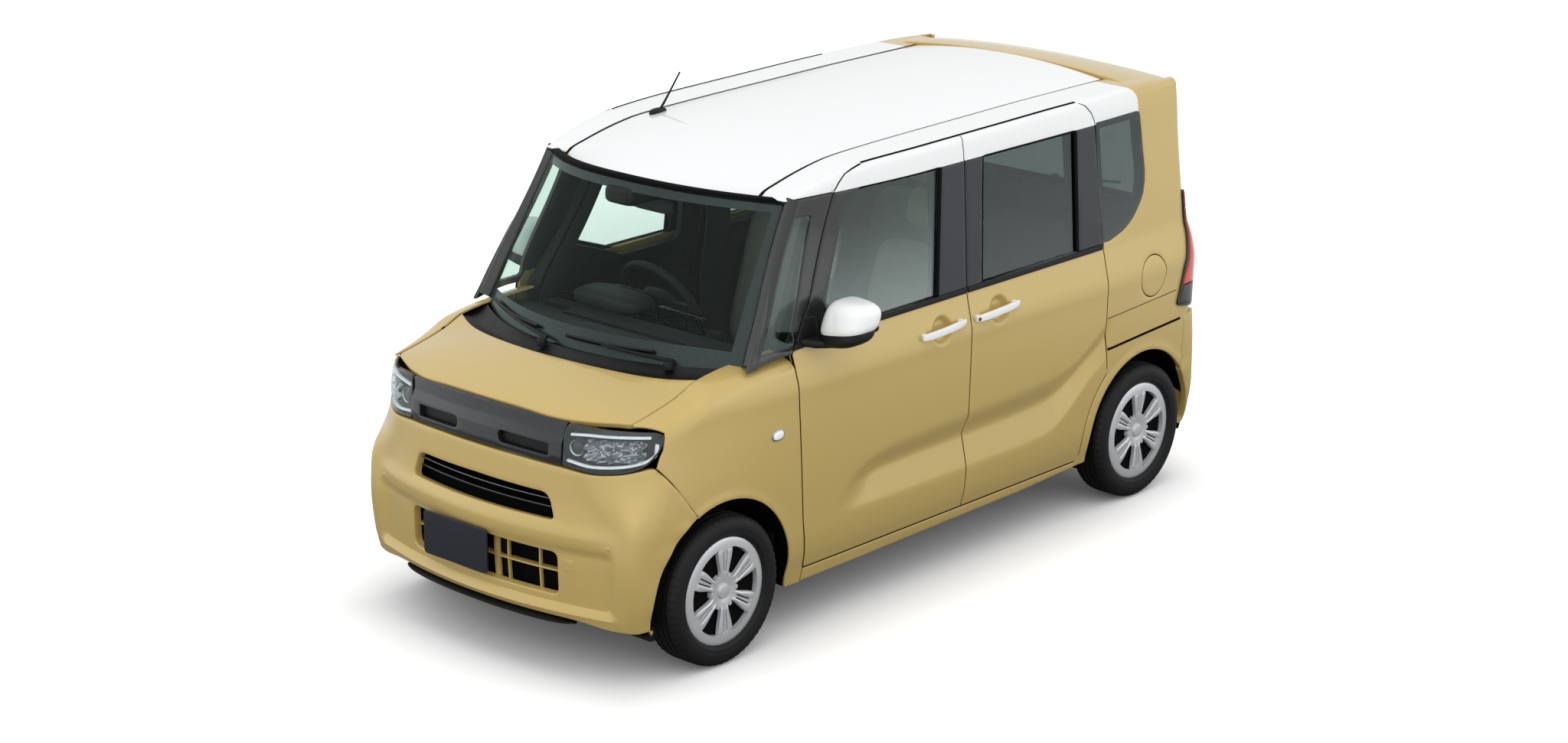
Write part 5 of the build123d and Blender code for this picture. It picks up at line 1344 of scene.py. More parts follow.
    def bonnet(self) -> None:
        """Bonnet skin with its front edge rolled down to the grille."""
        y = np.linspace(-1, 1, 41)
        rear = np.stack([1.3445 - 0.171 * np.abs(y) ** 2.0, y * (BONNET_HALF - 0.001)], axis=1)
        front = [(1.488, -0.5995, 0.02), (1.560, -0.475, 0.10), (1.612, -0.33, 0.1), (1.643, 0.0, 0.3),
                 (1.612, 0.33, 0.1), (1.560, 0.475, 0.10), (1.488, 0.5995, 0.02)]
        edge = np.concatenate([rear[::-1], outline([(1.1735, -0.5995)] + front + [(1.1735, 0.5995)])[1:-1]])
        shell = trimmed(SHAPE.bonnet, edge, step=0.02, roll=0.007, thick=0.022, outward=(0, 0, 1))
        self.shop.add("bonnet_skin", shell, "paint", "bonnet", "body_paint", ["bonnet"])
        for hand in reversed(BOTH):
            path = np.array([(1.205, 0.56, 1.012), (1.30, 0.55, 0.992), (1.45, 0.53, 0.945)]) * (1, hand.value, 1)
            rib = swept(path, rounded_box(0.02, 0.012, 0.006))
            self.shop.add(f"bonnet_rib_{hand.word}", rib, "paint", "bonnet", "body_paint")

    def shut_lines(self, hand: Hand) -> None:
        """Dark strips along the bonnet's side, the lamp's top and the seam between fender and bumper: painted shade
        in those gaps.
        """
        side = seam(SHAPE.bonnet, np.array([(1.180, 0.6025), (1.30, 0.6025), (1.486, 0.6025)]), 0.0028, 0.003,
                    (0, 0, 1))
        low = np.array([(1.4310, 0.8440), (1.4530, 0.8040), (1.4015, 0.7435), (1.2840, 0.5905)])
        joint = seam(SHAPE.shoulder, low, 0.0020, 0.0035)
        self.shop.side(hand, "bonnet_seal", side.joined(joint), "seal_and_gap_shade", "body", "black_trim")

    def fender(self, hand: Hand) -> None:
        """Front fender skin from the arch and the door's edge up over the shoulder."""
        xs = np.linspace(0.80, 1.494, 30)
        top = SHAPE.shoulder_end(xs)
        door = [(0.7195, 0.240), (0.7445, 0.431), (0.7735, 0.791), (0.7885, 0.967), (0.7960, 1.066)]
        arch = arc(FRONT_HUB, ARCH_RADIUS, 66.0, 188, 44)
        edge = np.concatenate([[(0.7235, 0.185), *door], np.stack([xs, top], axis=1),
                               [(1.494, 0.962), (1.438, 0.934), (1.411, 0.916), (1.4245, 0.866), (1.4375, 0.845),
                                (1.4560, 0.806), (1.400, 0.7425), (1.2865, 0.592)], arch,
                               [(0.812, 0.200), (0.80, 0.187)]])
        shell = trimmed(SHAPE.shoulder, edge, step=0.014, roll=0.003, thick=0.008)
        self.shop.side(hand, "fender_skin", shell, "paint", "body", "body_paint", [f"front_fender_{hand.word}"])

    def marker(self, hand: Hand) -> None:
        """Side turn marker, a clear pebble with a bright rim."""
        y = float(at_point(SHAPE.side_y, 0.890, 0.800))
        rim = pillow((0.064, 0.010, 0.042), (0.890, y, 0.800), (0.7, 0.7), (40, 10)).mirrored(hand)
        self.shop.add(f"side_marker_rim_{hand.word}", rim, "satin", "body", "lamp_clear")
        lens = pillow((0.054, 0.016, 0.032), (0.890, y + 0.001, 0.800), (0.75, 0.75), (40, 10)).mirrored(hand)
        self.shop.add(f"side_marker_lens_{hand.word}", lens, "lit", "body", "lamp_clear")

    def lamp(self, hand: Hand) -> None:
        """Headlamp: dark bowl, reflector, projector, light guides, frame and clear lens."""
        inner = self.lamp_inner_y
        rows = [("y", inner + 0.014, 0.946, 0.018), ("y", inner, 0.900, 0.03), ("y", inner, 0.791, 0.012),
                ("y", 0.50, 0.780, 0.05), ("y", 0.595, 0.783, 0.06), ("x", 1.475, 0.808, 0.05),
                ("x", 1.428, 0.868, 0.03), ("x", 1.414, 0.914, 0.016), ("x", 1.438, 0.929, 0.012),
                ("y", 0.56, 0.939, 0.05)]
        ring = outline(NOSE.along(rows))
        bowl = trimmed(NOSE.surface, ring, step=0.014, roll=0.002, thick=0.012, outward=(1, 0, 0), lift=-0.050)
        self.shop.side(hand, "headlamp_bowl", bowl, "trim", "body", "black_trim", hand.once("headlamps"))
        wall_ring = turned(resample(ring, 0.012), True)
        frame = trimmed(NOSE.surface, ring, [moved_in(wall_ring, 0.007)], step=0.012, roll=0.0015, thick=0.052,
                        outward=(1, 0, 0), lift=-0.002)
        self.shop.side(hand, "headlamp_rim", frame, "pillar", "body", "gloss_black")
        lens = trimmed(NOSE.surface, moved_in(wall_ring, 0.0035), step=0.014, roll=0.003, thick=0.004,
                       outward=(1, 0, 0), lift=0.0005)
        self.shop.side(hand, "headlamp_lens", lens, "lens", "body", "lamp_clear")
        self.shop.side(hand, "headlamp_guide", self.guide(), "lit", "body", "lamp_clear")
        self.reflector(hand)

    def guide(self) -> Shell:
        """Bright light guide that runs along the lamp's top, down its outer end and back along its foot."""
        z_top, z_foot = 0.909, 0.809
        rows = [("y", 0.415, z_top - 0.004), ("y", 0.50, z_top + 0.004), ("y", 0.585, z_top + 0.003),
                ("x", 1.462, z_top)]
        low = [("y", 0.405, z_foot + 0.002), ("y", 0.50, z_foot - 0.007), ("y", 0.585, z_foot - 0.002),
               ("x", 1.478, z_foot + 0.018), ("x", 1.452, 0.852), ("x", 1.446, 0.885)]
        guides = []
        for line in (rows, low):
            spots = np.array([(s, z) for s, z, _ in NOSE.along(line)])
            t = np.linspace(0, len(spots) - 1, 40)
            s = smooth(t, list(zip(range(len(spots)), spots[:, 0])))
            z = smooth(t, list(zip(range(len(spots)), spots[:, 1])))
            path = NOSE.surface(s, z) - (0.012, 0.004, 0)
            guides.append(swept(path, rounded_box(0.007, 0.0045, 0.003)))
        return merged(guides)

    def reflector(self, hand: Hand) -> None:
        """Faceted bright reflector at the outer side and a small round projector at the inner side."""
        s0, s1 = (NOSE.along([("y", y, 0.86)])[0][0] for y in (0.475, 0.640))
        s = np.linspace(s0, s1, 37)
        z = np.linspace(0.822, 0.900, 17)
        ss, zz = grid(s, z)
        waves = np.sin((ss - s0) * 78 + 1.8 * np.sin(zz * 110)), np.sin(zz * 88 + 0.9 + 1.2 * np.sin(ss * 60))
        cell = np.abs(waves[0]) * np.abs(waves[1])
        edge = np.minimum(np.minimum(ss - s0, s1 - ss) / 0.02, np.minimum(zz - 0.822, 0.900 - zz) / 0.015)
        face = NOSE.surface(ss, zz) - np.stack([0.020 + 0.034 * np.clip(edge, 0, 1) - 0.024 * cell, 0 * ss, 0 * ss],
                                               axis=1)
        shell = slab(face, len(s), len(z), (-0.006, 0, 0))
        self.shop.side(hand, "headlamp_reflector", shell, "reflector", "body", "lamp_clear", sharp=12)
        spot = at_point(NOSE.surface, NOSE.along([("y", 0.437, 0.86)])[0][0], 0.861) - (0.012, 0, 0)
        turn = Matrix.Translation(spot) @ Matrix.Rotation(math.radians(-78), 4, "Z")
        bezel = lathe([(0.024, 0.0), (0.029, 0.004), (0.031, -0.030), (0.027, -0.030), (0.024, -0.006)], (0, 0, 0),
                      40)
        self.shop.add(f"headlamp_bezel_{hand.word}", bezel.moved(turn).mirrored(hand), "satin", "body", "lamp_clear")
        ball = pillow((0.046, 0.020, 0.046), (0, -0.008, 0), (1, 1), (32, 12)).moved(turn)
        self.shop.side(hand, "headlamp_projector", ball, "pillar", "body", "lamp_clear")


@dataclass
class BodySides:
    """Outer side panels, pillars, quarter glass and fuel lid."""

    shop: Workshop
    door: tuple = ((0.713, DOOR_FOOT_Z), (0.739, 0.431), (0.768, 0.791), (0.783, 0.967), (0.791, 1.072),
                   (0.725, 1.160), (0.667, 1.258), (0.610, 1.371), (0.556, 1.480), (0.502, 1.595), (0.472, 1.628),
                   (0.440, 1.656), (0.404, 1.669), (0.347, 1.681))
    split: float = -0.189
    slider: tuple = ((-0.905, 1.699), (-0.938, 1.681), (-0.972, 1.648), (-0.989, 1.613), (-1.024, 1.327),
                     (-1.040, 1.115), (-1.043, 0.767), (-1.062, 0.605))
    quarter: tuple = ((-1.000, 1.606), (-1.030, 1.250), (-1.044, 1.118), (-1.090, 1.119), (-1.128, 1.128),
                      (-1.170, 1.139), (-1.206, 1.154), (-1.244, 1.178), (-1.275, 1.208), (-1.300, 1.238),
                      (-1.318, 1.270), (-1.329, 1.315), (-1.331, 1.360), (-1.318, 1.459), (-1.301, 1.585),
                      (-1.294, 1.600), (-1.276, 1.606))
    corner_glass: tuple = ((0.688, 1.537), (0.609, 1.535), (0.779, 1.157), (0.783, 1.098), (0.967, 1.099),
                           (0.836, 1.303))
    lid: tuple = (-1.355, 0.926, 0.084)

    def door_top(self, x: Array, gap: float = 0.0) -> Array:
        """Value of v along the doors' top edge."""
        return SHAPE.rail_z(x) + 0.006 + gap

    def door_tops(self, gap: float) -> Array:
        """Line a gap above the top edge of both doors, from front to rear."""
        x = np.linspace(0.345, -0.900, 60)
        return np.stack([x, self.door_top(x, gap)], axis=1)

    def build(self) -> None:
        """Makes both sides."""
        for hand in BOTH:
            self.panel(hand)
            self.pillars(hand)
            self.glass(hand)
            self.rail_cover(hand)
            self.inner_frame(hand)
            self.seams(hand)
        self.fuel_lid()

    def panel(self, hand: Hand) -> None:
        """Rear quarter, sill and roof rail as one pressing round the door openings."""
        g = GAP
        door_up = np.array(self.door)[9:13] + (0.001, 0.0)
        inner_x = np.linspace(-1.470, 0.728, 90)
        rail_foot = SHAPE.rail_z(inner_x) - SHAPE.rail_drop
        across = SHAPE.side_y(inner_x, rail_foot) - SHAPE.rail_inward - (DITCH_Y + 0.004)
        inner_v = rail_foot + SHAPE.rail_roll + across
        slider = np.array(self.slider)
        arch_out = arc(REAR_HUB, ARCH_RADIUS, -9, 142.5, 60)
        arch_in = arc(REAR_HUB, SLIDER_ARCH - g, 51.0, -2, 24)
        up = [(x + g, z + g * 0.7) for x, z in door_up] + [(0.349, self.door_top(np.array([0.349]), g)[0])]
        edge = np.concatenate([
            [(0.716, 0.190), (-0.60, 0.205), (-0.955, 0.222)], arch_out,
            [(-1.582, 0.6995), (-1.715, 0.735), (-1.715, 1.694), (-1.580, 1.706), (-1.480, 1.722)],
            np.stack([inner_x, inner_v], axis=1),
            [(0.725, 1.597), (0.716, WHITE_LINE), (0.505, WHITE_LINE)], up,
            self.door_tops(g), slider - (g, -0.001),
            arch_in, [(-0.905, 0.2395), (0.713, 0.2395)]])
        holes = [np.array(self.quarter)]
        if hand is Hand.LEFT:
            holes.append(arc(self.lid[:2], self.lid[2] + 0.0035, 0, 360, 73)[:-1])
        shell = trimmed(SHAPE.side, edge, holes, step=0.016, roll=0.003, thick=0.018)
        self.shop.side(hand, "side_panel", shell, "paint", "body", "body_paint", [f"body_side_{hand.word}"])

    def seams(self, hand: Hand) -> None:
        """Dark strips in the gaps round the doors and along the quarter's fixed seam, painted shade there, and its
        slide rail.
        """
        half = GAP / 2
        front = np.array(self.door) + (half, 0.0)
        rear = np.array(self.slider) - (half, -0.0005)
        arch = arc(REAR_HUB, SLIDER_ARCH - half, 51.0, -3, 24)
        lines = [front, self.door_tops(half), np.concatenate([rear, arch]),
                 np.array([(0.713, 0.2425), (-0.912, 0.2425)]),
                 np.array([(self.split, DOOR_FOOT_Z), (self.split, float(self.door_top(np.array([self.split]))[0]))]),
                 np.array([(0.786, 1.074), (0.86, 1.076), (0.94, 1.070), (1.02, 1.055)])]
        fixed = seam(SHAPE.side, np.array([(-1.050, 0.812), (-1.52, 0.832)]), 0.0014, -0.0006)
        shell = merged([seam(SHAPE.side, line) for line in lines] + [fixed])
        self.shop.side(hand, "side_seals", shell, "seal_and_gap_shade", "body", "black_trim")
        rail = seam(SHAPE.side, np.array([(-1.060, 0.682), (-1.30, 0.694), (-1.566, 0.705)]), 0.006, -0.0008)
        lip = seam(SHAPE.side, np.array([(-1.060, 0.692), (-1.30, 0.704), (-1.566, 0.715)]), 0.003, -0.0035)
        self.shop.side(hand, "slide_rail", rail, "seal_and_gap_shade", "body", "black_trim")
        self.shop.side(hand, "slide_rail_lip", lip, "paint", "body", "body_paint")

    def pillars(self, hand: Hand) -> None:
        """Black panel round the corner glass, and the windscreen pillar."""
        d = np.array(self.door)[4:10]
        edge = np.concatenate([d + (GAP, 0.001), [(0.500 + GAP, WHITE_LINE - 0.003), (0.690, WHITE_LINE - 0.003)],
                               [(0.735, 1.540), (0.85, 1.352), (0.935, 1.196), (1.020, 1.052)],
                               [(0.94, 1.068), (0.86, 1.074)]])
        shell = trimmed(SHAPE.plain_side, edge, [softened(self.corner_glass)], step=0.014,
                        roll=0.003, thick=0.016)
        self.shop.side(hand, "corner_pillar", shell, "pillar", "body", "gloss_black")
        z = np.linspace(1.060, 1.596, 26)
        glass = SHAPE.screen(0.660 - 0.055 * (z - SCREEN_FOOT_Z) / 0.573, z)
        skin = np.stack([glass[:, 0] + 0.01, SHAPE.side_y(glass[:, 0] + 0.01, z), z], axis=1)
        path = glass * 0.45 + skin * 0.55 - (0.012, 0.006, 0)
        profile = outline([(-0.030, -0.024, 0.012), (0.028, -0.022, 0.012), (0.026, 0.020, 0.014),
                           (-0.028, 0.024, 0.014)], 5)
        self.shop.side(hand, "screen_pillar", swept(path, profile, up=(0.7, 0.7, 0)), "pillar", "body", "gloss_black")

    def glass(self, hand: Hand) -> None:
        """Corner and quarter glass."""
        corner = softened(self.corner_glass)
        ring = inset(corner, 0.01, -0.006)
        shell = trimmed(SHAPE.plain_side, ring, step=0.02, roll=0.001, thick=0.004, lift=-0.004)
        self.shop.side(hand, "corner_glass", shell, "corner", "body", "clear_glass", hand.once("fixed_side_glass"))
        ring = inset(np.array(self.quarter), 0.01, 0.0015)
        shell = trimmed(SHAPE.plain_side, ring, step=0.02, roll=0.002, thick=0.004, lift=-0.0008)
        self.shop.side(hand, "quarter_glass", shell, "privacy", "body", "privacy_glass")
        band_ring = inset(np.array(self.quarter), 0.01, 0.026)
        frit = trimmed(SHAPE.plain_side, ring, [band_ring], step=0.012, roll=0.0005, thick=0.002, lift=-0.006)
        self.shop.side(hand, "quarter_glass_border", frit, "film", "body", "gloss_black")

    def rail_cover(self, hand: Hand) -> None:
        """Black joint strip in the roof ditch."""
        x = np.linspace(-1.46, 0.735, 70)
        path = np.stack([x, np.full_like(x, DITCH_Y - 0.002), SHAPE.rail_z(x) - 0.004], axis=1)
        profile = outline([(-0.012, -0.008), (0.012, -0.008), (0.0105, 0.0045, 0.002), (-0.0105, 0.0045, 0.002)], 3)
        self.shop.side(hand, "roof_ditch", swept(path, profile), "seal_and_gap_shade", "body", "black_trim")

    def inner_frame(self, hand: Hand) -> None:
        """Door aperture: pillars, sill and header behind the doors, with the openings a person gets in by."""
        outer = np.array([(0.80, 0.200), (-0.945, 0.232), (-0.985, 0.42), (-1.06, 0.56), (-1.10, 0.62),
                          (-1.10, 1.660), (0.45, 1.645), (0.52, 1.588), (0.79, 1.08), (0.80, 0.95)])
        front = outline([(0.655, 0.300, 0.06), (0.690, 0.75, 0.1), (0.715, 1.05, 0.06), (0.60, 1.26),
                         (0.455, 1.56, 0.05), (0.40, 1.615, 0.05), (-0.125, 1.620, 0.05), (-0.125, 0.300, 0.06)])
        rear = outline([(-0.262, 0.300, 0.06), (-0.262, 1.625, 0.05), (-0.94, 1.630, 0.06), (-0.985, 1.10, 0.1),
                        (-0.985, 0.80, 0.1), (-0.90, 0.62, 0.1), (-0.86, 0.300, 0.06)])
        shell = trimmed(SHAPE.plain_side, outer, [front, rear], step=0.03, roll=0.004, thick=0.034, lift=-0.082)
        self.shop.side(hand, "door_aperture", shell, "trim", "body", "black_trim")
        lining = trimmed(SHAPE.plain_side, outer * (0.985, 0.995), [front, rear], step=0.03, roll=0.006, thick=0.010,
                         lift=-0.118)
        self.shop.side(hand, "pillar_lining", lining, "cabin", "body", "cabin_plastic")
        window = inset(np.array(self.quarter), 0.01, 0.012)
        back = outline([(-1.095, 0.62, 0.03), (-1.54, 0.62, 0.05), (-1.54, 1.640, 0.05), (-0.96, 1.650, 0.03),
                        (-1.02, 1.20, 0.05)])
        panel = trimmed(SHAPE.plain_side, back, [window], step=0.03, roll=0.01, thick=0.012, lift=-0.034)
        self.shop.side(hand, "quarter_lining", panel, "cabin", "body", "cabin_plastic")

    def fuel_lid(self) -> None:
        """Round lid in the left quarter, and its cup."""
        x, z, radius = self.lid
        inner, outer = radius - 0.004, radius + 0.004
        ring = arc((x, z), radius, 0, 360, 73)[:-1]
        shell = trimmed(SHAPE.plain_side, ring, step=0.014, roll=0.003, thick=0.012)
        self.shop.add("fuel_lid_skin", shell, "paint", "fuel_lid", "body_paint", ["fuel_lid"])
        y = float(at_point(SHAPE.side_y, x, z))
        # A dark strip in the lid's gap: painted shade.
        seal_and_gap_shade = seam(SHAPE.plain_side, arc((x, z), radius + 0.0018, 0, 360, 90), 0.0018, 0.0030)
        self.shop.add("fuel_lid_seal", seal_and_gap_shade, "seal_and_gap_shade", "body", "black_trim")
        cup_wall = lathe([(inner, -0.016), (outer, -0.016), (outer, -0.060),
                          (0.002, -0.060), (0.002, -0.054), (inner, -0.054)],
                         (x, y, z), 48)
        self.shop.add("fuel_cup", cup_wall, "trim", "body", "black_trim")
        cap = lathe([(0.0, -0.026), (0.026, -0.026), (0.030, -0.030), (0.030, -0.053), (0.0, -0.053)],
                    (x, y, z), 32, closed=False)
        self.shop.add("fuel_cap", cap, "trim", "body", "black_trim")


@dataclass
class Doors:
    """Front doors on their hinges and the rear sliding doors, with glass, dark frames, handles and mirrors."""

    shop: Workshop
    sides: BodySides
    window: tuple = ((0.60, 1.217), (0.457, 1.524), (0.414, 1.572), (0.38, 1.592), (-0.058, 1.600), (-0.026, 1.112),
                     (0.285, 1.108))
    rear_window: tuple = ((-0.295, 1.600), (-0.280, 1.112), (-0.884, 1.120), (-0.872, 1.600))

    def build(self) -> None:
        """Makes all four doors."""
        for hand in BOTH:
            self.front(hand)
            self.slider(hand)
            self.dark_frames(hand)
            self.glass(hand)
            self.run_seals(hand)
            self.mouldings(hand)
            self.handle(hand, f"front_door_{hand.word}", "front", (0.107, 0.987), (-0.145, 0.998))
            self.handle(hand, "body", "rear", (-0.208, 0.993), (-0.469, 1.004))
            self.mirror(hand)
            self.trims(hand)

    def leaf(self, hand: Hand, key: str, body: str, edge: Array, hole: Array, dish: Sequence[float],
             inner: Array) -> None:
        """Skin and lining of one door.

        Args:
            hand: the side.
            key: the door's name, which its CAD node has too.
            body: the CAD body it rides on.
            edge: the skin's outline.
            hole: the window's outline.
            dish: place of the handle's dish.
            inner: the lining's outline.
        """
        skin = trimmed(SHAPE.side, edge, [hole], step=0.013, roll=0.0035, thick=0.020, dense=[(*dish, DISH_RADIUS)])
        self.shop.side(hand, f"{key}_skin", skin, "paint", body, "body_paint", [f"{key}_{hand.word}"])
        lining = trimmed(SHAPE.plain_side, inner, [inset(hole, 0.01, -0.012)], step=0.03, roll=0.012, thick=0.030,
                         lift=-0.036)
        self.shop.side(hand, f"{key}_lining", lining, "cabin", body, "cabin_plastic")

    def front(self, hand: Hand) -> None:
        """Front door."""
        rear_x = self.sides.split + GAP / 2
        top_x = np.linspace(0.340, rear_x, 24)
        edge = np.concatenate([[(rear_x, DOOR_FOOT_Z)], np.array(self.sides.door)[:13], [(0.347, 1.684)],
                               np.stack([top_x, self.sides.door_top(top_x)], axis=1)])
        inner = outline([(0.66, 0.30, 0.04), (0.74, 0.75, 0.08), (0.772, 1.084, 0.015), (0.60, 1.30),
                         (0.455, 1.60, 0.04), (0.35, 1.640, 0.04), (-0.160, 1.650, 0.04), (-0.160, 0.30, 0.04)])
        self.leaf(hand, "front_door", f"front_door_{hand.word}", edge, softened(self.window), SHAPE.handles[0], inner)

    def slider(self, hand: Hand) -> None:
        """Sliding door, which stays shut on the body."""
        front_x = self.sides.split - GAP / 2
        top_x = np.linspace(-0.900, front_x, 40)
        arch = arc(REAR_HUB, SLIDER_ARCH, 52.0, -5, 24)
        edge = np.concatenate([[(front_x, DOOR_FOOT_Z)], np.stack([top_x, self.sides.door_top(top_x)], axis=1)[::-1],
                               np.array(self.sides.slider), arch, [(-0.912, DOOR_FOOT_Z)]])
        inner = outline([(-0.22, 0.30, 0.04), (-0.22, 1.650, 0.04), (-0.93, 1.650, 0.04), (-0.99, 1.10, 0.1),
                         (-1.00, 0.80, 0.1), (-0.90, 0.58, 0.1), (-0.86, 0.30, 0.04)])
        self.leaf(hand, "sliding_door", "body", edge, softened(self.rear_window), SHAPE.handles[1], inner)

    def dark_frames(self, hand: Hand) -> None:
        """Dark cladding round the door glass, in satin strips at the pillar and gloss elsewhere."""
        top = DOOR_GLASS_TOP_Z
        front_x, rear_x = self.sides.split + 0.0035, self.sides.split - 0.0035
        parts = (("front_sash", "pillar", [(0.787, 1.085), (0.663, 1.260), (0.552, 1.482), (0.500, 1.590),
                                           (0.497, top), (0.38, top), (0.38, 1.592), (0.414, 1.572), (0.457, 1.524),
                                           (0.60, 1.217), (0.285, 1.108), (0.30, 1.098)]),
                 ("front_post", "film", [(-0.0585, top), (front_x, top), (front_x, 1.100), (-0.0245, 1.100)]),
                 ("rear_post", "film", [(rear_x, top), (-0.294, top), (-0.279, 1.100), (rear_x, 1.100)]),
                 ("rear_sash", "film", [(-0.873, top), (-0.9865, top), (-1.0175, 1.327), (-1.033, 1.110),
                                        (-0.885, 1.110)]))
        for key, finish, rows in parts:
            body = f"front_door_{hand.word}" if key.startswith("front") else "body"
            shell = trimmed(SHAPE.plain_side, np.array(rows), step=0.016, roll=0.0012, thick=0.0035, lift=0.0014)
            self.shop.side(hand, f"door_{key}", shell, finish, body, "gloss_black")
        strip = np.array([(-0.995, top), (-1.027, 1.327), (-1.042, 1.110), (-1.038, 1.115), (-1.024, 1.250),
                          (-0.994, top)])
        post = trimmed(SHAPE.plain_side, strip, step=0.01, roll=0.0008, thick=0.003, lift=0.001)
        self.shop.side(hand, "quarter_post", post, "pillar", "body", "gloss_black")

    def glass(self, hand: Hand) -> None:
        """Drop glass and the sliding door's privacy glass."""
        for key, rows, finish, slot, body in (
                ("front_door_glass", self.window, "clear", "clear_glass", f"front_door_{hand.word}"),
                ("sliding_door_glass", self.rear_window, "privacy", "privacy_glass", "body")):
            ring = inset(softened(rows), 0.01, -0.008)
            shell = trimmed(SHAPE.plain_side, ring, step=0.025, roll=0.001, thick=0.004, lift=-0.008)
            replaced = [f"front_door_glass_{hand.word}"] if body != "body" else hand.once("sliding_door_glass")
            self.shop.side(hand, f"{key}_pane", shell, finish, body, slot, replaced)

    def run_seals(self, hand: Hand) -> None:
        """Rubber channels beside the drop glass and the sliding door's glass."""
        lines = (("front_run", f"front_door_{hand.word}", [(-0.050, 1.598), (-0.018, 1.106)], 0.0075),
                 ("rear_run", "body", [(-0.864, 1.598), (-0.876, 1.108)], 0.0075),
                 ("middle_run", "body", [(-0.298, 1.598), (-0.283, 1.108)], 0.0035),
                 ("front_head", f"front_door_{hand.word}", [(0.40, 1.590), (0.36, 1.5965), (-0.05, 1.5965)], 0.003),
                 ("rear_head", "body", [(-0.298, 1.5965), (-0.866, 1.5965)], 0.003))
        for word, body, line, half in lines:
            shell = seam(SHAPE.plain_side, np.array(line), half, -0.0008)
            self.shop.side(hand, f"glass_{word}", shell, "seal_and_gap_shade", body, "black_trim")

    def mouldings(self, hand: Hand) -> None:
        """Black mouldings along the belt line of the doors."""
        for key, first, last, body in (("front", 0.775, self.sides.split + 0.004, f"front_door_{hand.word}"),
                                       ("rear", self.sides.split - 0.004, -1.030, "body")):
            x = np.linspace(first, last, 30)
            z = np.full_like(x, BELT + 0.002)
            path = SHAPE.plain_side(x, z) + (0, 0.002, 0)
            profile = outline([(-0.004, -0.012, 0.003), (0.0035, -0.011, 0.003), (0.001, 0.010, 0.003),
                               (-0.004, 0.011, 0.003)], 3)
            shell = swept(path, profile * (-1, 1))
            self.shop.side(hand, f"belt_moulding_{key}", shell, "trim", body, "black_trim")

    def handle(self, hand: Hand, body: str, word: str, head: Sequence[float], tail: Sequence[float]) -> None:
        """White pull handle on two feet over its dish, with the key cover at its front end."""
        x = np.linspace(head[0], tail[0], 26)
        z = np.linspace(head[1], tail[1], 26)
        t = np.linspace(-1, 1, 26)
        base = smooth(z, SHAPE.section) - smooth(x, SHAPE.high_taper)
        bow = 0.026 - 0.010 * np.abs(t) ** 3
        path = np.stack([x, base + bow - 0.006, z], axis=1)
        size = 1 - 0.28 * np.abs(t) ** 6
        profile = outline([(-0.007, -0.015, 0.006), (0.008, -0.014, 0.007), (0.008, 0.014, 0.007),
                           (-0.007, 0.015, 0.006)], 4)
        shell = swept(path, profile * (-1, 1), scale=size)
        for end in (1, 24):
            foot = pillow((0.030, 0.034, 0.026), (x[end] + (0.008 if end > 5 else -0.008), base[end], z[end]),
                          (0.6, 0.6), (24, 12))
            shell = shell.joined(foot)
        self.shop.side(hand, f"{word}_handle", shell, "white", body, "body_paint")
        if word == "rear":
            dot = pillow((0.016, 0.006, 0.014), (x[1], path[1, 1] + 0.0085, z[1]), (1, 1), (24, 8))
            self.shop.side(hand, "handle_button", dot, "pillar", body, "gloss_black")

    def mirror(self, hand: Hand) -> None:
        """Door mirror: white cap, black foot, glass and sail."""
        body, flat_x = f"front_door_{hand.word}", 0.556

        def housing(size: Sequence[float], centre: Sequence[float], square: Sequence[float]) -> Shell:
            """Rounded form that leans back, narrows at its inner top and rises outboard."""
            form = pillow(size, centre, square, (64, 32))
            points = form.points.copy()
            rise = (points[:, 2] - 1.131) / 0.125
            out = (points[:, 1] - 0.822) / 0.100
            points[:, 0] -= 0.036 * (rise - 0.4) + 0.018 * np.maximum(out, 0) ** 2
            points[:, 1] += 0.026 * np.clip(rise, 0, 1) * np.maximum(-out, 0)
            points[:, 2] += 0.018 * out * (1 - np.clip(rise, 0, 1)) - 0.008 * np.maximum(out, 0) * np.clip(rise, 0, 1)
            rear = points[:, 0] < flat_x
            points[rear, 0] = flat_x - 0.15 * (flat_x - points[rear, 0])
            return Shell(points, form.faces)

        cap = housing((0.150, 0.200, 0.134), (0.622, 0.822, 1.192), (0.60, 0.60))
        self.shop.side(hand, "mirror_cap", cap, "white", body, "body_paint", [f"mirror_{hand.word}"])
        under = housing((0.138, 0.186, 0.090), (0.620, 0.820, 1.136), (0.60, 0.75))
        foot = swept(np.array([(0.715, 0.690, 1.104), (0.690, 0.735, 1.100), (0.650, 0.790, 1.104)]),
                     rounded_box(0.036, 0.014, 0.012, 4))
        corners = np.array([(0.788, 1.084), (0.722, 1.190), (0.662, 1.186), (0.645, 1.108), (0.66, 1.086)])
        sail = trimmed(SHAPE.plain_side, corners, step=0.02, roll=0.004, thick=0.012, lift=0.006)
        self.shop.side(hand, "mirror_foot", under.joined(foot, sail), "trim", body, "black_trim")
        face = pillow((0.008, 0.160, 0.104), (0.550, 0.824, 1.186), (0.4, 0.45), (40, 16))
        self.shop.side(hand, "mirror_glass", face, "chrome", body, "clear_glass")

    def trims(self, hand: Hand) -> None:
        """Arm rest on the front door's lining."""
        body = f"front_door_{hand.word}"
        path = np.array([(0.52, 0.640, 0.790), (0.40, 0.628, 0.800), (0.10, 0.628, 0.800), (-0.06, 0.640, 0.795)])
        profile = outline([(-0.03, -0.030, 0.012), (0.03, -0.025, 0.012), (0.03, 0.022, 0.012),
                           (-0.03, 0.022, 0.012)], 4)
        self.shop.side(hand, "arm_rest", swept(path, profile), "cabin", body, "cabin_plastic")


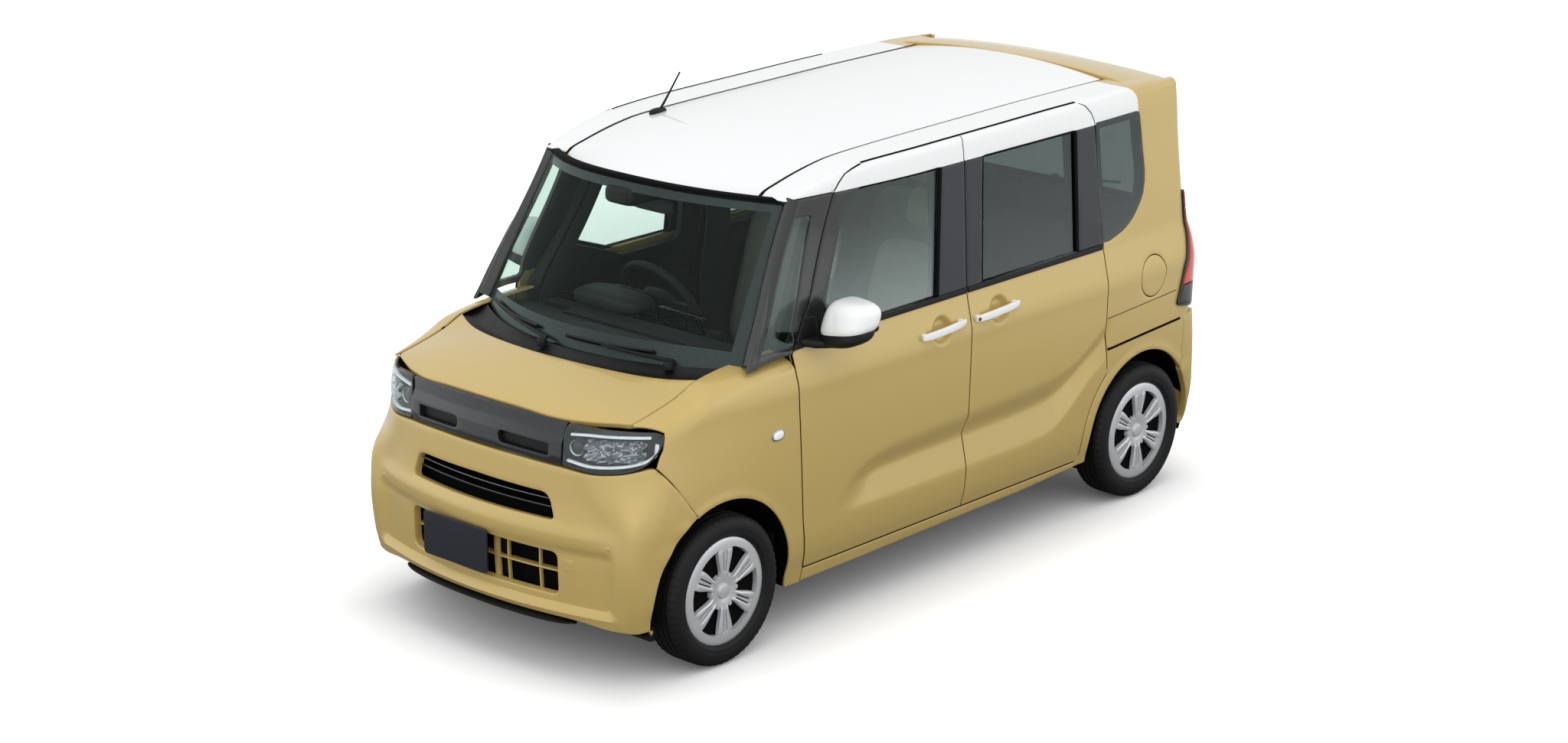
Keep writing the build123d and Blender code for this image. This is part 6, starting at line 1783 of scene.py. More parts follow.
@dataclass
class Top:
    """Roof with its lining, windscreen, cowl, wipers and antenna."""

    shop: Workshop

    def front_edge(self, y: Array) -> Array:
        """x of the roof's front edge, which the screen's top follows."""
        return SCREEN_TOP_X - 0.253 * (np.abs(y) / SCREEN_TOP_HALF) ** 2.2

    def build(self) -> None:
        """Makes the top of the body."""
        self.roof()
        self.screen()
        self.cowl()
        self.wipers()
        self.antenna()

    def roof(self) -> None:
        """White roof skin between the ditches, its front moulding and the headliner."""
        half = DITCH_Y - 0.010
        y = np.linspace(-1, 1, 31) * half
        front = np.stack([self.front_edge(y) - 0.006, y], axis=1)
        rear = np.array([(-1.2985, -half), (-1.3005, 0.0), (-1.2985, half)])
        shell = trimmed(SHAPE.roof, np.concatenate([rear, front[::-1]]), step=0.022, roll=0.004, thick=0.018,
                        outward=(0, 0, 1))
        self.shop.add("roof_skin", shell, "paint", "body", "roof_paint", ["roof_panel"])
        y = np.linspace(-0.600, 0.600, 41)
        low = SHAPE.screen(y, 1.587 + 0.033 * (1 - (np.abs(y) / 0.6) ** 2))
        path = low - (0.016, 0, -0.003)
        profile = outline([(-0.014, -0.010, 0.004), (0.014, -0.012, 0.004), (0.012, 0.006, 0.004),
                           (-0.014, 0.010, 0.004)], 3)
        self.shop.add("roof_front_moulding", swept(path, profile), "seal_and_gap_shade", "body", "black_trim")
        edge = np.array([(-1.25, -0.54), (0.64, -0.54), (0.82, -0.3), (0.88, 0.0), (0.82, 0.3), (0.64, 0.54),
                         (-1.25, 0.54)])
        bow = trimmed(SHAPE.roof, edge, step=0.05, roll=0.01, thick=0.012, outward=(0, 0, 1), lift=-0.055)
        self.shop.add("headliner", bow, "liner", "body", "cabin_plastic")

    def screen_ring(self, margin: float) -> Array:
        """Outline of the windscreen in (y, z), drawn in by a distance."""
        y = np.linspace(-1, 1, 41)
        top_z = 1.587 + 0.030 * (1 - np.abs(y) ** 2.2) - margin
        foot_z = SCREEN_FOOT_Z + 0.006 * (1 - np.abs(y) ** 2) + margin
        top = np.stack([y * (SCREEN_TOP_HALF - margin), top_z], axis=1)
        foot = np.stack([y[::-1] * (SCREEN_FOOT_HALF - margin), foot_z], axis=1)
        return np.concatenate([top, foot])

    def screen(self) -> None:
        """Windscreen with a black border, inner mirror and camera housing."""
        shell = trimmed(SHAPE.screen, self.screen_ring(0.0), step=0.03, roll=0.002, thick=0.005, outward=(1, 0, 0.5))
        self.shop.add("windscreen_glass", shell, "screen", "body", "clear_glass", ["windscreen"])
        y = np.linspace(-1, 1, 41)
        top = np.stack([y * 0.566, 1.560 + 0.026 * (1 - np.abs(y) ** 2.2)], axis=1)
        foot = np.stack([y[::-1] * 0.606, 1.128 - 0.02 * np.abs(y) ** 4], axis=1)
        border = trimmed(SHAPE.screen, self.screen_ring(0.002), [np.concatenate([top, foot])], step=0.02, roll=0.0006,
                         thick=0.002, outward=(1, 0, 0.5), lift=-0.0065)
        self.shop.add("windscreen_border", border, "film", "body", "gloss_black")
        pod = pillow((0.20, 0.150, 0.075), (0.862, 0.0, 1.558), (0.4, 0.5), (40, 16))
        self.shop.add("camera_housing", pod, "trim", "body", "cabin_plastic")
        glass = pillow((0.022, 0.225, 0.062), (0.775, 0.0, 1.500), (0.5, 0.45), (48, 18))
        stem = swept(np.array([(0.785, 0, 1.515), (0.812, 0, 1.560)]), circle(0.009, 12), up=(0, 1, 0))
        self.shop.add("cabin_mirror", glass.joined(stem), "trim", "body", "cabin_plastic")

    def cowl(self) -> None:
        """Ribbed black panel between the bonnet and the windscreen."""
        y = np.linspace(-1, 1, 97)
        t = np.linspace(0, 1, 17)
        yy, tt = grid(y, t)
        fore = np.stack([1.3465 - 0.172 * np.abs(yy) ** 2.0, yy * 0.602, 1.0455 - 0.008 * yy ** 2], axis=1)
        aft_y = yy * 0.655
        aft = SHAPE.screen(aft_y, np.full_like(aft_y, 1.050)) + (0.004, 0, 0.004)
        face = fore * (1 - tt)[:, None] + aft * tt[:, None]
        dip = 0.016 * np.sin(np.pi * tt) + 0.0016 * np.cos(yy * 190) * band(tt, 0.25, 0.7, 0.08) * (np.abs(yy) > 0.12)
        face[:, 2] -= dip
        self.shop.add("cowl_cover", slab(face, len(y), len(t), (0, 0, -0.012)), "trim", "body", "black_trim",
                      ["cowl_panel"])

    def wipers(self) -> None:
        """Two wiper arms with blades resting at the foot of the screen."""
        wipers = []
        for pivot, tip in (((1.255, -0.075), -0.520), ((1.150, 0.455), 0.005)):
            y = np.linspace(pivot[1], pivot[1] + 0.62 * (tip - pivot[1]), 12)
            rise = np.linspace(0, 1, 12)
            height = 1.068 + 0.018 * rise
            glass = SHAPE.screen(y, height)
            path = glass + np.stack([0.012 + 0.008 * (1 - rise), 0 * y, 0.006 + 0.004 * np.sin(np.pi * rise)], axis=1)
            arm = swept(path, outline([(-0.007, -0.003, 0.002), (0.007, -0.003, 0.002), (0.005, 0.005, 0.002),
                                       (-0.005, 0.005, 0.002)], 3), scale=1.25 - 0.5 * rise)
            y = np.linspace(pivot[1] + 0.18 * (tip - pivot[1]), tip, 24)
            path = SHAPE.screen(y, np.full_like(y, 1.090)) + (0.007, 0, 0.003)
            blade = swept(path, outline([(-0.002, -0.006), (0.002, -0.006), (0.007, 0.003, 0.002),
                                         (0.0, 0.009, 0.002), (-0.007, 0.003, 0.002)], 3))
            boss = lathe([(0.0, 0.012), (0.014, 0.012), (0.018, 0.006), (0.018, -0.016), (0.0, -0.016)], (0, 0, 0),
                         28, closed=False)
            turn = Matrix.Rotation(math.radians(90), 4, "X")
            boss = boss.moved(Matrix.Translation((pivot[0] + 0.012, pivot[1], 1.066)) @ turn)
            wipers.append(arm.joined(blade, boss))
        self.shop.add("screen_wipers", merged(wipers), "trim", "body", "black_trim", ["wipers"])

    def antenna(self) -> None:
        """Short mast laid back on a moulded foot."""
        z = float(at_point(SHAPE.roof, 0.335, -0.40)[2])
        foot = pillow((0.085, 0.036, 0.030), (0.330, -0.400, z + 0.004), (0.8, 0.8), (32, 12))
        path = np.array([(0.318, -0.40, z + 0.010), (0.29, -0.40, z + 0.040), (0.208, -0.40, 1.837)])
        mast = swept(path, circle(0.0042, 12), scale=np.array([1.3, 1.1, 0.8]))
        self.shop.add("mast", foot.joined(mast), "trim", "body", "black_trim", ["antenna"])


@dataclass
class RearEnd:
    """Tailgate with its glass and spoiler, tail lamps and rear bumper."""

    shop: Workshop
    half: float = 0.598

    def build(self) -> None:
        """Makes the rear of the car."""
        self.gate()
        self.gate_glass()
        self.spoiler()
        self.bumper()
        for hand in BOTH:
            self.lamp(hand)

    def face(self, y: Array, z: Array) -> Array:
        """Rear face of the tailgate, with a pressed field round the plate."""
        pressed = 0.020 * band(z, 0.80, 0.985, 0.012) * (1 - ease(np.abs(y), 0.225, 0.26))
        rib = 0.006 * hill(z, 1.04, 0.045)
        return np.stack([SHAPE.tail_x(y, z) + pressed - rib, y, z], axis=1)

    def gate(self) -> None:
        """Tailgate skin and lining, the blank plate and the lamp bar over it."""
        half = self.half
        edge = outline([(-half, 0.7235, 0.03), (half, 0.7235, 0.03), (half, 1.66, 0.03), (-half, 1.66, 0.03)])
        window = outline([(-0.548, 1.135, 0.05), (0.548, 1.135, 0.05), (0.515, 1.560, 0.05), (-0.515, 1.560, 0.05)])
        shell = trimmed(self.face, edge, [window], step=0.018, roll=0.005, thick=0.007, outward=(-1, 0, 0))
        self.shop.add("tailgate_skin", shell, "paint", "tailgate", "body_paint", ["tailgate"])
        inner = outline([(-0.56, 0.76, 0.05), (0.56, 0.76, 0.05), (0.56, 1.63, 0.05), (-0.56, 1.63, 0.05)])
        lining = trimmed(self.face, inner, [window], step=0.04, roll=0.010, thick=0.045, outward=(-1, 0, 0),
                         lift=-0.010)
        self.shop.add("tailgate_lining", lining, "cabin", "tailgate", "cabin_plastic")
        plate = pillow((0.006, *PLATE), (-1.6600, 0, 0.893), (0.12, 0.12), (48, 12))
        self.shop.add("rear_plate_blank", plate, "film", "tailgate", "gloss_black")
        y, z = np.linspace(-0.29, 0.29, 20), np.full(20, 1.008)
        profile = outline([(-0.014, -0.016, 0.006), (0.010, -0.018, 0.006), (0.014, 0.016, 0.006),
                           (-0.014, 0.018, 0.006)], 3)
        bar = swept(np.stack([SHAPE.tail_x(y, z) - 0.010, y, z], axis=1), profile)
        self.shop.add("plate_lamp_bar", bar, "paint", "tailgate", "body_paint")

    def gate_glass(self) -> None:
        """Rear window, its dark border and the rear wiper."""
        ring = outline([(-0.566, 1.118, 0.05), (0.566, 1.118, 0.05), (0.532, 1.600, 0.03), (-0.532, 1.600, 0.03)])
        shell = trimmed(self.face, ring, step=0.03, roll=0.002, thick=0.005, outward=(-1, 0, 0), lift=0.0035)
        self.shop.add("rear_window", shell, "privacy", "tailgate", "privacy_glass", ["tailgate_glass"])
        hole = outline([(-0.515, 1.165, 0.05), (0.515, 1.165, 0.05), (0.488, 1.545, 0.05), (-0.488, 1.545, 0.05)])
        border = trimmed(self.face, inset(ring, 0.012, 0.002), [hole], step=0.02, roll=0.0005, thick=0.0012,
                         outward=(-1, 0, 0), lift=-0.0018)
        self.shop.add("rear_window_border", border, "film", "tailgate", "gloss_black")
        y = np.linspace(0.02, 0.34, 16)
        z = 1.155 + 0.10 * np.linspace(0, 1, 16) ** 1.2 * 0.4
        path = np.stack([SHAPE.tail_x(y, z) - 0.016, y, z], axis=1)
        arm = swept(path, rounded_box(0.007, 0.004, 0.002))
        pivot_x = float(at_point(SHAPE.tail_x, 0.0, 1.150)) - 0.012
        boss = pillow((0.036, 0.046, 0.046), (pivot_x, 0.0, 1.150), (1, 1), (28, 12))
        self.shop.add("rear_wiper", arm.joined(boss), "trim", "tailgate", "black_trim")

    def spoiler(self) -> None:
        """Roof spoiler at the head of the tailgate with the high brake lamp."""
        front_x, bow_x = -1.3035, -1.40
        y = np.linspace(-0.598, 0.598, 61)
        section = outline([(front_x, 0.0, 0.004), (bow_x, 0.001, 0), (-1.56, -0.014, 0), (-1.664, -0.036, 0.012),
                           (-1.668, -0.052, 0.010), (-1.60, -0.072, 0.02), (-1.575, -0.105, 0.01),
                           (-1.56, -0.105, 0.01), (-1.54, -0.055, 0.02), (front_x, -0.022, 0.004)], 5)
        end = ease(np.abs(y), 0.530, 0.597)
        rows = []
        for yy, e in zip(y, end):
            bowed = section[:, 0] + 0.020 * (abs(yy) / 0.6) ** 3 * (bow_x - section[:, 0]) / 0.26
            x = np.where(section[:, 0] < bow_x, bowed, section[:, 0])
            base = SHAPE.roof(section[:, 0], np.full(len(section), yy))[:, 2]
            top = SHAPE.roof(np.full(len(section), front_x), np.full(len(section), yy))[:, 2]
            droop = top * 0.62 + base * 0.38
            rows.append(np.stack([x, np.full(len(section), yy), droop + section[:, 1] - 0.004 * e ** 2], axis=1))
        points = np.array(rows).reshape(-1, 3)
        n = len(section)
        faces = [grid_faces(len(y), n, False, True)]
        points = np.vstack([points, points[:n].mean(axis=0), points[-n:].mean(axis=0)])
        faces += end_fans(len(y), n)
        self.shop.add("roof_spoiler", facing(Shell(points, faces)), "paint", "tailgate", "roof_paint")
        lamp = pillow((0.012, 0.26, 0.016), (-1.6655, 0, 1.668), (0.3, 0.4), (40, 10))
        self.shop.add("high_brake_lamp", lamp, "red", "tailgate", "lamp_red")

    def lamp(self, hand: Hand) -> None:
        """Tall tail lamp wrapped round the corner."""
        ring = outline([(-1.598, 1.235, 0.015), (-1.700, 1.200, 0.02), (-1.7135, 0.742, 0.02), (-1.640, 0.738, 0.03),
                        (-1.520, 0.766, 0.02), (-1.560, 0.90, 0.2), (-1.592, 1.06, 0.2)])
        inner = inset(ring, 0.01, 0.010)
        rim = trimmed(SHAPE.side, ring, [inner], step=0.012, roll=0.003, thick=0.010, lift=0.0105)
        self.shop.side(hand, "tail_lamp_rim", rim, "pillar", "body", "gloss_black", hand.once("tail_lamps"))
        split_low, split_high = 0.845, 1.150
        for key, low, high, finish in (("low", 0.0, split_low, "pillar"),
                                       ("mid", split_low + 0.004, split_high, "red"),
                                       ("high", split_high + 0.004, 2.0, "red")):
            part = clipped(inner, low, high)
            lens = trimmed(SHAPE.side, part, step=0.012, roll=0.003, thick=0.014, lift=0.0125)
            self.shop.side(hand, f"tail_lens_{key}", lens, finish, "body", "lamp_red")

    def bumper(self) -> None:
        """Rear bumper skin with its dark foot and reflectors."""
        arch = arc(REAR_HUB, ARCH_RADIUS, 143.0, 192, 24)
        rows = TAIL.along([("y", 0.0, 0.718, 0), ("y", 0.598, 0.718, 0.01)])
        rows += TAIL.along([("x", 1.66, 0.722), ("x", 1.586, 0.700)])
        rows += TAIL.along([("x", -x, z) for x, z in arch[1:]])
        rows += TAIL.along([("x", 1.655, 0.222, 0.03), ("y", 0.56, 0.212, 0.04), ("y", 0.0, 0.212, 0)])
        full = rows + [(-s, z, r) for s, z, r in reversed(rows)]
        shell = trimmed(TAIL.surface, outline(full), step=0.018, roll=0.005, thick=0.028, outward=(-1, 0, 0))
        self.shop.add("rear_bumper_skin", shell, "paint", "body", "body_paint", ["rear_bumper"])
        foot = outline(TAIL.along([("y", -0.50, 0.245, 0.02), ("y", 0.50, 0.245, 0.02), ("y", 0.47, 0.345, 0.03),
                                   ("y", -0.47, 0.345, 0.03)]))
        foot = trimmed(TAIL.surface, foot, step=0.02, roll=0.003, thick=0.006, outward=(-1, 0, 0), lift=0.002)
        self.shop.add("rear_bumper_foot", foot, "trim", "body", "black_trim")
        for hand in BOTH:
            corners = ((0.50, 0.425), (0.60, 0.425), (0.60, 0.462), (0.50, 0.462))
            ring = outline(TAIL.along([("y", hand.value * y, z, 0.008) for y, z in corners]))
            # The reflectors take the tail lamps' glowing red: a painted glow, since they are no lamps.
            glow = trimmed(TAIL.surface, ring, step=0.01, roll=0.002, thick=0.006, outward=(-1, 0, 0), lift=0.003)
            self.shop.add(f"rear_reflector_{hand.word}", glow, "red", "body", "lamp_red")


def clipped(ring: Array, low: float, high: float) -> Array:
    """Part of an outline between two values of its second coordinate."""
    for level, keep_above in ((low, True), (high, False)):
        kept = []
        for here, there in zip(ring, np.roll(ring, -1, axis=0)):
            in_here = (here[1] >= level) == keep_above
            in_there = (there[1] >= level) == keep_above
            if in_here:
                kept.append(here)
            if in_here != in_there:
                t = (level - here[1]) / (there[1] - here[1])
                kept.append(here + (there - here) * t)
        ring = np.array(kept)
    return ring


@dataclass
class Wheels:
    """Tyres with grooves and blank walls, and covers with six broad spokes."""

    shop: Workshop
    spokes: int = 6
    tread_steps: int = 180

    def build(self) -> None:
        """Makes the four wheels."""
        for hand in BOTH:
            for end, x in (("front", FRONT_AXLE), ("rear", REAR_AXLE)):
                self.wheel(hand, f"wheel_{end}_{hand.word}", f"tyre_{end}_{hand.word}", x)

    def wheel(self, hand: Hand, body: str, tyre: str, x: float) -> None:
        """One wheel, made on the left and mirrored for the right."""
        at = (x, WHEEL_Y, AXLE_Z)
        self.shop.add(tyre + "_tread", self.tyre(at).mirrored(hand), "rubber", body, "tyre_rubber", [tyre], sharp=40)
        rim = lathe([(0.1775, 0.0515), (0.1875, 0.0530), (0.190, 0.0520), (0.188, 0.050), (0.178, 0.046),
                     (0.172, 0.020), (0.160, -0.010), (0.160, -0.055), (0.188, -0.066), (0.188, -0.071),
                     (0.176, -0.069), (0.154, -0.056), (0.154, -0.008), (0.166, 0.022), (0.172, 0.050)], at, 72)
        hub = lathe([(0.0, 0.030), (0.060, 0.030), (0.072, 0.022), (0.150, 0.004), (0.158, -0.004), (0.150, -0.010),
                     (0.066, 0.000), (0.0, 0.004)], at, 48, closed=False)
        self.shop.add(body + "_steel", rim.joined(hub).mirrored(hand), "chassis", body, "chassis_black", [body])
        cover, shaded_window_faces = self.cover()
        cover = Shell(cover.points + at, cover.faces)
        # The cover's window and slot faces take the near-black finish: painted shade where the real cover has holes.
        self.shop.add(body + "_cover", cover.mirrored(hand), "cover", body, "wheel_silver", sharp=28,
                      patch=("shade", shaded_window_faces))
        cap = lathe([(0.0, 0.0665), (0.018, 0.0662), (0.0255, 0.0645), (0.0275, 0.061), (0.0275, 0.054),
                     (0.0, 0.054)], at, 40, closed=False)
        self.shop.add(body + "_centre", cap.mirrored(hand), "cover", body, "wheel_silver")

    def tyre(self, at: Sequence[float]) -> Shell:
        """Tyre with four grooves round and slots across the shoulders."""
        wall = [(0.1800, 0.0560), (0.1900, 0.0585), (0.1985, 0.0615), (0.2030, 0.0660), (0.2120, 0.0735),
                (0.2145, 0.0752), (0.2165, 0.0748), (0.2260, 0.0778), (0.2360, 0.0786), (0.2480, 0.0770),
                (0.2600, 0.0728), (0.2690, 0.0668), (0.2750, 0.0590)]
        tread = []
        for groove in (0.040, 0.0145):
            tread += [(0.2772, groove + 0.004), (0.2705, groove + 0.0028), (0.2705, groove - 0.0028),
                      (0.2776, groove - 0.004)]
        right = wall + tread
        left = [(r, -y) for r, y in reversed(right)]
        bead = [(0.1720, -0.060), (0.1720, 0.060)]
        shell = lathe(right + left + bead, at, self.tread_steps)
        points = shell.points - at
        radius = np.hypot(points[:, 0], points[:, 2])
        angle = np.arctan2(points[:, 2], points[:, 0])
        step = np.round(angle / (2 * np.pi / self.tread_steps)).astype(int)
        shoulder = band(np.abs(points[:, 1]), 0.050, 0.069, 0.003) * (radius > 0.255)
        cut = 1 - 0.020 * shoulder * (step % 3 == 0)
        points[:, 0] *= cut
        points[:, 2] *= cut
        low = points[:, 2] < -0.2765
        points[low, 2] = np.maximum(points[low, 2], -0.2783)
        return Shell(points + at, shell.faces)

    def cover(self) -> tuple[Shell, Array]:
        """Silver cover of broad spokes with two grooves each, and which of its faces are painted dark as the shade in
        its windows and slots, where the real cover is open.
        """
        radii = np.concatenate([np.linspace(0.026, 0.056, 6), np.linspace(0.058, 0.082, 13),
                                np.linspace(0.088, 0.142, 9), np.linspace(0.146, 0.1615, 7), (0.1625, 0.1640, 0.1655),
                                np.linspace(0.168, 0.2015, 13)])
        turn = 2 * np.pi / self.spokes
        reach = np.maximum(radii, 0.058)
        half, slot_half = self.spoke_width(reach)
        marks = np.stack([0 * reach, slot_half - 0.0030, slot_half - 0.0012, slot_half + 0.0012, slot_half + 0.0030,
                          (slot_half + half) / 2, half - 0.0014, half + 0.0014, reach * turn / 2]) / reach
        one_side = np.concatenate([marks[:1]] + [low + (high - low) * np.linspace(0, 1, n + 1)[1:, None]
                                                 for low, high, n in zip(marks, marks[1:], (2, 2, 2, 2, 2, 2, 3, 4))])
        sector = np.concatenate([-one_side[:0:-1], one_side[:-1]])
        count = len(sector) * self.spokes
        across = np.tile(sector, (self.spokes, 1)).T.ravel()
        aa = (sector + turn * (np.arange(self.spokes)[:, None, None] + 0.5)).reshape(count, -1).T.ravel()
        rr = np.repeat(radii, count)
        arm = np.abs(across) * rr
        half, slot_half = self.spoke_width(rr)
        inner_edge, outer_edge = 0.060 + 0.010 * ease(arm, 0.02, 0.03), 0.1640
        window = (ease(arm, half - 0.0014, half + 0.0014) * ease(rr, inner_edge - 0.002, inner_edge + 0.003)
                  * (1 - ease(rr, outer_edge - 0.0015, outer_edge + 0.0015)))
        groove = 1 - ease(np.abs(arm - slot_half), 0.0012, 0.0030)
        slot = groove * ease(rr, 0.070, 0.080) * (1 - ease(rr, 0.148, 0.154))
        crown = np.interp(rr, (0.026, 0.045, 0.08, 0.12, 0.150, 0.166, 0.178, 0.190, 0.198, 0.2015),
                          (0.0565, 0.0610, 0.0645, 0.0668, 0.0676, 0.0677, 0.0670, 0.0652, 0.0622, 0.0580))
        off_ridge = ease(np.abs(arm - (slot_half + half) / 2), 0, (half - slot_half) * 0.5)
        ridge = 0.0030 * (1 - off_ridge) * band(rr, 0.060, 0.156, 0.010)
        y = crown + ridge - 0.018 * window - 0.010 * slot
        face = np.stack([rr * np.cos(aa), y, rr * np.sin(aa)], axis=1)
        rows, n = len(radii), len(radii) * count
        kept = (np.array([0, 4, 5, 18, 27, 38, 39, 44, rows - 1])[:, None] * count + np.arange(count)).ravel()
        back = face[kept]
        back[:, 1] = crown[kept] - np.interp(rr[kept], (0.050, 0.056, 0.168, 0.172), (0.007, 0.0225, 0.0225, 0.007))
        quads, back_quads = grid_faces(rows, count, False, True), grid_faces(len(kept) // count, count, False, True)
        ids = np.arange(count)
        inner = np.stack([ids, np.roll(ids, -1), np.roll(ids, -1) + n, ids + n], axis=1)
        outer_ids, last = ids + (rows - 1) * count, ids + n + len(kept) - count
        outer = np.stack([outer_ids, np.roll(outer_ids, -1), np.roll(last, -1), last], axis=1)
        # Faces deep in the windows and slots, painted dark as the shade of holes.
        painted_hole_shade = np.maximum(window[quads].min(axis=1), slot[quads].min(axis=1)) > 0.55
        faces = [quads, back_quads[:, ::-1] + n, inner[:, ::-1], outer]
        return facing(Shell(np.concatenate([face, back]), faces)), painted_hole_shade

    def spoke_width(self, radius: Array) -> tuple[Array, Array]:
        """Half widths of a spoke and of its pair of grooves at a radius."""
        return 0.0205 + 0.0175 * ease(radius, 0.060, 0.160), 0.0055 + 0.0030 * ease(radius, 0.065, 0.150)


@dataclass
class Underneath:
    """Arch liners, and the CAD's own chassis pieces dressed."""

    shop: Workshop

    def build(self) -> None:
        """Makes liners and dresses the mechanical nodes."""
        for hand in BOTH:
            for word, x in (("front", FRONT_AXLE), ("rear", REAR_AXLE)):
                self.liner(hand, word, x)
        for node, finish in (("underbody", "chassis"), ("engine_block", "cast"), ("fuel_tank", "chassis"),
                             ("exhaust", "steel"), ("front_suspension", "chassis"), ("rear_axle_beam", "chassis"),
                             ("knuckle_left", "cast"), ("knuckle_right", "cast"), ("steering_column", "cabin")):
            self.shop.dress(node, finish)

    def liner(self, hand: Hand, word: str, x: float) -> None:
        """Half drum over a wheel with a wall at its inner side."""
        a = np.radians(np.linspace(-14, 194, 40))
        y = np.array([0.722, 0.705, 0.62, 0.53, 0.47, 0.462])
        radius = np.array([0.3445, 0.352, 0.356, 0.354, 0.345, 0.335])
        if word == "rear":
            y = y - 0.004
        aa, ii = grid(a, np.arange(len(y)))
        grow = 0.004
        points = [np.stack([x + (radius[ii] + g) * np.cos(aa), y[ii], AXLE_Z + (radius[ii] + g) * np.sin(aa)], axis=1)
                  for g in (0.0, grow)]
        skin = SHAPE.side_y(points[0][:, 0], points[0][:, 2]) - 0.012
        for layer in points:
            layer[:, 1] = np.minimum(layer[:, 1], skin)
        shell = slab(points[0], len(a), len(y), (0, 0, 0))
        shell.points[len(points[0]):] = points[1]
        self.shop.add(f"wheel_liner_{word}_{hand.word}", facing(shell).mirrored(hand), "shade", "body", "black_trim")


@dataclass
class Cabin:
    """Dashboard, wheel, seats and trim seen through the glass."""

    shop: Workshop
    wheel_at: tuple = (0.400, -0.320, 0.985)
    wheel_radius: float = 0.178
    tilt: float = 28.0
    seat_y: float = 0.335
    bench_y: float = 0.285

    def build(self) -> None:
        """Makes the cabin."""
        self.dashboard()
        self.steering_wheel()
        for hand in BOTH:
            self.seat(hand)
        self.bench()

    def dashboard(self) -> None:
        """Rolled dash top with a hood, screen, vents and a centre stack."""
        y = np.linspace(-0.655, 0.655, 61)
        path = np.stack([0.80 - 0.02 * (y / 0.65) ** 2, y, np.full_like(y, 0.90)], axis=1)
        profile = outline([(-0.335, 0.118, 0.02), (-0.10, 0.125, 0.04), (0.155, 0.075, 0.05), (0.165, -0.02, 0.05),
                           (0.115, -0.12, 0.05), (-0.05, -0.20, 0.05), (-0.10, -0.20, 0.02), (-0.335, 0.09, 0.01)], 5)
        hull = swept(path, profile * (-1, 1))
        self.shop.add("dash_panel", hull, "cabin", "body", "cabin_plastic", ["dashboard"])
        hood = pillow((0.16, 0.34, 0.075), (0.655, -0.32, 1.045), (0.5, 0.6), (48, 16))
        self.shop.add("dash_hood", hood, "cabin", "body", "cabin_plastic")
        dial = pillow((0.006, 0.27, 0.058), (0.573, -0.32, 1.046), (0.4, 0.5), (40, 12))
        self.shop.add("dash_dials", dial, "pillar", "body", "gloss_black")
        screen = pillow((0.022, 0.235, 0.145), (0.628, 0.01, 0.985), (0.12, 0.12), (40, 14))
        self.shop.add("dash_screen", screen, "pillar", "body", "gloss_black")
        stack = pillow((0.10, 0.22, 0.24), (0.665, 0.01, 0.800), (0.25, 0.25), (40, 20))
        self.shop.add("dash_stack", stack, "cabin", "body", "cabin_plastic")
        vents = merged([pillow((0.030, 0.075, 0.060), (0.630, vent_y, 0.985), (0.3, 0.3), (28, 12))
                        for vent_y in (-0.60, 0.60, -0.165, 0.185)])
        self.shop.add("dash_vents", vents, "trim", "body", "cabin_plastic")
        lever = swept(np.array([(0.60, 0.01, 0.86), (0.545, 0.01, 0.90), (0.520, 0.01, 0.935)]), circle(0.009, 12),
                      up=(0, 1, 0))
        knob = pillow((0.036, 0.030, 0.050), (0.516, 0.01, 0.948), (0.8, 0.8), (24, 12))
        self.shop.add("gear_lever", lever.joined(knob), "trim", "body", "cabin_plastic")

    def steering_wheel(self) -> None:
        """Three-spoked steering wheel about the column's axis."""
        a = np.linspace(0, 2 * np.pi, 72, endpoint=False)
        ring = np.stack([self.wheel_radius * np.cos(a), 0 * a, self.wheel_radius * np.sin(a)], axis=1)
        rim = swept(ring, circle(0.0155, 14), up=(0, 1, 0), closed=True)
        hub = pillow((0.150, 0.050, 0.120), (0, -0.006, 0), (0.6, 0.6), (40, 16))
        for angle in (0, 180, 262):
            c, s = math.cos(math.radians(angle)), math.sin(math.radians(angle))
            path = np.array([(0.05 * c, 0.0, 0.05 * s), (0.11 * c, -0.002, 0.11 * s), (0.172 * c, 0.0, 0.172 * s)])
            hub = hub.joined(swept(path, rounded_box(0.018, 0.007, 0.004), up=(0, 1, 0)))
        turn = (Matrix.Translation(self.wheel_at) @ Matrix.Rotation(math.radians(-self.tilt), 4, "Y").inverted()
                @ Matrix.Rotation(math.radians(90), 4, "Z"))
        self.shop.add("wheel_ring", rim.joined(hub).moved(turn), "cabin", "steering_wheel", "cabin_plastic",
                      ["steering_wheel"])

    def seat(self, hand: Hand) -> None:
        """Front seat: cushion, back and head rest on a dark base."""
        y, seam_y, back_seam_y = self.seat_y, 0.165, 0.155
        base = pillow((0.46, 0.46, 0.16), (0.02, y, 0.43), (0.25, 0.25), (40, 12))
        self.shop.side(hand, "seat_base", base, "cabin", "body", "cabin_plastic", hand.once("front_seats"))
        lean = Matrix.Translation((-0.235, y, 0.60)) @ Matrix.Rotation(math.radians(-17), 4, "Y")
        cushion = stuffed(pillow((0.53, 0.49, 0.14), (0.035, y, 0.575), (0.35, 0.35), (64, 24)), most=0.014,
                          voxel=0.019)
        cushion = sewn(cushion, np.abs(np.abs(cushion.points[:, 1] - y) - seam_y))
        outside = np.abs(cushion.points[:, 1] - y) > seam_y
        cushion = sewn(cushion, np.abs(cushion.points[:, 0] - 0.06) + PAST_SEAMS * outside)
        back = stuffed(pillow((0.12, 0.47, 0.61), (0.0, 0, 0.31), (0.4, 0.35), (48, 36)), most=0.014, voxel=0.019)
        back = sewn(back, np.abs(np.abs(back.points[:, 1]) - back_seam_y))
        outside = np.abs(back.points[:, 1]) > back_seam_y
        back = sewn(back, np.abs(back.points[:, 2] - 0.42) + PAST_SEAMS * outside).moved(lean)
        rest = stuffed(pillow((0.095, 0.25, 0.16), (0.0, 0, 0.735), (0.5, 0.45), (40, 20)), most=0.006)
        rest = sewn(rest, rest.points[:, 0] - 0.012, 0.003, 0.008).moved(lean)
        self.covers(hand, "seat", cushion, back, rest)

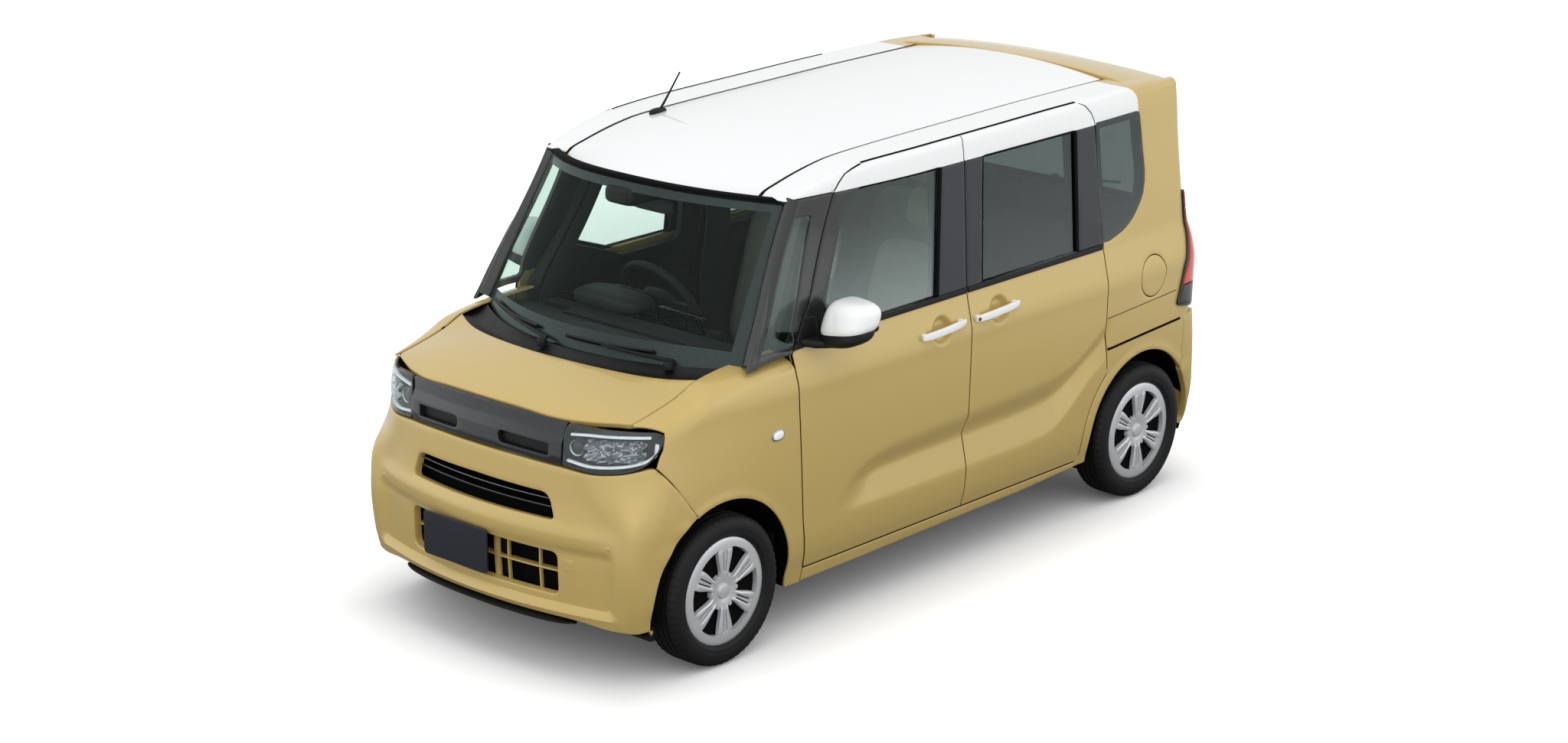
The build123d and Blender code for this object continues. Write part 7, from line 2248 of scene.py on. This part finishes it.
    def covers(self, hand: Hand, word: str, cushion: Shell, back: Shell, rest: Shell,
               nodes: Sequence[str] = ()) -> None:
        """Makes a seat's padded pieces, of which the cushion stands for the CAD nodes."""
        for key, shell, replaces in (("cushion", cushion, nodes), ("back", back, ()), ("head_rest", rest, ())):
            piece = self.shop.side(hand, f"{word}_{key}", shell, "cloth", "body", "seat_cloth", replaces,
                                   PAD_SHARP_ANGLE)

    def bench(self) -> None:
        """Rear bench."""
        y = self.bench_y
        for hand in BOTH:
            lean = Matrix.Translation((-0.985, y, 0.62)) @ Matrix.Rotation(math.radians(-19), 4, "Y")
            cushion = stuffed(pillow((0.49, 0.53, 0.13), (-0.76, y, 0.575), (0.3, 0.35), (64, 24)), most=0.012,
                              voxel=0.019)
            cushion = sewn(cushion, np.abs(np.abs(cushion.points[:, 1] - y) - 0.17))
            back = stuffed(pillow((0.11, 0.53, 0.55), (0.0, 0, 0.28), (0.4, 0.35), (48, 32)), most=0.012, voxel=0.019)
            back = sewn(back, np.abs(np.abs(back.points[:, 1]) - 0.17)).moved(lean)
            rest = stuffed(pillow((0.085, 0.23, 0.12), (0.0, 0, 0.630), (0.5, 0.45), (40, 18)),
                           most=0.005).moved(lean)
            self.covers(hand, "bench", cushion, back, rest, hand.once("rear_seat"))


@dataclass(frozen=True)
class Studio:
    """Pale floor with a painted shadow round the car, even light and the camera."""

    eye: tuple = (9.1535, 8.183, 4.525)
    aim: tuple = (0.0255, -0.00098, 0.79486)
    roll: float = 0.35123
    focal_px: float = 4326.919
    centre_px: tuple = (1029.275, 449.317)
    picture_px: tuple = (2048, 971)
    sensor: float = 36.0
    floor_half: float = 40.0
    # The floor's painted shadow fades out from the edge of this box.
    shaded: tuple = (1.60, 0.66)    # half length and half width of the floor under the car
    near_floor: tuple = (0.24, 0.24, 0.23)
    far_floor: tuple = (0.85, 0.86, 0.86)
    overhead: float = 0.16
    horizon: float = 0.82
    panels: tuple = (((0.55, -0.80, 0.12), 12.0, 0.7), ((-0.65, 0.72, 0.22), 14.0, 0.8),
                     ((0.25, 0.35, 0.95), 20.0, 0.5), ((0.72, 0.42, 0.55), 4.0, 0.55))

    def build(self) -> None:
        """Makes the floor, the world and the camera."""
        self.floor()
        self.light()
        self.camera()

    def floor(self) -> None:
        """Wide pale floor, with a painted shadow round the car where the camera sees it."""
        mesh = bpy.data.meshes.new("floor")
        corners = [(x * self.floor_half, y * self.floor_half, 0) for x, y in ((-1, -1), (1, -1), (1, 1), (-1, 1))]
        mesh.from_pydata(corners, [], [(0, 1, 2, 3)])
        p = Painter("floor_pale")
        x, y, _, where = p.place()
        patch = p.noise(where, 0.4, 2.0)
        aside, beside = ((c.maths("ABSOLUTE") - half).maths("MAXIMUM", 0.0) for c, half in zip((x, y), self.shaded))
        away = (aside * aside + beside * beside).maths("SQRT")
        # The floor's glow for the camera whitens it evenly, and fades out towards the car's footprint: a painted
        # shadow round the car.
        clear = (away * 2.2).maths("MINIMUM", 1.0)
        open_floor = ((away - 1.2) * 0.5).maths("MAXIMUM", 0.0).maths("MINIMUM", 1.0)
        seen = Wire(p, p.node("ShaderNodeLightPath").outputs["Is Camera Ray"])
        bright = p.blend(patch, (0.97, 0.97, 0.97), (0.99, 0.99, 0.99))
        lit = p.blend(open_floor, self.near_floor, self.far_floor)
        mesh.materials.append(p.done(p.shade(
            Base_Color=p.blend(seen, lit, bright), Roughness=0.9, Specular_IOR_Level=0.0,
            Emission_Color=(1, 1, 1), Emission_Strength=seen * (clear * 0.34 + 0.01))))
        piece = bpy.data.objects.new("floor", mesh)
        bpy.context.scene.collection.objects.link(piece)

    def light(self) -> None:
        """World that the camera sees as white and the car as an even sky with four soft panels."""
        p = Painter("studio", world=True)
        towards = p.node("ShaderNodeTexCoord").outputs["Generated"]
        up = Wire(p, p.node("ShaderNodeSeparateXYZ", inputs={0: towards}).outputs[2]).maths("MAXIMUM", 0.0)
        glow = up * self.overhead + self.horizon
        for direction, power, strength in self.panels:
            along = Vector(direction).normalized()
            lobe = Wire(p, p.node("ShaderNodeVectorMath", {"operation": "DOT_PRODUCT"},
                                  {0: towards, 1: tuple(along)}).outputs[1])
            glow = glow + lobe.maths("MAXIMUM", 0.0).maths("POWER", power) * strength
        seen = Wire(p, p.node("ShaderNodeLightPath").outputs["Is Camera Ray"])
        strength = seen + (1 - seen) * glow
        sky = p.node("ShaderNodeBackground", inputs={"Color": (1, 1, 1), "Strength": strength})
        p.node("ShaderNodeOutputWorld", inputs={"Surface": sky.outputs[0]})
        bpy.context.scene.world = p.material

    def camera(self) -> None:
        """Camera at the measured place, with its small shift."""
        data = bpy.data.cameras.new("camera")
        width, height = self.picture_px
        data.sensor_width = self.sensor
        data.lens = self.focal_px / width * self.sensor
        data.shift_x = (width / 2 - self.centre_px[0]) / width
        data.shift_y = (self.centre_px[1] - height / 2) / width
        data.clip_end = 200
        eye, aim = Vector(self.eye), Vector(self.aim)
        camera = bpy.data.objects.new("camera", data)
        turn = (aim - eye).to_track_quat("-Z", "Y").to_matrix().to_4x4()
        camera.matrix_world = Matrix.Translation(eye) @ turn @ Matrix.Rotation(math.radians(self.roll), 4, "Z")
        bpy.context.scene.collection.objects.link(camera)
        bpy.context.scene.camera = camera


def main() -> None:
    """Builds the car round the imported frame."""
    logging.basicConfig(level=logging.INFO)
    bpy.context.scene.view_settings.view_transform = "Standard"
    shop = Workshop()
    sides = BodySides(shop)
    for part in (FrontEnd(shop), sides, Doors(shop, sides), Top(shop), RearEnd(shop), Wheels(shop), Underneath(shop),
                 Cabin(shop)):
        part.build()
    Studio().build()


if __name__ == "__main__":
    main()
